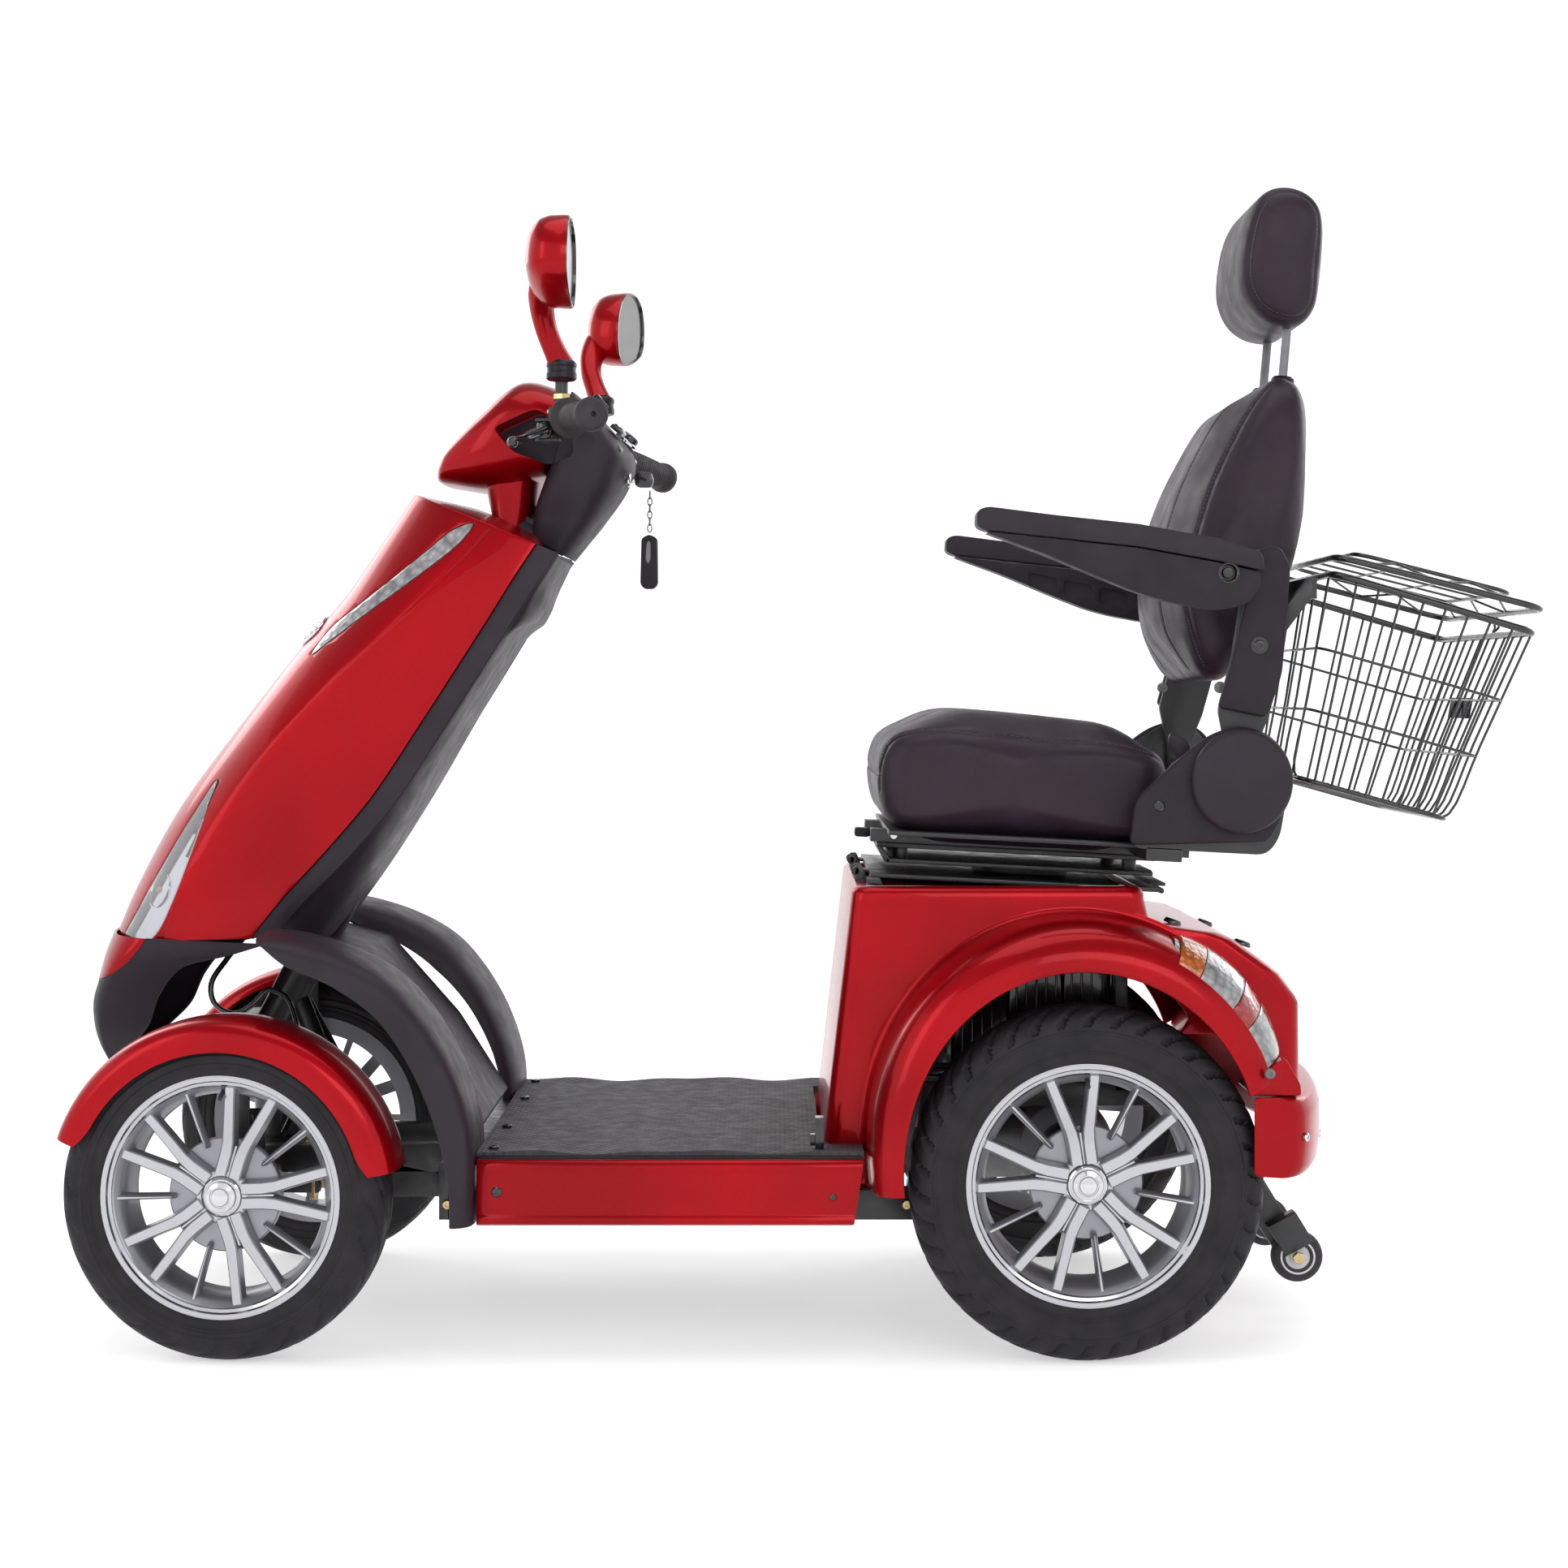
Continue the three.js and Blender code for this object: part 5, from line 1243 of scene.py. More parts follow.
def tail_lamp(side, sign):
    """Lens fields along the flare's rear: amber above, clear, then red."""
    def lens(lift, start, stop):
        def section(degrees):
            base = flare_radius(degrees)
            swell = max(0.02, math.sin(math.pi * (degrees - 111) / 38)) ** 0.5
            high = lift * swell
            depth = base - opening_radius(degrees)
            outline = [(base - 4, 244.5), (base + high, 246), (base + high + 3 * swell, 254),
                       (base + high + 2 * swell, 278), (base + high - 3 * swell, 298),
                       (base - 0.17 * depth + 0.7 * high, 324), (base - 0.36 * depth + 0.5 * high, 340),
                       (base - 0.46 * depth - 3, 343)]
            return [(p.x, sign * p.y) for p in spline([(r, y, 0) for r, y in outline], 4)]
        return loft(arch_sweep(section, ARCH_CENTRE, start, stop, max(4, int((stop - start) * 1.5))))
    fields = [("amber", 113, 119, AMBER_LENS, "tail_lens"),
              ("clear", 119.2, 130, WHITE_LENS, "clear_lens"),
              ("red", 130.2, 136, RED_LENS, "tail_lens"),
              ("clear_low", 136.2, 147, WHITE_LENS, "clear_lens")]
    for name, start, stop, material, slot in fields:
        replaced = [f"tail_lamp_{side}"] if name == "amber" else []
        make(f"tail_{name}_{side}", lens(13.5, start, stop), material, "chassis",
             replaces=replaced, edge=0.6)
    make(f"tail_gasket_{side}", lens(2.5, 111.5, 148.5), GLOSS, "chassis")


BUMPER = [(-348.5, 506, 548), (-346, 502, 553), (-338, 508, 562), (-300, 540, 580), (-200, 572, 604),
          (0, 590, 622), (200, 572, 604), (300, 540, 580), (338, 508, 562),
          (346, 502, 553), (348.5, 506, 548)]


def rear_bumper():
    """The bumper that wraps round the rear, with its screws."""
    line = spline([(front, y, rear) for y, front, rear in BUMPER], 6)
    rings = []
    for p in line:
        front, y, rear = p.x, p.y, p.z
        outline = filleted([(front, 218), (rear - 10, 216), (rear - 3, 226), (rear, 250), (rear, 288),
                            (rear - 6, 304), (rear - 16, 308), (front, 308)], 5, 4)
        rings.append([Vector((x, y, z)) for x, z in outline])
    make("bumper_skin", loft(rings), RED, "chassis",
         replaces=["rear_bumper"], edge=0.8, sharp=45)
    screws = both(*[screw((562, sign * 340, 262), (0.75, sign * 0.66, 0), 5, 3) for _, sign in SIDES],
                  *[screw((610, sign * 170, 240), (1, sign * 0.15, 0), 5, 2) for _, sign in SIDES])
    make("bumper_screws", screws, CHROME, "chassis")


# ------------------------------------------------------------------ frame, drive and batteries
BEAM_Z = 191
RAIL_Y = 247


def chassis_frame():
    """The welded frame, the steering column tube, bolts and the front cable."""
    x = AXLE_X["front"]
    parts = [block(x - 22, x + 22, -196, 196, BEAM_Z - 18, BEAM_Z + 22),
             block(-418, 8, -300, 300, 222.5, 229.5), block(65, 90, -150, 150, 510, 530),
             block(365, 380, -150, 150, 500, 516), rod(steer_at(330), steer_at(934), 24, 36, 2),
             rod((x, 0, BEAM_Z), steer_at(345), 26, 32, 1), block(x - 60, x - 10, -90, 90, 340, 362),
             block(-575, -545, -90, 90, 185, 210)]
    for _, sign in SIDES:
        def y(value):
            return sign * value
        parts += [
            block(x - 18, x + 18, y(190), y(206), BEAM_Z - 52, BEAM_Z + 82),
            block(x - 12, x + 12, y(190), y(235), BEAM_Z + 72, BEAM_Z + 82),
            block(x - 12, x + 12, y(190), y(235), BEAM_Z - 52, BEAM_Z - 42),
            prism([(-430, 150), (150, 150), (150, 185), (-430, 185)], y(RAIL_Y - 30), y(RAIL_Y)),
            prism([(-440, 150), (-400, 150), (-400, 215), (-440, 215)], y(60), y(RAIL_Y)),
            prism([(x - 10, 180), (-400, 180), (-400, 215), (x - 10, 213)], y(70), y(95)),
            prism([(110, 150), (150, 150), (170, 272), (420, 272), (420, 300), (135, 300)], y(140), y(165)),
            block(65, 90, y(140), y(165), 280, 534), block(365, 380, y(140), y(165), 290, 522),
            prism([(65, 522), (65, 534), (380, 523), (380, 511)], y(140), y(165)),
            prism([(395, 272), (520, 160), (540, 176), (420, 300)], y(88), y(106)),
            prism([(520, 160), (578, 70), (590, 62), (606, 68), (610, 88), (545, 182)], y(90), y(98)),
            prism([(556, 118), (578, 82), (612, 100), (590, 136)], y(98.5), y(125)),
            rod((593, y(90), 81), (593, y(127), 81), 4, 16, 1),
            rod((-560, y(60), 200), steer_at(400), 12, 20, 1),
            prism([(-560, 150), (-440, 150), (-440, 175), (-560, 200)], y(70), y(95))]
        ear = [(52, 520), (66, 520), (66, 547), (61, 560), (53, 560), (52, 553)]
        parts += [prism(ear, y(inner), y(inner + 6)) for inner in (90, 131)]
    make("frame_welded", both(*parts), STEEL, "chassis",
         replaces=["frame"], edge=1.6, segments=2)
    rods = []
    bolts = []
    for _, sign in SIDES:
        rods.append(tube([(-585, sign * 60, 178), (-588, sign * 105, 176), (-591, sign * 150, 176)],
                         6, 12, 4))
        bolts += [screw((x + 22, sign * d, BEAM_Z + 2), (1, 0, 0), 8, 5) for d in (70, 150)]
        bolts += [screw((-430 + 60 * i, sign * RAIL_Y, 168), (0, sign, 0), 6, 4) for i in (0, 9)]
        bolts += [rod((593, sign * 88, 81), (593, sign * 84, 81), 8, 6, 1),
                  screw((546, sign * 106, 150), (0, sign, 0), 5, 3),
                  rod((593, sign * 125, 81), (593, sign * 131, 81), 8, 6, 1)]
    make("linkage_stubs", both(*rods), BRASS, "chassis")
    make("frame_bolts", both(*bolts), BRASS, "chassis")
    cable = [(-700, -70, 470), (-722, -84, 440), (-738, -96, 412), (-732, -104, 388), (-708, -108, 376),
             (-684, -106, 388), (-668, -100, 404), (-648, -94, 396), (-636, -90, 366), (-632, -92, 320),
             (-634, -110, 262), (-640, -150, 236)]
    make("front_cable", tube(cable, 3.4, 12, 8), GLOSS, "chassis", replaces=["brake_cable"])
    drive()


def drive():
    """The motor with its axle, the batteries and the anti-tip wheels."""
    x, z = AXLE_X["rear"], TYRE_R["rear"]
    middle, across = (x, 0, z), (0, 1, 0)
    gearbox = [(0, -232), (27, -232), (27, -64), (31, -60), (54, -56), (60, -50), (62, -44), (62, 34),
               (60, 40), (54, 45), (31, 50), (27, 54), (27, 232), (0, 232)]
    axle_tube = [(0, -250), (22, -250), (22, 250), (0, 250)]
    half_shafts = [(0, -326), (7.6, -326), (7.6, 326), (0, 326)]
    motor = [(0, 10), (48, 10), (48, 30), (45, 33), (45, 128), (48, 132), (48, 149), (44, 151),
             (36, 152), (36, 161), (33, 162), (0, 162)]
    housing = both(turned_body(gearbox, middle, across, 48), turned_body(axle_tube, middle, across, 32),
                   turned_body(half_shafts, middle, across, 24),
                   turned_body(motor, (x, -10, z), (-1, 0, 0), 40))
    make("drive_housing", housing, CAST, "chassis", replaces=["transaxle"], edge=0.8)
    studs = [screw((x + 50 * math.cos(a), 44, z + 50 * math.sin(a)), (0, 1, 0), 4, 4) for a in
             [math.radians(45 * i) for i in range(8)]]
    make("drive_studs", both(*studs), CHROME, "chassis")
    cells = [block(106 + 67 * i, 170 + 67 * i, -128, 128, 313, 489) for i in range(4)]
    ribs = [block(106 + 67 * i + 8 + 12 * k, 106 + 67 * i + 11 + 12 * k, -129.5, 129.5, 330, 470)
            for i in range(4) for k in range(5)]
    tray, strap = block(100, 375, -134, 134, 302, 312), block(106, 371, -4, 4, 480, 494)
    make("battery_cases", both(tray, strap, *cells, *ribs), GLOSS, "chassis",
         replaces=["battery_pack"], edge=1.5)
    for side, sign in SIDES:
        name = f"anti_tip_wheel_{side}"
        centre = (593, sign * 112, 81)
        tread = turned_body([(15, -10), (26, -10), (29.5, -8), (31.3, -4), (31.6, 0), (31.3, 4), (29.5, 8),
                             (26, 10), (15, 10), (15, -10)], centre, (0, 1, 0), 40)
        make(f"{name}_tread", tread, RUBBER, name, replaces=[name])
        hub = [(4.4, -10.5), (9, -10.5), (10, -7), (15.2, -8.5), (20, -10.4), (22, -9.8), (22, 9.8),
               (20, 10.4), (15.2, 8.5), (10, 7), (9, 10.5), (4.4, 10.5), (4.4, -10.5)]
        make(f"{name}_hub", turned_body(hub, centre, (0, 1, 0), 32), WHITE_PLASTIC, name)


# ------------------------------------------------------------------ tiller
BAR_Z = 1095
GRIP_IN = Vector((-276, 166, 1091))
GRIP_OUT = Vector((-224, 290, 1076))
LEVER_PIVOT = (-308, 150, 1078)


def bar_end(sign, share):
    """A point along a grip, from its inner to its outer end."""
    p = GRIP_IN.lerp(GRIP_OUT, share)
    return Vector((p.x, sign * p.y, p.z))


def oval_ring(front, rear, half, inset=0.0, power=0.7, count=40):
    """A squarish oval between two points of the middle plane."""
    front, rear = Vector(front), Vector(rear)
    length = (rear - front).length
    ring = []
    for i in range(count):
        angle = 2 * math.pi * i / count
        c, s = math.cos(angle), math.sin(angle)
        along = 0.5 - 0.5 * math.copysign(abs(c) ** power, c) * (1 - 2 * inset / length)
        y = math.copysign(abs(s) ** power, s) * (half - inset)
        p = front + (rear - front) * along
        ring.append(Vector((p.x, y, p.y)))
    return ring


def oval_body(stations, inset=0.0, per_span=8):
    """A body through stations of (front, rear, half width)."""
    return loft([oval_ring(row[:2], row[2:4], row[4], inset) for row in smooth_rows(stations, per_span)])


NACELLE = [((-469, 1040), (-467, 1034), 26), ((-460, 1056), (-462, 1032), 55),
           ((-444, 1078), (-451, 1030), 76), ((-404, 1118), (-411, 1024), 97),
           ((-354, 1157), (-366, 1026), 106), ((-298, 1143), (-333, 1038), 102),
           ((-280, 1138), (-320, 1040), 100)]
NECK = [((-398, 986), (-355, 964), 49), ((-404, 1008), (-348, 1000), 50), ((-410, 1040), (-342, 1040), 54)]
CONSOLE = [((-351, 964), (-300, 936), 51), ((-347, 980), (-281, 960), 57), ((-344, 1000), (-262, 984), 63),
           ((-328, 1040), (-234, 1028), 81), ((-313, 1074), (-226, 1068), 95),
           ((-300, 1108), (-257, 1107), 99), ((-293, 1130), (-276, 1127), 94),
           ((-290, 1138), (-283, 1135), 84)]
RECESS = [(-382, 1090), (-328, 1114), (-284, 1086), (-283, 1056), (-319, 1048), (-357, 1060)]


def tiller_bodies():
    """The red shroud and neck, and the black console with its panel."""
    behind = prism([(-333, 1028), (-284, 1162), (-150, 1162), (-150, 880), (-352, 880), (-352, 962),
                    (-345, 1000)], -125, 125)
    shroud = raw_object("shroud", oval_body(NACELLE), TILLER)
    recess = [prism(filleted(RECESS, 9, 4), sign * 64, sign * 130) for _, sign in SIDES]
    cut(shroud, behind, *recess, place=TILLER)
    round_edges(shroud, 1.6, 3, 30)
    dress(shroud, RED, "tiller", ["tiller_shroud"], 34)
    for side, sign in SIDES:
        floor = filleted([(x * 0.97 - 10, z * 0.97 + 32) for x, z in RECESS], 8, 3)
        make(f"recess_floor_{side}", prism(floor, sign * 63, sign * 66), PLASTIC, "tiller",
             TILLER)
    neck = raw_object("tiller_neck", oval_body(NECK), TILLER)
    cut(neck, behind, place=TILLER)
    round_edges(neck, 1.2, 2, 40)
    dress(neck, RED, "tiller")
    console = raw_object("console", oval_body(CONSOLE), TILLER)
    ahead = prism([(-331, 1028), (-282, 1162), (-480, 1162), (-480, 880), (-350, 880), (-350, 962),
                   (-343, 1000)], -125, 125)
    grooves = [block(-300, -180, sign * 86, sign * 110, 1028.5, 1030.5) for _, sign in SIDES]
    pockets = [prism(filleted(RECESS, 9, 4), sign * 70, sign * 130) for _, sign in SIDES]
    cut(console, ahead, *grooves, *pockets, place=TILLER)
    round_edges(console, 1.6, 3, 30)
    dress(console, SHIELD_PLASTIC, "tiller", ["tiller_console"], 34)
    panel = [(-285, 1136), (-262, 1108), (-229, 1070), (-228, 1066), (-231, 1062), (-262, 1098), (-290, 1130)]
    make("dash_panel", prism(panel, -62, 62), GLOSS, "tiller", TILLER, edge=1.2)
    dots = []
    for i in range(5):
        dots.append(turned_body([(0, 2.2), (4.5, 1.6), (5, -1), (0, -1)],
                                (-246, -44 + 22 * i, 1088), (0.77, 0, 0.63), 16))
    make("dash_lamps", both(*dots), AMBER_LENS, "tiller", TILLER)


def tiller_bars():
    """The handlebar with its clamps, the grips, the levers and the mirrors."""
    x = STEER_POINT[0] + (BAR_Z - STEER_POINT[2]) * math.tan(STEER_TILT)
    bar = [bar_end(-1, 0.97), bar_end(-1, 0.5), bar_end(-1, 0.03), Vector((x - 6, -95, BAR_Z - 1)),
           Vector((x, -50, BAR_Z)), Vector((x, 50, BAR_Z)), Vector((x - 6, 95, BAR_Z - 1)), bar_end(1, 0.03),
           bar_end(1, 0.5), bar_end(1, 0.97)]
    parts = [tube(bar, 11, 24, 8), rod(steer_at(560), steer_at(BAR_Z + 6), 14, 28, 1),
             rod(steer_at(968), steer_at(989), 22, 28, 2)]
    for _, sign in SIDES:
        clamp = turned_body([(11, -11), (19, -11), (20.5, -9), (20.5, 9), (19, 11), (11, 11), (11, -11)],
                            (-286, sign * 139, 1092), (0.38, sign * 0.92, -0.1), 28)
        parts += [clamp, block(-304, -292, sign * 132, sign * 146, 1086, 1108),
                  rod((-290, sign * 138, 1100), (-290, sign * 138, 1140), 8, 20, 1),
                  rod((-308, sign * 150, 1066), (-308, sign * 150, 1090.5), 4, 16, 1),
                  block(-318, -288, sign * 140, sign * 160, 1088.6, 1092),
                  block(-318, -288, sign * 140, sign * 160, 1064, 1067.4),
                  tube([(-318, sign * 132, 1084), (-340, sign * 110, 1080), (-350, sign * 92, 1074)],
                       3.2, 10, 6)]
    make("handlebar", both(*parts), STEEL, "tiller", TILLER, ["tiller_stem"], edge=0.5)
    bolts = [rod((-290, sign * 138, 1117), (-290, sign * 138, 1125), 11, 6, 1) for _, sign in SIDES]
    bolts += [screw((-304, sign * 139, y), (-1, 0, 0), 3.5, 3) for _, sign in SIDES for y in (1091, 1103)]
    make("bar_bolts", both(*bolts), BRASS, "tiller", TILLER)
    for side, sign in SIDES:
        start, end = bar_end(sign, 0.04), bar_end(sign, 1.0)
        along = (end - start).normalized()
        length = (end - start).length
        profile = [(11.7, 0), (23.5, 0), (24.5, 1), (24.5, 4), (23, 5.5), (18.5, 7.5), (17, 10)]
        ribs = int((length - 34) / 5)
        for i in range(ribs):
            d = 12 + 5 * i
            swell = 0.8 * math.sin(math.pi * i / ribs)
            profile += [(16.6 + swell, d), (17.2 + swell, d + 0.8),
                        (17.2 + swell, d + 3.2), (16.6 + swell, d + 4)]
        profile += [(17.5, length - 21), (19.8, length - 16), (20.4, length - 11), (19.6, length - 5),
                    (16.5, length - 1.2), (10, length + 1.6), (3.2, length + 2.2),
                    (2.6, length - 2), (0, length - 2)]
        body = "tiller" if sign < 0 else "throttle"
        node = "grip_left" if sign < 0 else "throttle_grip"
        make(f"{node}_ribbed", turned_body(profile, start, along, 40), RUBBER, body,
             TILLER, [node], 50)
        lever(side, sign)
        mirror(side, sign)


def lever(side, sign):
    """A brake lever: an eye round its pivot, a flat blade and a ball end."""
    line = [(-306, 158, 1078), (-314, 172, 1071), (-324, 194, 1063), (-328, 240, 1053), (-323, 268, 1047)]
    blade = tube([Vector((x, sign * y, z)) for x, y, z in line], 6.4, 16, 8, flat=0.72)
    eye = turned_body([(4.3, -10), (9, -10), (10, -8), (10, 8), (9, 10), (4.3, 10), (4.3, -10)],
                      (LEVER_PIVOT[0], sign * LEVER_PIVOT[1], LEVER_PIVOT[2]), (0, 0, 1), 28)
    ball = turned_body([(0, -7), (4, -6.2), (6.2, -3.5), (7, 0), (6.2, 3.5), (4, 6.2), (0, 7)],
                       (-322.5, sign * 270, 1047), (0.1, sign, -0.15), 20)
    make(f"brake_lever_{side}_blade", both(blade, eye, ball), GLOSS, f"brake_lever_{side}",
         TILLER, [f"brake_lever_{side}"])


MIRROR_OUTLINE = [(-58, -34), (-30, -46), (20, -44), (52, -32), (62, -6), (56, 26), (34, 44), (0, 50),
                  (-34, 44), (-56, 22), (-64, -6)]


def mirror(side, sign):
    """A teardrop shell with a recessed glass that looks back, on a curved flat stalk."""
    centre = Vector((-286, sign * 226, 1270))
    toe = math.radians(5 if sign < 0 else 8) * -sign
    tilt = Matrix.Rotation(0.22 * sign, 3, "X") @ Matrix.Rotation(toe, 3, "Z")

    def ring(x, scale, shift=0.0):
        points = spline([(sign * y, z, 0) for y, z in MIRROR_OUTLINE], 5, closed=True)
        return [centre + tilt @ Vector((x, p.x * scale, p.y * scale + shift)) for p in points]

    shell_rings = [ring(-31, 0.06), ring(-30, 0.28), ring(-27, 0.54), ring(-21, 0.76), ring(-12, 0.92),
                   ring(-1, 0.985), ring(13, 1.0), ring(20, 1.0), ring(22, 0.985), ring(22, 0.94),
                   ring(20, 0.915), ring(14, 0.905), ring(13, 0.4)]
    stalk_line = [(-290, 138, 1160), (-297, 145, 1176), (-305, 154, 1198), (-308, 170, 1222),
                  (-304, 192, 1243), (-296, 210, 1258)]
    stalk = tube([Vector((x, sign * y, z)) for x, y, z in stalk_line],
                 lambda t: 16.5 - 3.5 * math.sin(math.pi * min(1, t * 1.3)) + 3 * t, 24, 8, flat=0.8)
    body = f"mirror_{side}"
    make(f"{body}_shell", both(loft(shell_rings), stalk), RED, body, TILLER, [body], 50)
    make(f"{body}_bezel", loft([ring(20.6, 0.975), ring(23.4, 0.965), ring(23.6, 0.93), ring(17, 0.89),
                                ring(15, 0.89)]), GLOSS, body, TILLER)
    make(f"{body}_glass", loft([ring(16.6, 0.90), ring(18.2, 0.895)]), MIRROR, body, TILLER)
    collar = turned_body([(0, 1142), (17, 1142), (18.5, 1143.5), (18.5, 1150), (17.6, 1151), (17.6, 1157),
                          (18.5, 1158), (18.5, 1162), (16, 1165), (0, 1166)],
                          (-290, sign * 138, 0), (0, 0, 1), 32)
    make(f"{body}_collar", collar, SMOOTH_PLASTIC, body, TILLER)


def controls():
    """Speed knob, horn, switch, key, chain and fob."""
    def out(x, y, z, degrees):
        a = math.radians(degrees)
        return (x, y, z), (math.cos(a), 0, math.sin(a))

    centre, along = out(-268, -36, 1122.5, 41)
    profile = [(0, 0.5), (12.6, 0.5), (12.6, 3), (11.4, 4), (11, 14), (10, 15.8), (0, 16)]
    knob = turned_body(profile, centre, along, 32)
    a = Vector(along)
    side_way = Vector((0, 1, 0))
    up_way = a.cross(side_way)
    ridges = []
    for i in range(12):
        angle = math.pi * 2 * i / 12
        away = (side_way * math.cos(angle) + up_way * math.sin(angle)) * 11.3
        ridges.append(rod(Vector(centre) + away + a * 4.2, Vector(centre) + away + a * 14.5, 1.3, 8, 0.4))
    make("speed_knob_knurled", both(knob, *ridges), SMOOTH_PLASTIC, "speed_knob",
         TILLER, ["speed_knob"])
    tip = Vector(centre) + a * 16
    make("speed_knob_mark", rod(tip + up_way * 3, tip + up_way * 9, 0.7, 8, 0.2), WHITE_PLASTIC, "speed_knob",
         TILLER)
    centre, along = out(-238, 34, 1090, 51)
    dome = [(0, 3), (12.4, 3), (12.8, 4), (12.8, 8), (11, 10.6), (7, 11.8), (0, 12)]
    make("horn_cap", turned_body(dome, centre, along, 32), GLOSS, "horn_button", TILLER,
         ["horn_button"])
    collar = [(13.4, -1), (17, -1), (17, 2), (15.8, 3), (13.4, 3), (13.4, -1)]
    make("horn_ring", turned_body(collar, centre, along, 32), CHROME, "tiller", TILLER)
    slide = Matrix.Translation((-239, -34, 1092)) @ Matrix.Rotation(math.radians(39), 4, "Y")
    rocker = prism([(-9, 0.5), (9, 0.5), (9, 5), (4, 9), (0, 7.4), (-4, 9), (-9, 5)], -14, 14)
    make("indicator_rocker", moved(rocker, slide), GLOSS, "indicator_switch", TILLER,
         ["indicator_switch"], edge=0.8)
    z, x = 1037, -230
    blade = block(x + 3, x + 12, -1.2, 1.2, z - 4, z + 4)
    head = prism(filleted([(x + 9, z - 6), (x + 14, z - 10), (x + 30, z - 10), (x + 33, z), (x + 30, z + 9),
                           (x + 14, z + 10), (x + 9, z + 6)], 3), -3, 3)
    barrel = turned_body([(0, 1), (9, 1), (9, 3), (6, 4), (0, 4)], (x, 0, z), (1, 0, 0), 28)
    make("key_head", head, GLOSS, "key", TILLER, ["key"], edge=1)
    make("key_blade", both(blade, barrel), CHROME, "key", TILLER)
    links = []
    for i in range(6):
        middle = Vector((-202, 0, 1018 - 8.4 * i))
        sideways = Vector((1, 0, 0)) if i % 2 else Vector((0, 1, 0))
        loop = [middle + Vector((0, 0, 5.2)) * math.cos(a) + sideways * 2.6 * math.sin(a)
                for a in round_angles(8)]
        links.append(tube(loop, 0.8, 8, 3, closed=True))
    make("key_chain", both(*links), CAST, "key_fob", TILLER)
    fob = filleted([(-212, 963), (-213, 905), (-208, 899), (-196, 899), (-191, 905),
                    (-192, 963), (-202, 968)], 4)
    make("fob_body", prism(fob, -5, 5), SMOOTH_PLASTIC, "key_fob", TILLER,
         ["key_fob"], edge=1.6, segments=3)
    inlay = filleted([(-205, 956), (-206, 936), (-203, 930), (-200, 936), (-200, 956), (-202, 960)], 2)
    make("fob_inlay", both(prism(inlay, 5, 5.5), prism(inlay, -5.5, -5)), CAST,
         "key_fob", TILLER)


# ------------------------------------------------------------------ cushions
def pad_shape(outline, half, edge, narrow=None, columns=26):
    """A cushion: a side outline carried across Y, rounding off towards both side panels."""
    line = spline([(x, z, 0) for x, z in outline], 7, closed=True)
    centre = sum(line, Vector()) / len(line)
    low, high = min(p.y for p in line), max(p.y for p in line)
    rings = []
    for k in range(columns + 1):
        u = math.sin(math.pi * (k / columns - 0.5))
        inward = (1 - abs(u)) * half
        pull = edge * (1 - math.sqrt(max(0.0, 1 - max(0.0, 1 - inward / edge) ** 2)))
        ring = []
        for p in line:
            away = p - centre
            spot = centre + away * ((away.length - pull) / away.length)
            share = (spot.y - low) / (high - low)
            wide = half * (narrow(share) if narrow else 1.0)
            ring.append(Vector((spot.x, wide * u, spot.y)))
        rings.append(ring)
    return loft(rings)


def evened(mesh, values, rounds):
    """Values on a mesh's points, averaged with their neighbours."""
    ends = [tuple(edge.vertices) for edge in mesh.edges]
    shares = [1] * len(values)
    for a, b in ends:
        shares[a] += 1
        shares[b] += 1
    for _ in range(rounds):
        total = list(values)
        for a, b in ends:
            total[a] += values[b]
            total[b] += values[a]
        values = [t / share for t, share in zip(total, shares)]
    return values


CLOTH_PRESSURE = 4.0
CLOTH_FRAMES = 20
EVENING_ROUNDS = 24


def inflate(obj, cap, voxel, rear_share):
    """Lets cloth under pressure puff the cushion out, then keeps that shape, moving no point past the cap.

    Where a hard shell backs the cushion, only rear_share of the cap is left on the side facing the rear.
    """
    remesh = obj.modifiers.new("remesh", "REMESH")
    remesh.mode = "VOXEL"
    remesh.voxel_size = voxel * MM
    settle(obj)
    start = [v.co.copy() for v in obj.data.vertices]
    cloth = obj.modifiers.new("cloth", "CLOTH")
    cloth.settings.quality = 4
    cloth.settings.use_pressure = True
    cloth.settings.uniform_pressure_force = CLOTH_PRESSURE
    cloth.settings.effector_weights.gravity = 0
    scene = bpy.context.scene
    for number in range(1, CLOTH_FRAMES + 1):
        scene.frame_set(number)
        bpy.context.view_layer.update()
    graph = bpy.context.evaluated_depsgraph_get()
    puffed = [v.co.copy() for v in obj.evaluated_get(graph).data.vertices]
    obj.modifiers.clear()
    scene.frame_set(1)
    normals = [v.normal.copy() for v in obj.data.vertices]
    limits = [cap * MM * (1 - (1 - rear_share) * max(0.0, min(1.0, 1.6 * normal.x)))
              for normal in normals]
    swell = [max(0.0, min(limit, (after - before).dot(normal)))
             for before, after, normal, limit in zip(start, puffed, normals, limits)]
    swell = evened(obj.data, swell, EVENING_ROUNDS)
    for vertex, before, normal, lift in zip(obj.data.vertices, start, normals, swell):
        vertex.co = before + normal * lift
    smooth = obj.modifiers.new("even", "SMOOTH")
    smooth.factor = 0.5
    smooth.iterations = 6
    settle(obj)
    subdivide(obj, 1)


STITCH = {"aside": 3.4, "length": 3.2, "radius": 0.55}


def surface_line(obj, points, closed):
    """Points in mm laid onto an object's surface, with the surface normals there."""
    laid = []
    for p in spline(points, 24, closed):
        found, spot, normal, _ = obj.closest_point_on_mesh(PLACE @ p)
        if found:
            laid.append((PLACE.inverted() @ spot, normal))
    return laid


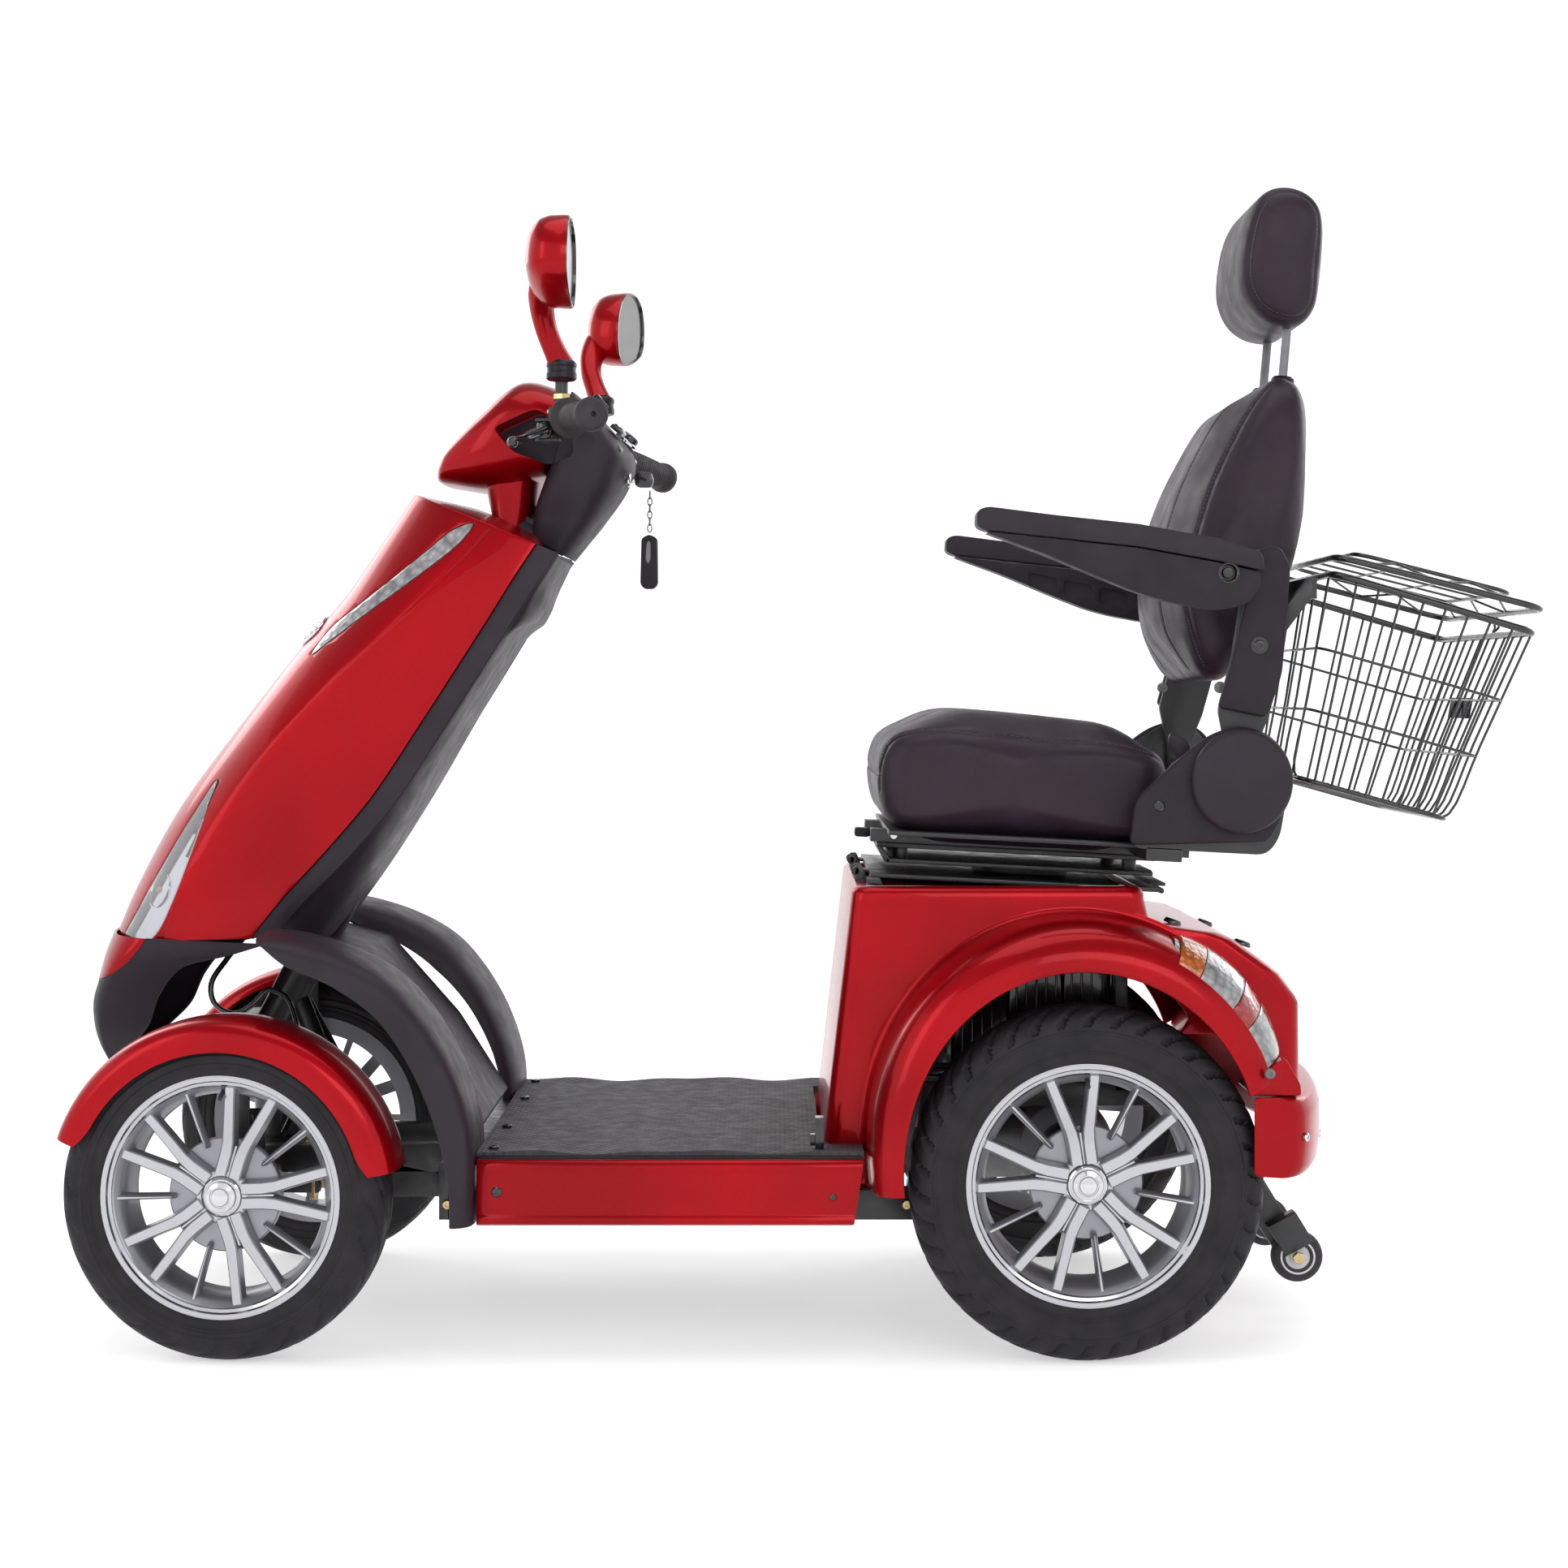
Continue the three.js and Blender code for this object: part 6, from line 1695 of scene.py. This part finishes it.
def sew(obj, lines, depth, width=8.0):
    """Presses seams into a cushion along (points, closed) lines and returns the lines on its surface."""
    laid = [surface_line(obj, points, closed) for points, closed in lines]
    spots = [spot for line in laid for spot, _ in line]
    tree = KDTree(len(spots))
    for index, spot in enumerate(spots):
        tree.insert(PLACE @ spot, index)
    tree.balance()
    normals = [v.normal.copy() for v in obj.data.vertices]
    for vertex, normal in zip(obj.data.vertices, normals):
        _, _, away = tree.find(vertex.co)
        if away < width * MM:
            vertex.co -= normal * (depth * MM * (1 - away / (width * MM)) ** 2)
    return laid


def seam_shapes(laid, depth):
    """A row of stitches beside each pressed seam."""
    shapes = []
    for line in laid:
        for i in range(0, len(line) - 2, 2):
            here, normal = line[i]
            along = line[i + 1][0] - here
            if along.length < 1e-6:
                continue
            side = normal.cross(along).normalized() * STITCH["aside"]
            length = min(STITCH["length"], along.length * 1.3)
            start = here + side - normal * (depth * 0.35)
            shapes.append(rod(start, start + along.normalized() * length, STITCH["radius"], 6, 0.2))
    return both(*shapes)


def cushion(node, body, shape, cap, voxel, lines, depth=2.6, rear_share=1.0):
    """A padded cushion in leather, with its seams pressed in and stitched."""
    obj = raw_object(f"{node}_padded", shape)
    inflate(obj, cap, voxel, rear_share)
    laid = sew(obj, lines, depth)
    dress(obj, LEATHER, body, [node], 60)
    make(f"{node}_stitches", seam_shapes(laid, depth), THREAD, body, sharp=60)


SEAT_HINGE = (57, 553)
SEAT_TILT = math.radians(3)


def seat(u, w):
    """Seat coordinates: u back along the seat from its hinge, w square to it."""
    return (SEAT_HINGE[0] + u * math.cos(SEAT_TILT) + w * math.sin(SEAT_TILT),
            SEAT_HINGE[1] - u * math.sin(SEAT_TILT) + w * math.cos(SEAT_TILT))


def seat_slab(u0, u1, w0, w1, y0, y1):
    """A slab square to the seat."""
    return prism([seat(u0, w0), seat(u1, w0), seat(u1, w1), seat(u0, w1)], y0, y1)


def seat_point(u, y, w):
    """A point in seat coordinates, with its distance across."""
    x, z = seat(u, w)
    return Vector((x, y, z))


SEAT_LINE = [(30, 67), (17, 92), (14, 138), (26, 166), (64, 176), (140, 177), (230, 173), (325, 165),
             (352, 156), (360, 120), (352, 70), (240, 66), (120, 66)]
BACK_LINE = [(468, 792), (449, 838), (443, 890), (453, 945), (473, 1005), (502, 1064), (539, 1126),
             (562, 1151), (586, 1145), (593, 1125), (592, 1060), (585, 972), (568, 908), (541, 854),
             (510, 806), (489, 783)]
HEAD_LINE = [(562, 1388), (543, 1368), (529, 1320), (527, 1274), (540, 1243), (563, 1225), (598, 1221),
             (616, 1238), (624, 1288), (627, 1358), (615, 1379), (590, 1391)]


def cushions():
    """The seat, back and head cushions, and the headrest's posts."""
    side = 212
    seat_seams = []
    rim = ((10, 100, -6), (14, 150, 2), (34, 178, 8), (110, 184, 12), (200, 181, 12),
           (300, 172, 8), (352, 160, 2))
    for _, sign in SIDES:
        seat_seams.append(([seat_point(u, sign * (side + bow), w) for u, w, bow in rim], False))
    seat_seams.append(([seat_point(8, y, 122) for y in (-205, -100, 0, 100, 205)], False))
    for sign in (-1, 1):
        seat_seams.append(([seat_point(u, sign * 112, 190) for u in (26, 120, 220, 345)], False))
    shape = pad_shape([seat(u, w) for u, w in SEAT_LINE], 236, 40)
    cushion("seat_cushion", "seat", shape, 26, 6.5, seat_seams)

    def narrow(share):
        return 1.0 - 0.22 * max(0.0, share - 0.35) ** 1.6 / 0.5 - 0.10 * max(0.0, 0.25 - share) / 0.25

    back_seams = []
    front = [(462, 800), (441, 850), (436, 895), (446, 950), (467, 1010), (497, 1070),
             (533, 1130), (556, 1156)]
    for _, sign in SIDES:
        outer = [(x + 8, sign * (198 - 50 * max(0, (z - 900) / 260) ** 1.5 - 10 * (z < 830)), z)
                 for x, z in front]
        inner = [(x, sign * (105 - 26 * max(0, (z - 900) / 260)), z) for x, z in front]
        back_seams += [(outer, False), (inner, False)]
    cushion("back_cushion", "backrest", pad_shape(BACK_LINE, 221, 44, narrow), 26, 6.5, back_seams,
            rear_share=0.2)
    head_seams = []
    for _, sign in SIDES:
        ring = [(577 + (x - 577) * 1.02, sign * 119, 1306 + (z - 1306) * 1.0) for x, z in HEAD_LINE]
        head_seams.append((ring, True))
    cushion("headrest", "headrest", pad_shape(HEAD_LINE, 121, 30), 16, 5.0, head_seams, 2.2)
    posts = [turned_body([(0, 0), (5.5, 0), (5.5, 166), (0, 166)], (585 - 0.09 * 95, sign * 70, 1080),
                         (0.09, 0, 1), 24) for _, sign in SIDES]
    make("headrest_posts", both(*posts), CAST, "headrest")
    guides = [turned_body([(7.4, -4), (13, -4), (14.5, 0), (14, 5), (11, 8), (7.4, 8.4), (7.4, -4)],
                          (585 - 0.09 * 18, sign * 70, 1153), (0.09, 0, 1), 28) for _, sign in SIDES]
    make("post_guides", both(*guides), SMOOTH_PLASTIC, "backrest")


# ------------------------------------------------------------------ seat base, backrest frame and armrests
def seat_frames():
    """The battery lid, the swivel and slide plates, the levers and the hinge covers."""
    lid = [seat_slab(12, 362, -3, 2, -196, 196), seat_slab(355, 375, 0, 4, -120, 120),
           tube([seat_point(360, -196, -1), seat_point(360, 0, -1), seat_point(360, 196, -1)], 3.4, 10, 2),
           rod(seat_point(206, 0, 0), seat_point(206, 0, 12), 60, 48, 1.5)]
    lid += [rod((SEAT_HINGE[0], sign * 96.6, SEAT_HINGE[1]), (SEAT_HINGE[0], sign * 130.4, SEAT_HINGE[1]),
                4.6, 20, 0.5) for _, sign in SIDES]
    lid += [seat_slab(0, 30, -2, 2, sign * 97, sign * 130) for _, sign in SIDES]
    make("lid_plate", both(*lid), STEEL, "seat_lid", replaces=["seat_lid"], edge=1.2)
    bolts = [screw(seat_point(206 + 48 * math.cos(a), 48 * math.sin(a), 12), (0.05, 0, 1), 4, 0.8)
             for a in [math.radians(60 * i + 15) for i in range(6)]]
    make("lid_bolts", both(*bolts), BRASS, "seat_lid")
    plate = [seat_slab(32, 355, 13, 18, -150, 150),
             prism([seat(20, 31), seat(30, 14), seat(36, 13), seat(36, 18), seat(25, 32)], -150, 150)]
    plate += [rod(seat_point(u, y, 16), seat_point(u, y, 32), 9, 24, 1)
              for y in (-110, 110) for u in (50, 330)]
    plate += [seat_slab(20, 360, 30, 36, sign * 96, sign * 126) for _, sign in SIDES]
    plate += [seat_slab(348, 366, 12.5, 15, -60, 60)]
    make("swivel_plates", both(*plate), STEEL, "swivel", replaces=["swivel_plate"], edge=1.2)
    base = []
    side_plate = filleted([(372, 588), (530, 580), (545, 600), (552, 640), (550, 690), (520, 724),
                           (480, 726), (430, 695), (380, 645)], 12, 4)
    for _, sign in SIDES:
        base += [seat_slab(12, 400, 36.6, 52, sign * 94, sign * 134),
                 prism(side_plate, sign * 262, sign * 268),
                 rod((497, sign * 244, 669), (497, sign * 264, 669), 10, 24, 1),
                 seat_slab(30, 372, 52, 55.5, sign * 205, sign * 234)]
    base += [seat_slab(30, 365, 50, 56, -225, 225), seat_slab(330, 372, 38, 54, -268, 268)]
    make("seat_frame", both(*base), STEEL, "seat", replaces=["seat_base"], edge=1.2)
    rollers = [screw(seat_point(u, sign * 134, 45), (0, sign, 0), 5, 3) for _, sign in SIDES
               for u in (40, 140, 240, 340)]
    rollers += [screw((x, sign * 268.5, z), (0, sign, 0), 5, 0.5) for _, sign in SIDES
                for x, z in ((520, 600), (395, 600))]
    make("slide_bolts", both(*rollers), CHROME, "seat")
    arm = tube([seat_point(60, -70, 42), seat_point(30, -70, 42), seat_point(6, -70, 44)], 4, 14, 5)
    paddle = filleted([seat(-6, 39), seat(12, 39), seat(12, 50), seat(-6, 50)], 3, 3)
    handle = both(arm, prism(paddle, -84, -56))
    make("swivel_handle", handle, SMOOTH_PLASTIC, "swivel_lever",
         replaces=["swivel_lever"], edge=1.5, segments=3)
    recline = filleted([(446, 662), (458, 662), (440, 716), (420, 722), (418, 712)], 4, 4)
    recline = both(rod((452, -256, 668), (452, -236, 668), 6, 20, 1), prism(recline, -244, -236))
    make("recline_handle", recline, SMOOTH_PLASTIC, "recline_lever",
         replaces=["recline_lever"], edge=1.4, segments=3)
    for side, sign in SIDES:
        plate = filleted([(368, 592), (374, 645), (428, 696), (462, 722), (497, 732), (532, 722), (555, 692),
                          (558, 660), (545, 622), (530, 596)], [9, 14, 20, 20, 30, 30, 30, 30, 14, 10], 6)
        boss = [(497 + 59 * math.cos(a), 667 + 61 * math.sin(a)) for a in round_angles(64)]
        cover = raw_object(f"hinge_plate_{side}", prism(plate, sign * 269, sign * 284))
        round_edges(cover, 5, 4)
        dress(cover, PLASTIC, "seat", [f"hinge_cover_{side}"])
        cap = raw_object(f"hinge_cap_{side}", prism(boss, sign * 284.3, sign * 300.5))
        round_edges(cap, 9, 5)
        dress(cap, SHIELD_PLASTIC, "seat")
        make(f"hinge_screw_{side}", screw((402, sign * 284, 638), (0, sign, 0), 6, 2.5),
             GLOSS, "seat")


def backrest_frame():
    """The backrest's posts and bars with their covers, and the armrests."""
    parts = []
    for _, sign in SIDES:
        post = filleted([(486, 655), (508, 655), (516, 700), (532, 738), (547, 792), (552, 860), (552, 922),
                         (545, 936), (520, 938), (470, 925), (462, 905), (470, 892), (500, 880), (490, 810),
                         (474, 750), (484, 700)], 6, 3)
        strut = [(545, 830), (582, 880), (590, 880), (590, 905), (580, 905), (545, 860)]
        parts += [prism(post, sign * 250, sign * 261), prism(strut, sign * 250, sign * 260),
                  rod((477, sign * 270, 908), (477, sign * 318, 908), 6.8, 20, 1)]
    tab = [(589, 884), (604, 878), (606, 894), (589, 902)]
    parts += [block(582, 590, -260, 260, 880, 905), prism(tab, -60, 60),
              block(540, 548, -262, 262, 842, 862)]
    make("backrest_bars", both(*parts), STEEL, "backrest",
         replaces=["backrest_frame"], edge=1.2)
    for side, sign in SIDES:
        cover = filleted([(472, 752), (530, 740), (547, 792), (553, 860), (557, 918), (545, 941), (522, 941),
                          (511, 912), (504, 880), (486, 802)], [8, 10, 8, 8, 20, 14, 14, 20, 20, 10], 6)
        skin = raw_object(f"post_cover_{side}", prism(cover, sign * 261.5, sign * 275))
        round_edges(skin, 4, 4)
        dress(skin, PLASTIC, "backrest")
        seat_of_screw, out = (520, sign * 275, 825), (0, sign, 0)
        washer = [(6.6, -0.5), (10, -0.5), (10, 0.8), (6.6, 0.8), (6.6, -0.5)]
        shape = both(screw(seat_of_screw, out, 6.5, 2.5), turned_body(washer, seat_of_screw, out, 24))
        make(f"post_screw_{side}", shape, GLOSS, "backrest")
        make(f"frame_rivet_{side}", screw((478, sign * 249, 776), (0, -sign, 0), 7, 3),
             CAST, "backrest")
        armrest(side, sign)


def armrest(side, sign):
    """A moulded armrest: a padded top cap over a grained body, with a plug over its pivot."""
    body = f"armrest_{side}"
    low = filleted([(197, 955), (279, 946), (373, 936), (467, 919), (514, 908), (515, 895), (500, 872),
                    (467, 864), (392, 878), (326, 904), (270, 928)],
                    [6, 2, 2, 2, 4, 10, 20, 24, 30, 20, 20], 5)
    shell = raw_object(f"{body}_shell", prism(low, sign * 279.5, sign * 320.5))
    pivot = rod((477, sign * 270, 908), (477, sign * 330, 908), 7.5, 32)
    pockets = []
    for i in range(3):
        pocket = filleted([(300 + 48 * i, 912 - 11 * i), (338 + 48 * i, 903 - 11 * i),
                           (338 + 48 * i, 925 - 10 * i), (300 + 48 * i, 933 - 10 * i)], 6, 3)
        pockets.append(prism(pocket, sign * 274, sign * 282.5))
    cut(shell, pivot, rod((477, sign * 309, 908), (477, sign * 330, 908), 11.8, 32), *pockets)
    round_edges(shell, 3.5, 3, 40)
    dress(shell, PLASTIC, body, [body])
    top = filleted([(187, 962), (188, 980), (200, 984), (279, 974), (373, 964), (467, 947), (516, 931),
                    (518, 910), (467, 921), (373, 938), (279, 948), (196, 957)],
                    [6, 8, 8, 2, 2, 2, 8, 4, 2, 2, 2, 4], 4)
    cap = raw_object(f"{body}_top", prism(top, sign * 277, sign * 323))
    cut(cap, pivot)
    round_edges(cap, 6, 5, 40)
    dress(cap, SHIELD_PLASTIC, body, sharp=50)
    plug = turned_body([(0, -9), (8.6, -9), (9.6, -8), (9.8, 0.2), (11, 0.9), (12, 0.4), (12, -11), (0, -11)],
                       (477, sign * 320.5, 908), (0, sign, 0), 32)
    make(f"{body}_plug", plug, GLOSS, body)


# ------------------------------------------------------------------ basket
BASKET_TOP = [(616, 910), (853, 840)]
BASKET_BOTTOM = [(580, 668), (762, 618)]
BASKET_WIRE = 1.6


def basket_point(along, side, down):
    """A point on the basket: along 0 front to 1 rear, side -1 to 1, down 0 rim to 1 floor."""
    top = Vector(BASKET_TOP[0]).lerp(Vector(BASKET_TOP[1]), along)
    bottom = Vector(BASKET_BOTTOM[0]).lerp(Vector(BASKET_BOTTOM[1]), along)
    p = top.lerp(bottom, down)
    return Vector((p.x, side * (235 - 45 * down), p.y))


def rounded_loop(corners, reach, radius, sides=12):
    """A closed wire with rounded corners."""
    path = []
    count = len(corners)
    for i, here in enumerate(corners):
        before, after = corners[i - 1], corners[(i + 1) % count]
        a = here + (before - here).normalized() * reach
        b = here + (after - here).normalized() * reach
        for k in range(7):
            t = k / 6
            path.append(a * (1 - t) ** 2 + here * 2 * t * (1 - t) + b * t ** 2)
    return tube(path, radius, sides, 0, closed=True)


def ring_at_depth(down, radius, grow=0.0):
    """A ring of wire round the basket."""
    return rounded_loop([basket_point(a, s, down) + Vector((grow * (2 * a - 1), grow * s, 0))
                         for a, s in ((0, -1), (1, -1), (1, 1), (0, 1))], 26, radius)


def basket():
    """The wire basket: rings at four depths, upright wires, floor wires, hooks and a plain plate."""
    def wire(per_span, *places, lift=0.0):
        points = [basket_point(*place) + Vector((0, 0, lift)) for place in places]
        return tube(points, BASKET_WIRE, 8, per_span)

    wires = [ring_at_depth(0.0, 4.4), ring_at_depth(0.36, 1.7), ring_at_depth(0.66, 1.7),
             ring_at_depth(1.0, 3.0, -2)]
    for i in range(1, 9):
        wires += [wire(3, (i / 9, side, 0), (i / 9, side, 0.5), (i / 9, side, 1)) for side in (-1, 1)]
    for i in range(12):
        s = -0.92 + 1.84 * i / 11
        wires.append(wire(4, (1, s, 0), (1, s, 0.6), (1, s, 0.97), (0.95, s, 1), (0.88, s, 1)))
    for i in range(6):
        s = -0.85 + 1.7 * i / 5
        wires.append(wire(4, (0, s, 0), (0, s, 0.6), (0, s, 0.97), (0.05, s, 1), (0.5, s, 1), (1, s, 1)))
    for i in range(1, 5):
        wires.append(wire(3, (i / 5, -1, 1), (i / 5, 0, 1), (i / 5, 1, 1), lift=2.5))
    hooks = [tube([(590, y, 888), (598, y, 898), (608, y, 904), (617, y, 908)], 3, 10, 4) for y in (-52, 52)]
    make("basket_wires", both(*wires, *hooks), WIRE, "backrest", replaces=["basket"], sharp=60)
    a = basket_point(1, 0, 0.40)
    outline = [(a.x - 1, a.z - 14), (a.x + 4, a.z - 14), (a.x + 9, a.z + 12), (a.x + 4, a.z + 12)]
    plate = prism(filleted(outline, 1, 2), -48, 48)
    make("basket_badge_plate", plate, SMOOTH_PLASTIC, "backrest", edge=0.8)
    lid()


def lid():
    """The wire lid: a rim, a raised inner frame and zigzag wires."""
    front, rear = Vector((618, 0, 930)), Vector((862, 0, 868))
    half, raised = 243, 13
    near, far, wide = 0.12, 0.88, 0.84      # the raised frame's place within the rim

    def at(along, side, up=0.0):
        p = front.lerp(rear, along)
        return Vector((p.x, side * half, p.z + up))

    def wire(*points):
        return tube(points, 1.5, 8, 2)

    def zigzag(count, rim_at, frame_at):
        """Wires that run to and fro between the rim and the raised frame."""
        for k in range(count):
            start, end = (frame_at(k), rim_at(k + 1)) if k % 2 else (rim_at(k), frame_at(k + 1))
            wires.append(wire(start, end))

    wires = [rounded_loop([at(0, -1), at(1, -1), at(1, 1), at(0, 1)], 30, 4),
             rounded_loop([at(near, -wide, raised), at(far, -wide, raised), at(far, wide, raised),
                           at(near, wide, raised)], 26, 2.6)]
    for _, sign in SIDES:
        zigzag(4, lambda k: at(0.14 + 0.18 * k, sign), lambda k: at(0.14 + 0.18 * k, sign * wide, raised))
    for edge, inner in ((0, near), (1, far)):
        zigzag(6, lambda k: at(edge, -0.82 + 1.64 * k / 6), lambda k: at(inner, -0.82 + 1.64 * k / 6, raised))
    for k in range(1, 5):
        side = wide * (0.4 * k - 1)
        wires.append(wire(*[at(t, side, raised) for t in (near, 0.5, far)]))
    for k in range(1, 3):
        t = near + (far - near) * k / 3
        wires.append(wire(*[at(t, side, raised) for side in (-wide, 0, wide)]))
    make("lid_wires", both(*wires), WIRE, "basket_lid", replaces=["basket_lid"], sharp=60)
    loop = [at(1, -0.05, 0), at(1.02, -0.04, -14), at(1.0, 0, -22), at(1.02, 0.04, -14), at(1, 0.05, 0)]
    catch = tube(loop, 1.6, 10, 6)
    make("lid_catch", catch, WIRE, "basket_lid")


set_stage()
for side, sign in SIDES:
    for end in ("front", "rear"):
        wheel(end, side, sign)
    front_fender(side, sign)
    inner_arch(side, sign)
    sill(side, sign)
front_cowl()
leg_shield()
floor_mat()
rear_body()
rear_bumper()
chassis_frame()
tiller_bodies()
tiller_bars()
controls()
seat_frames()
backrest_frame()
cushions()
basket()
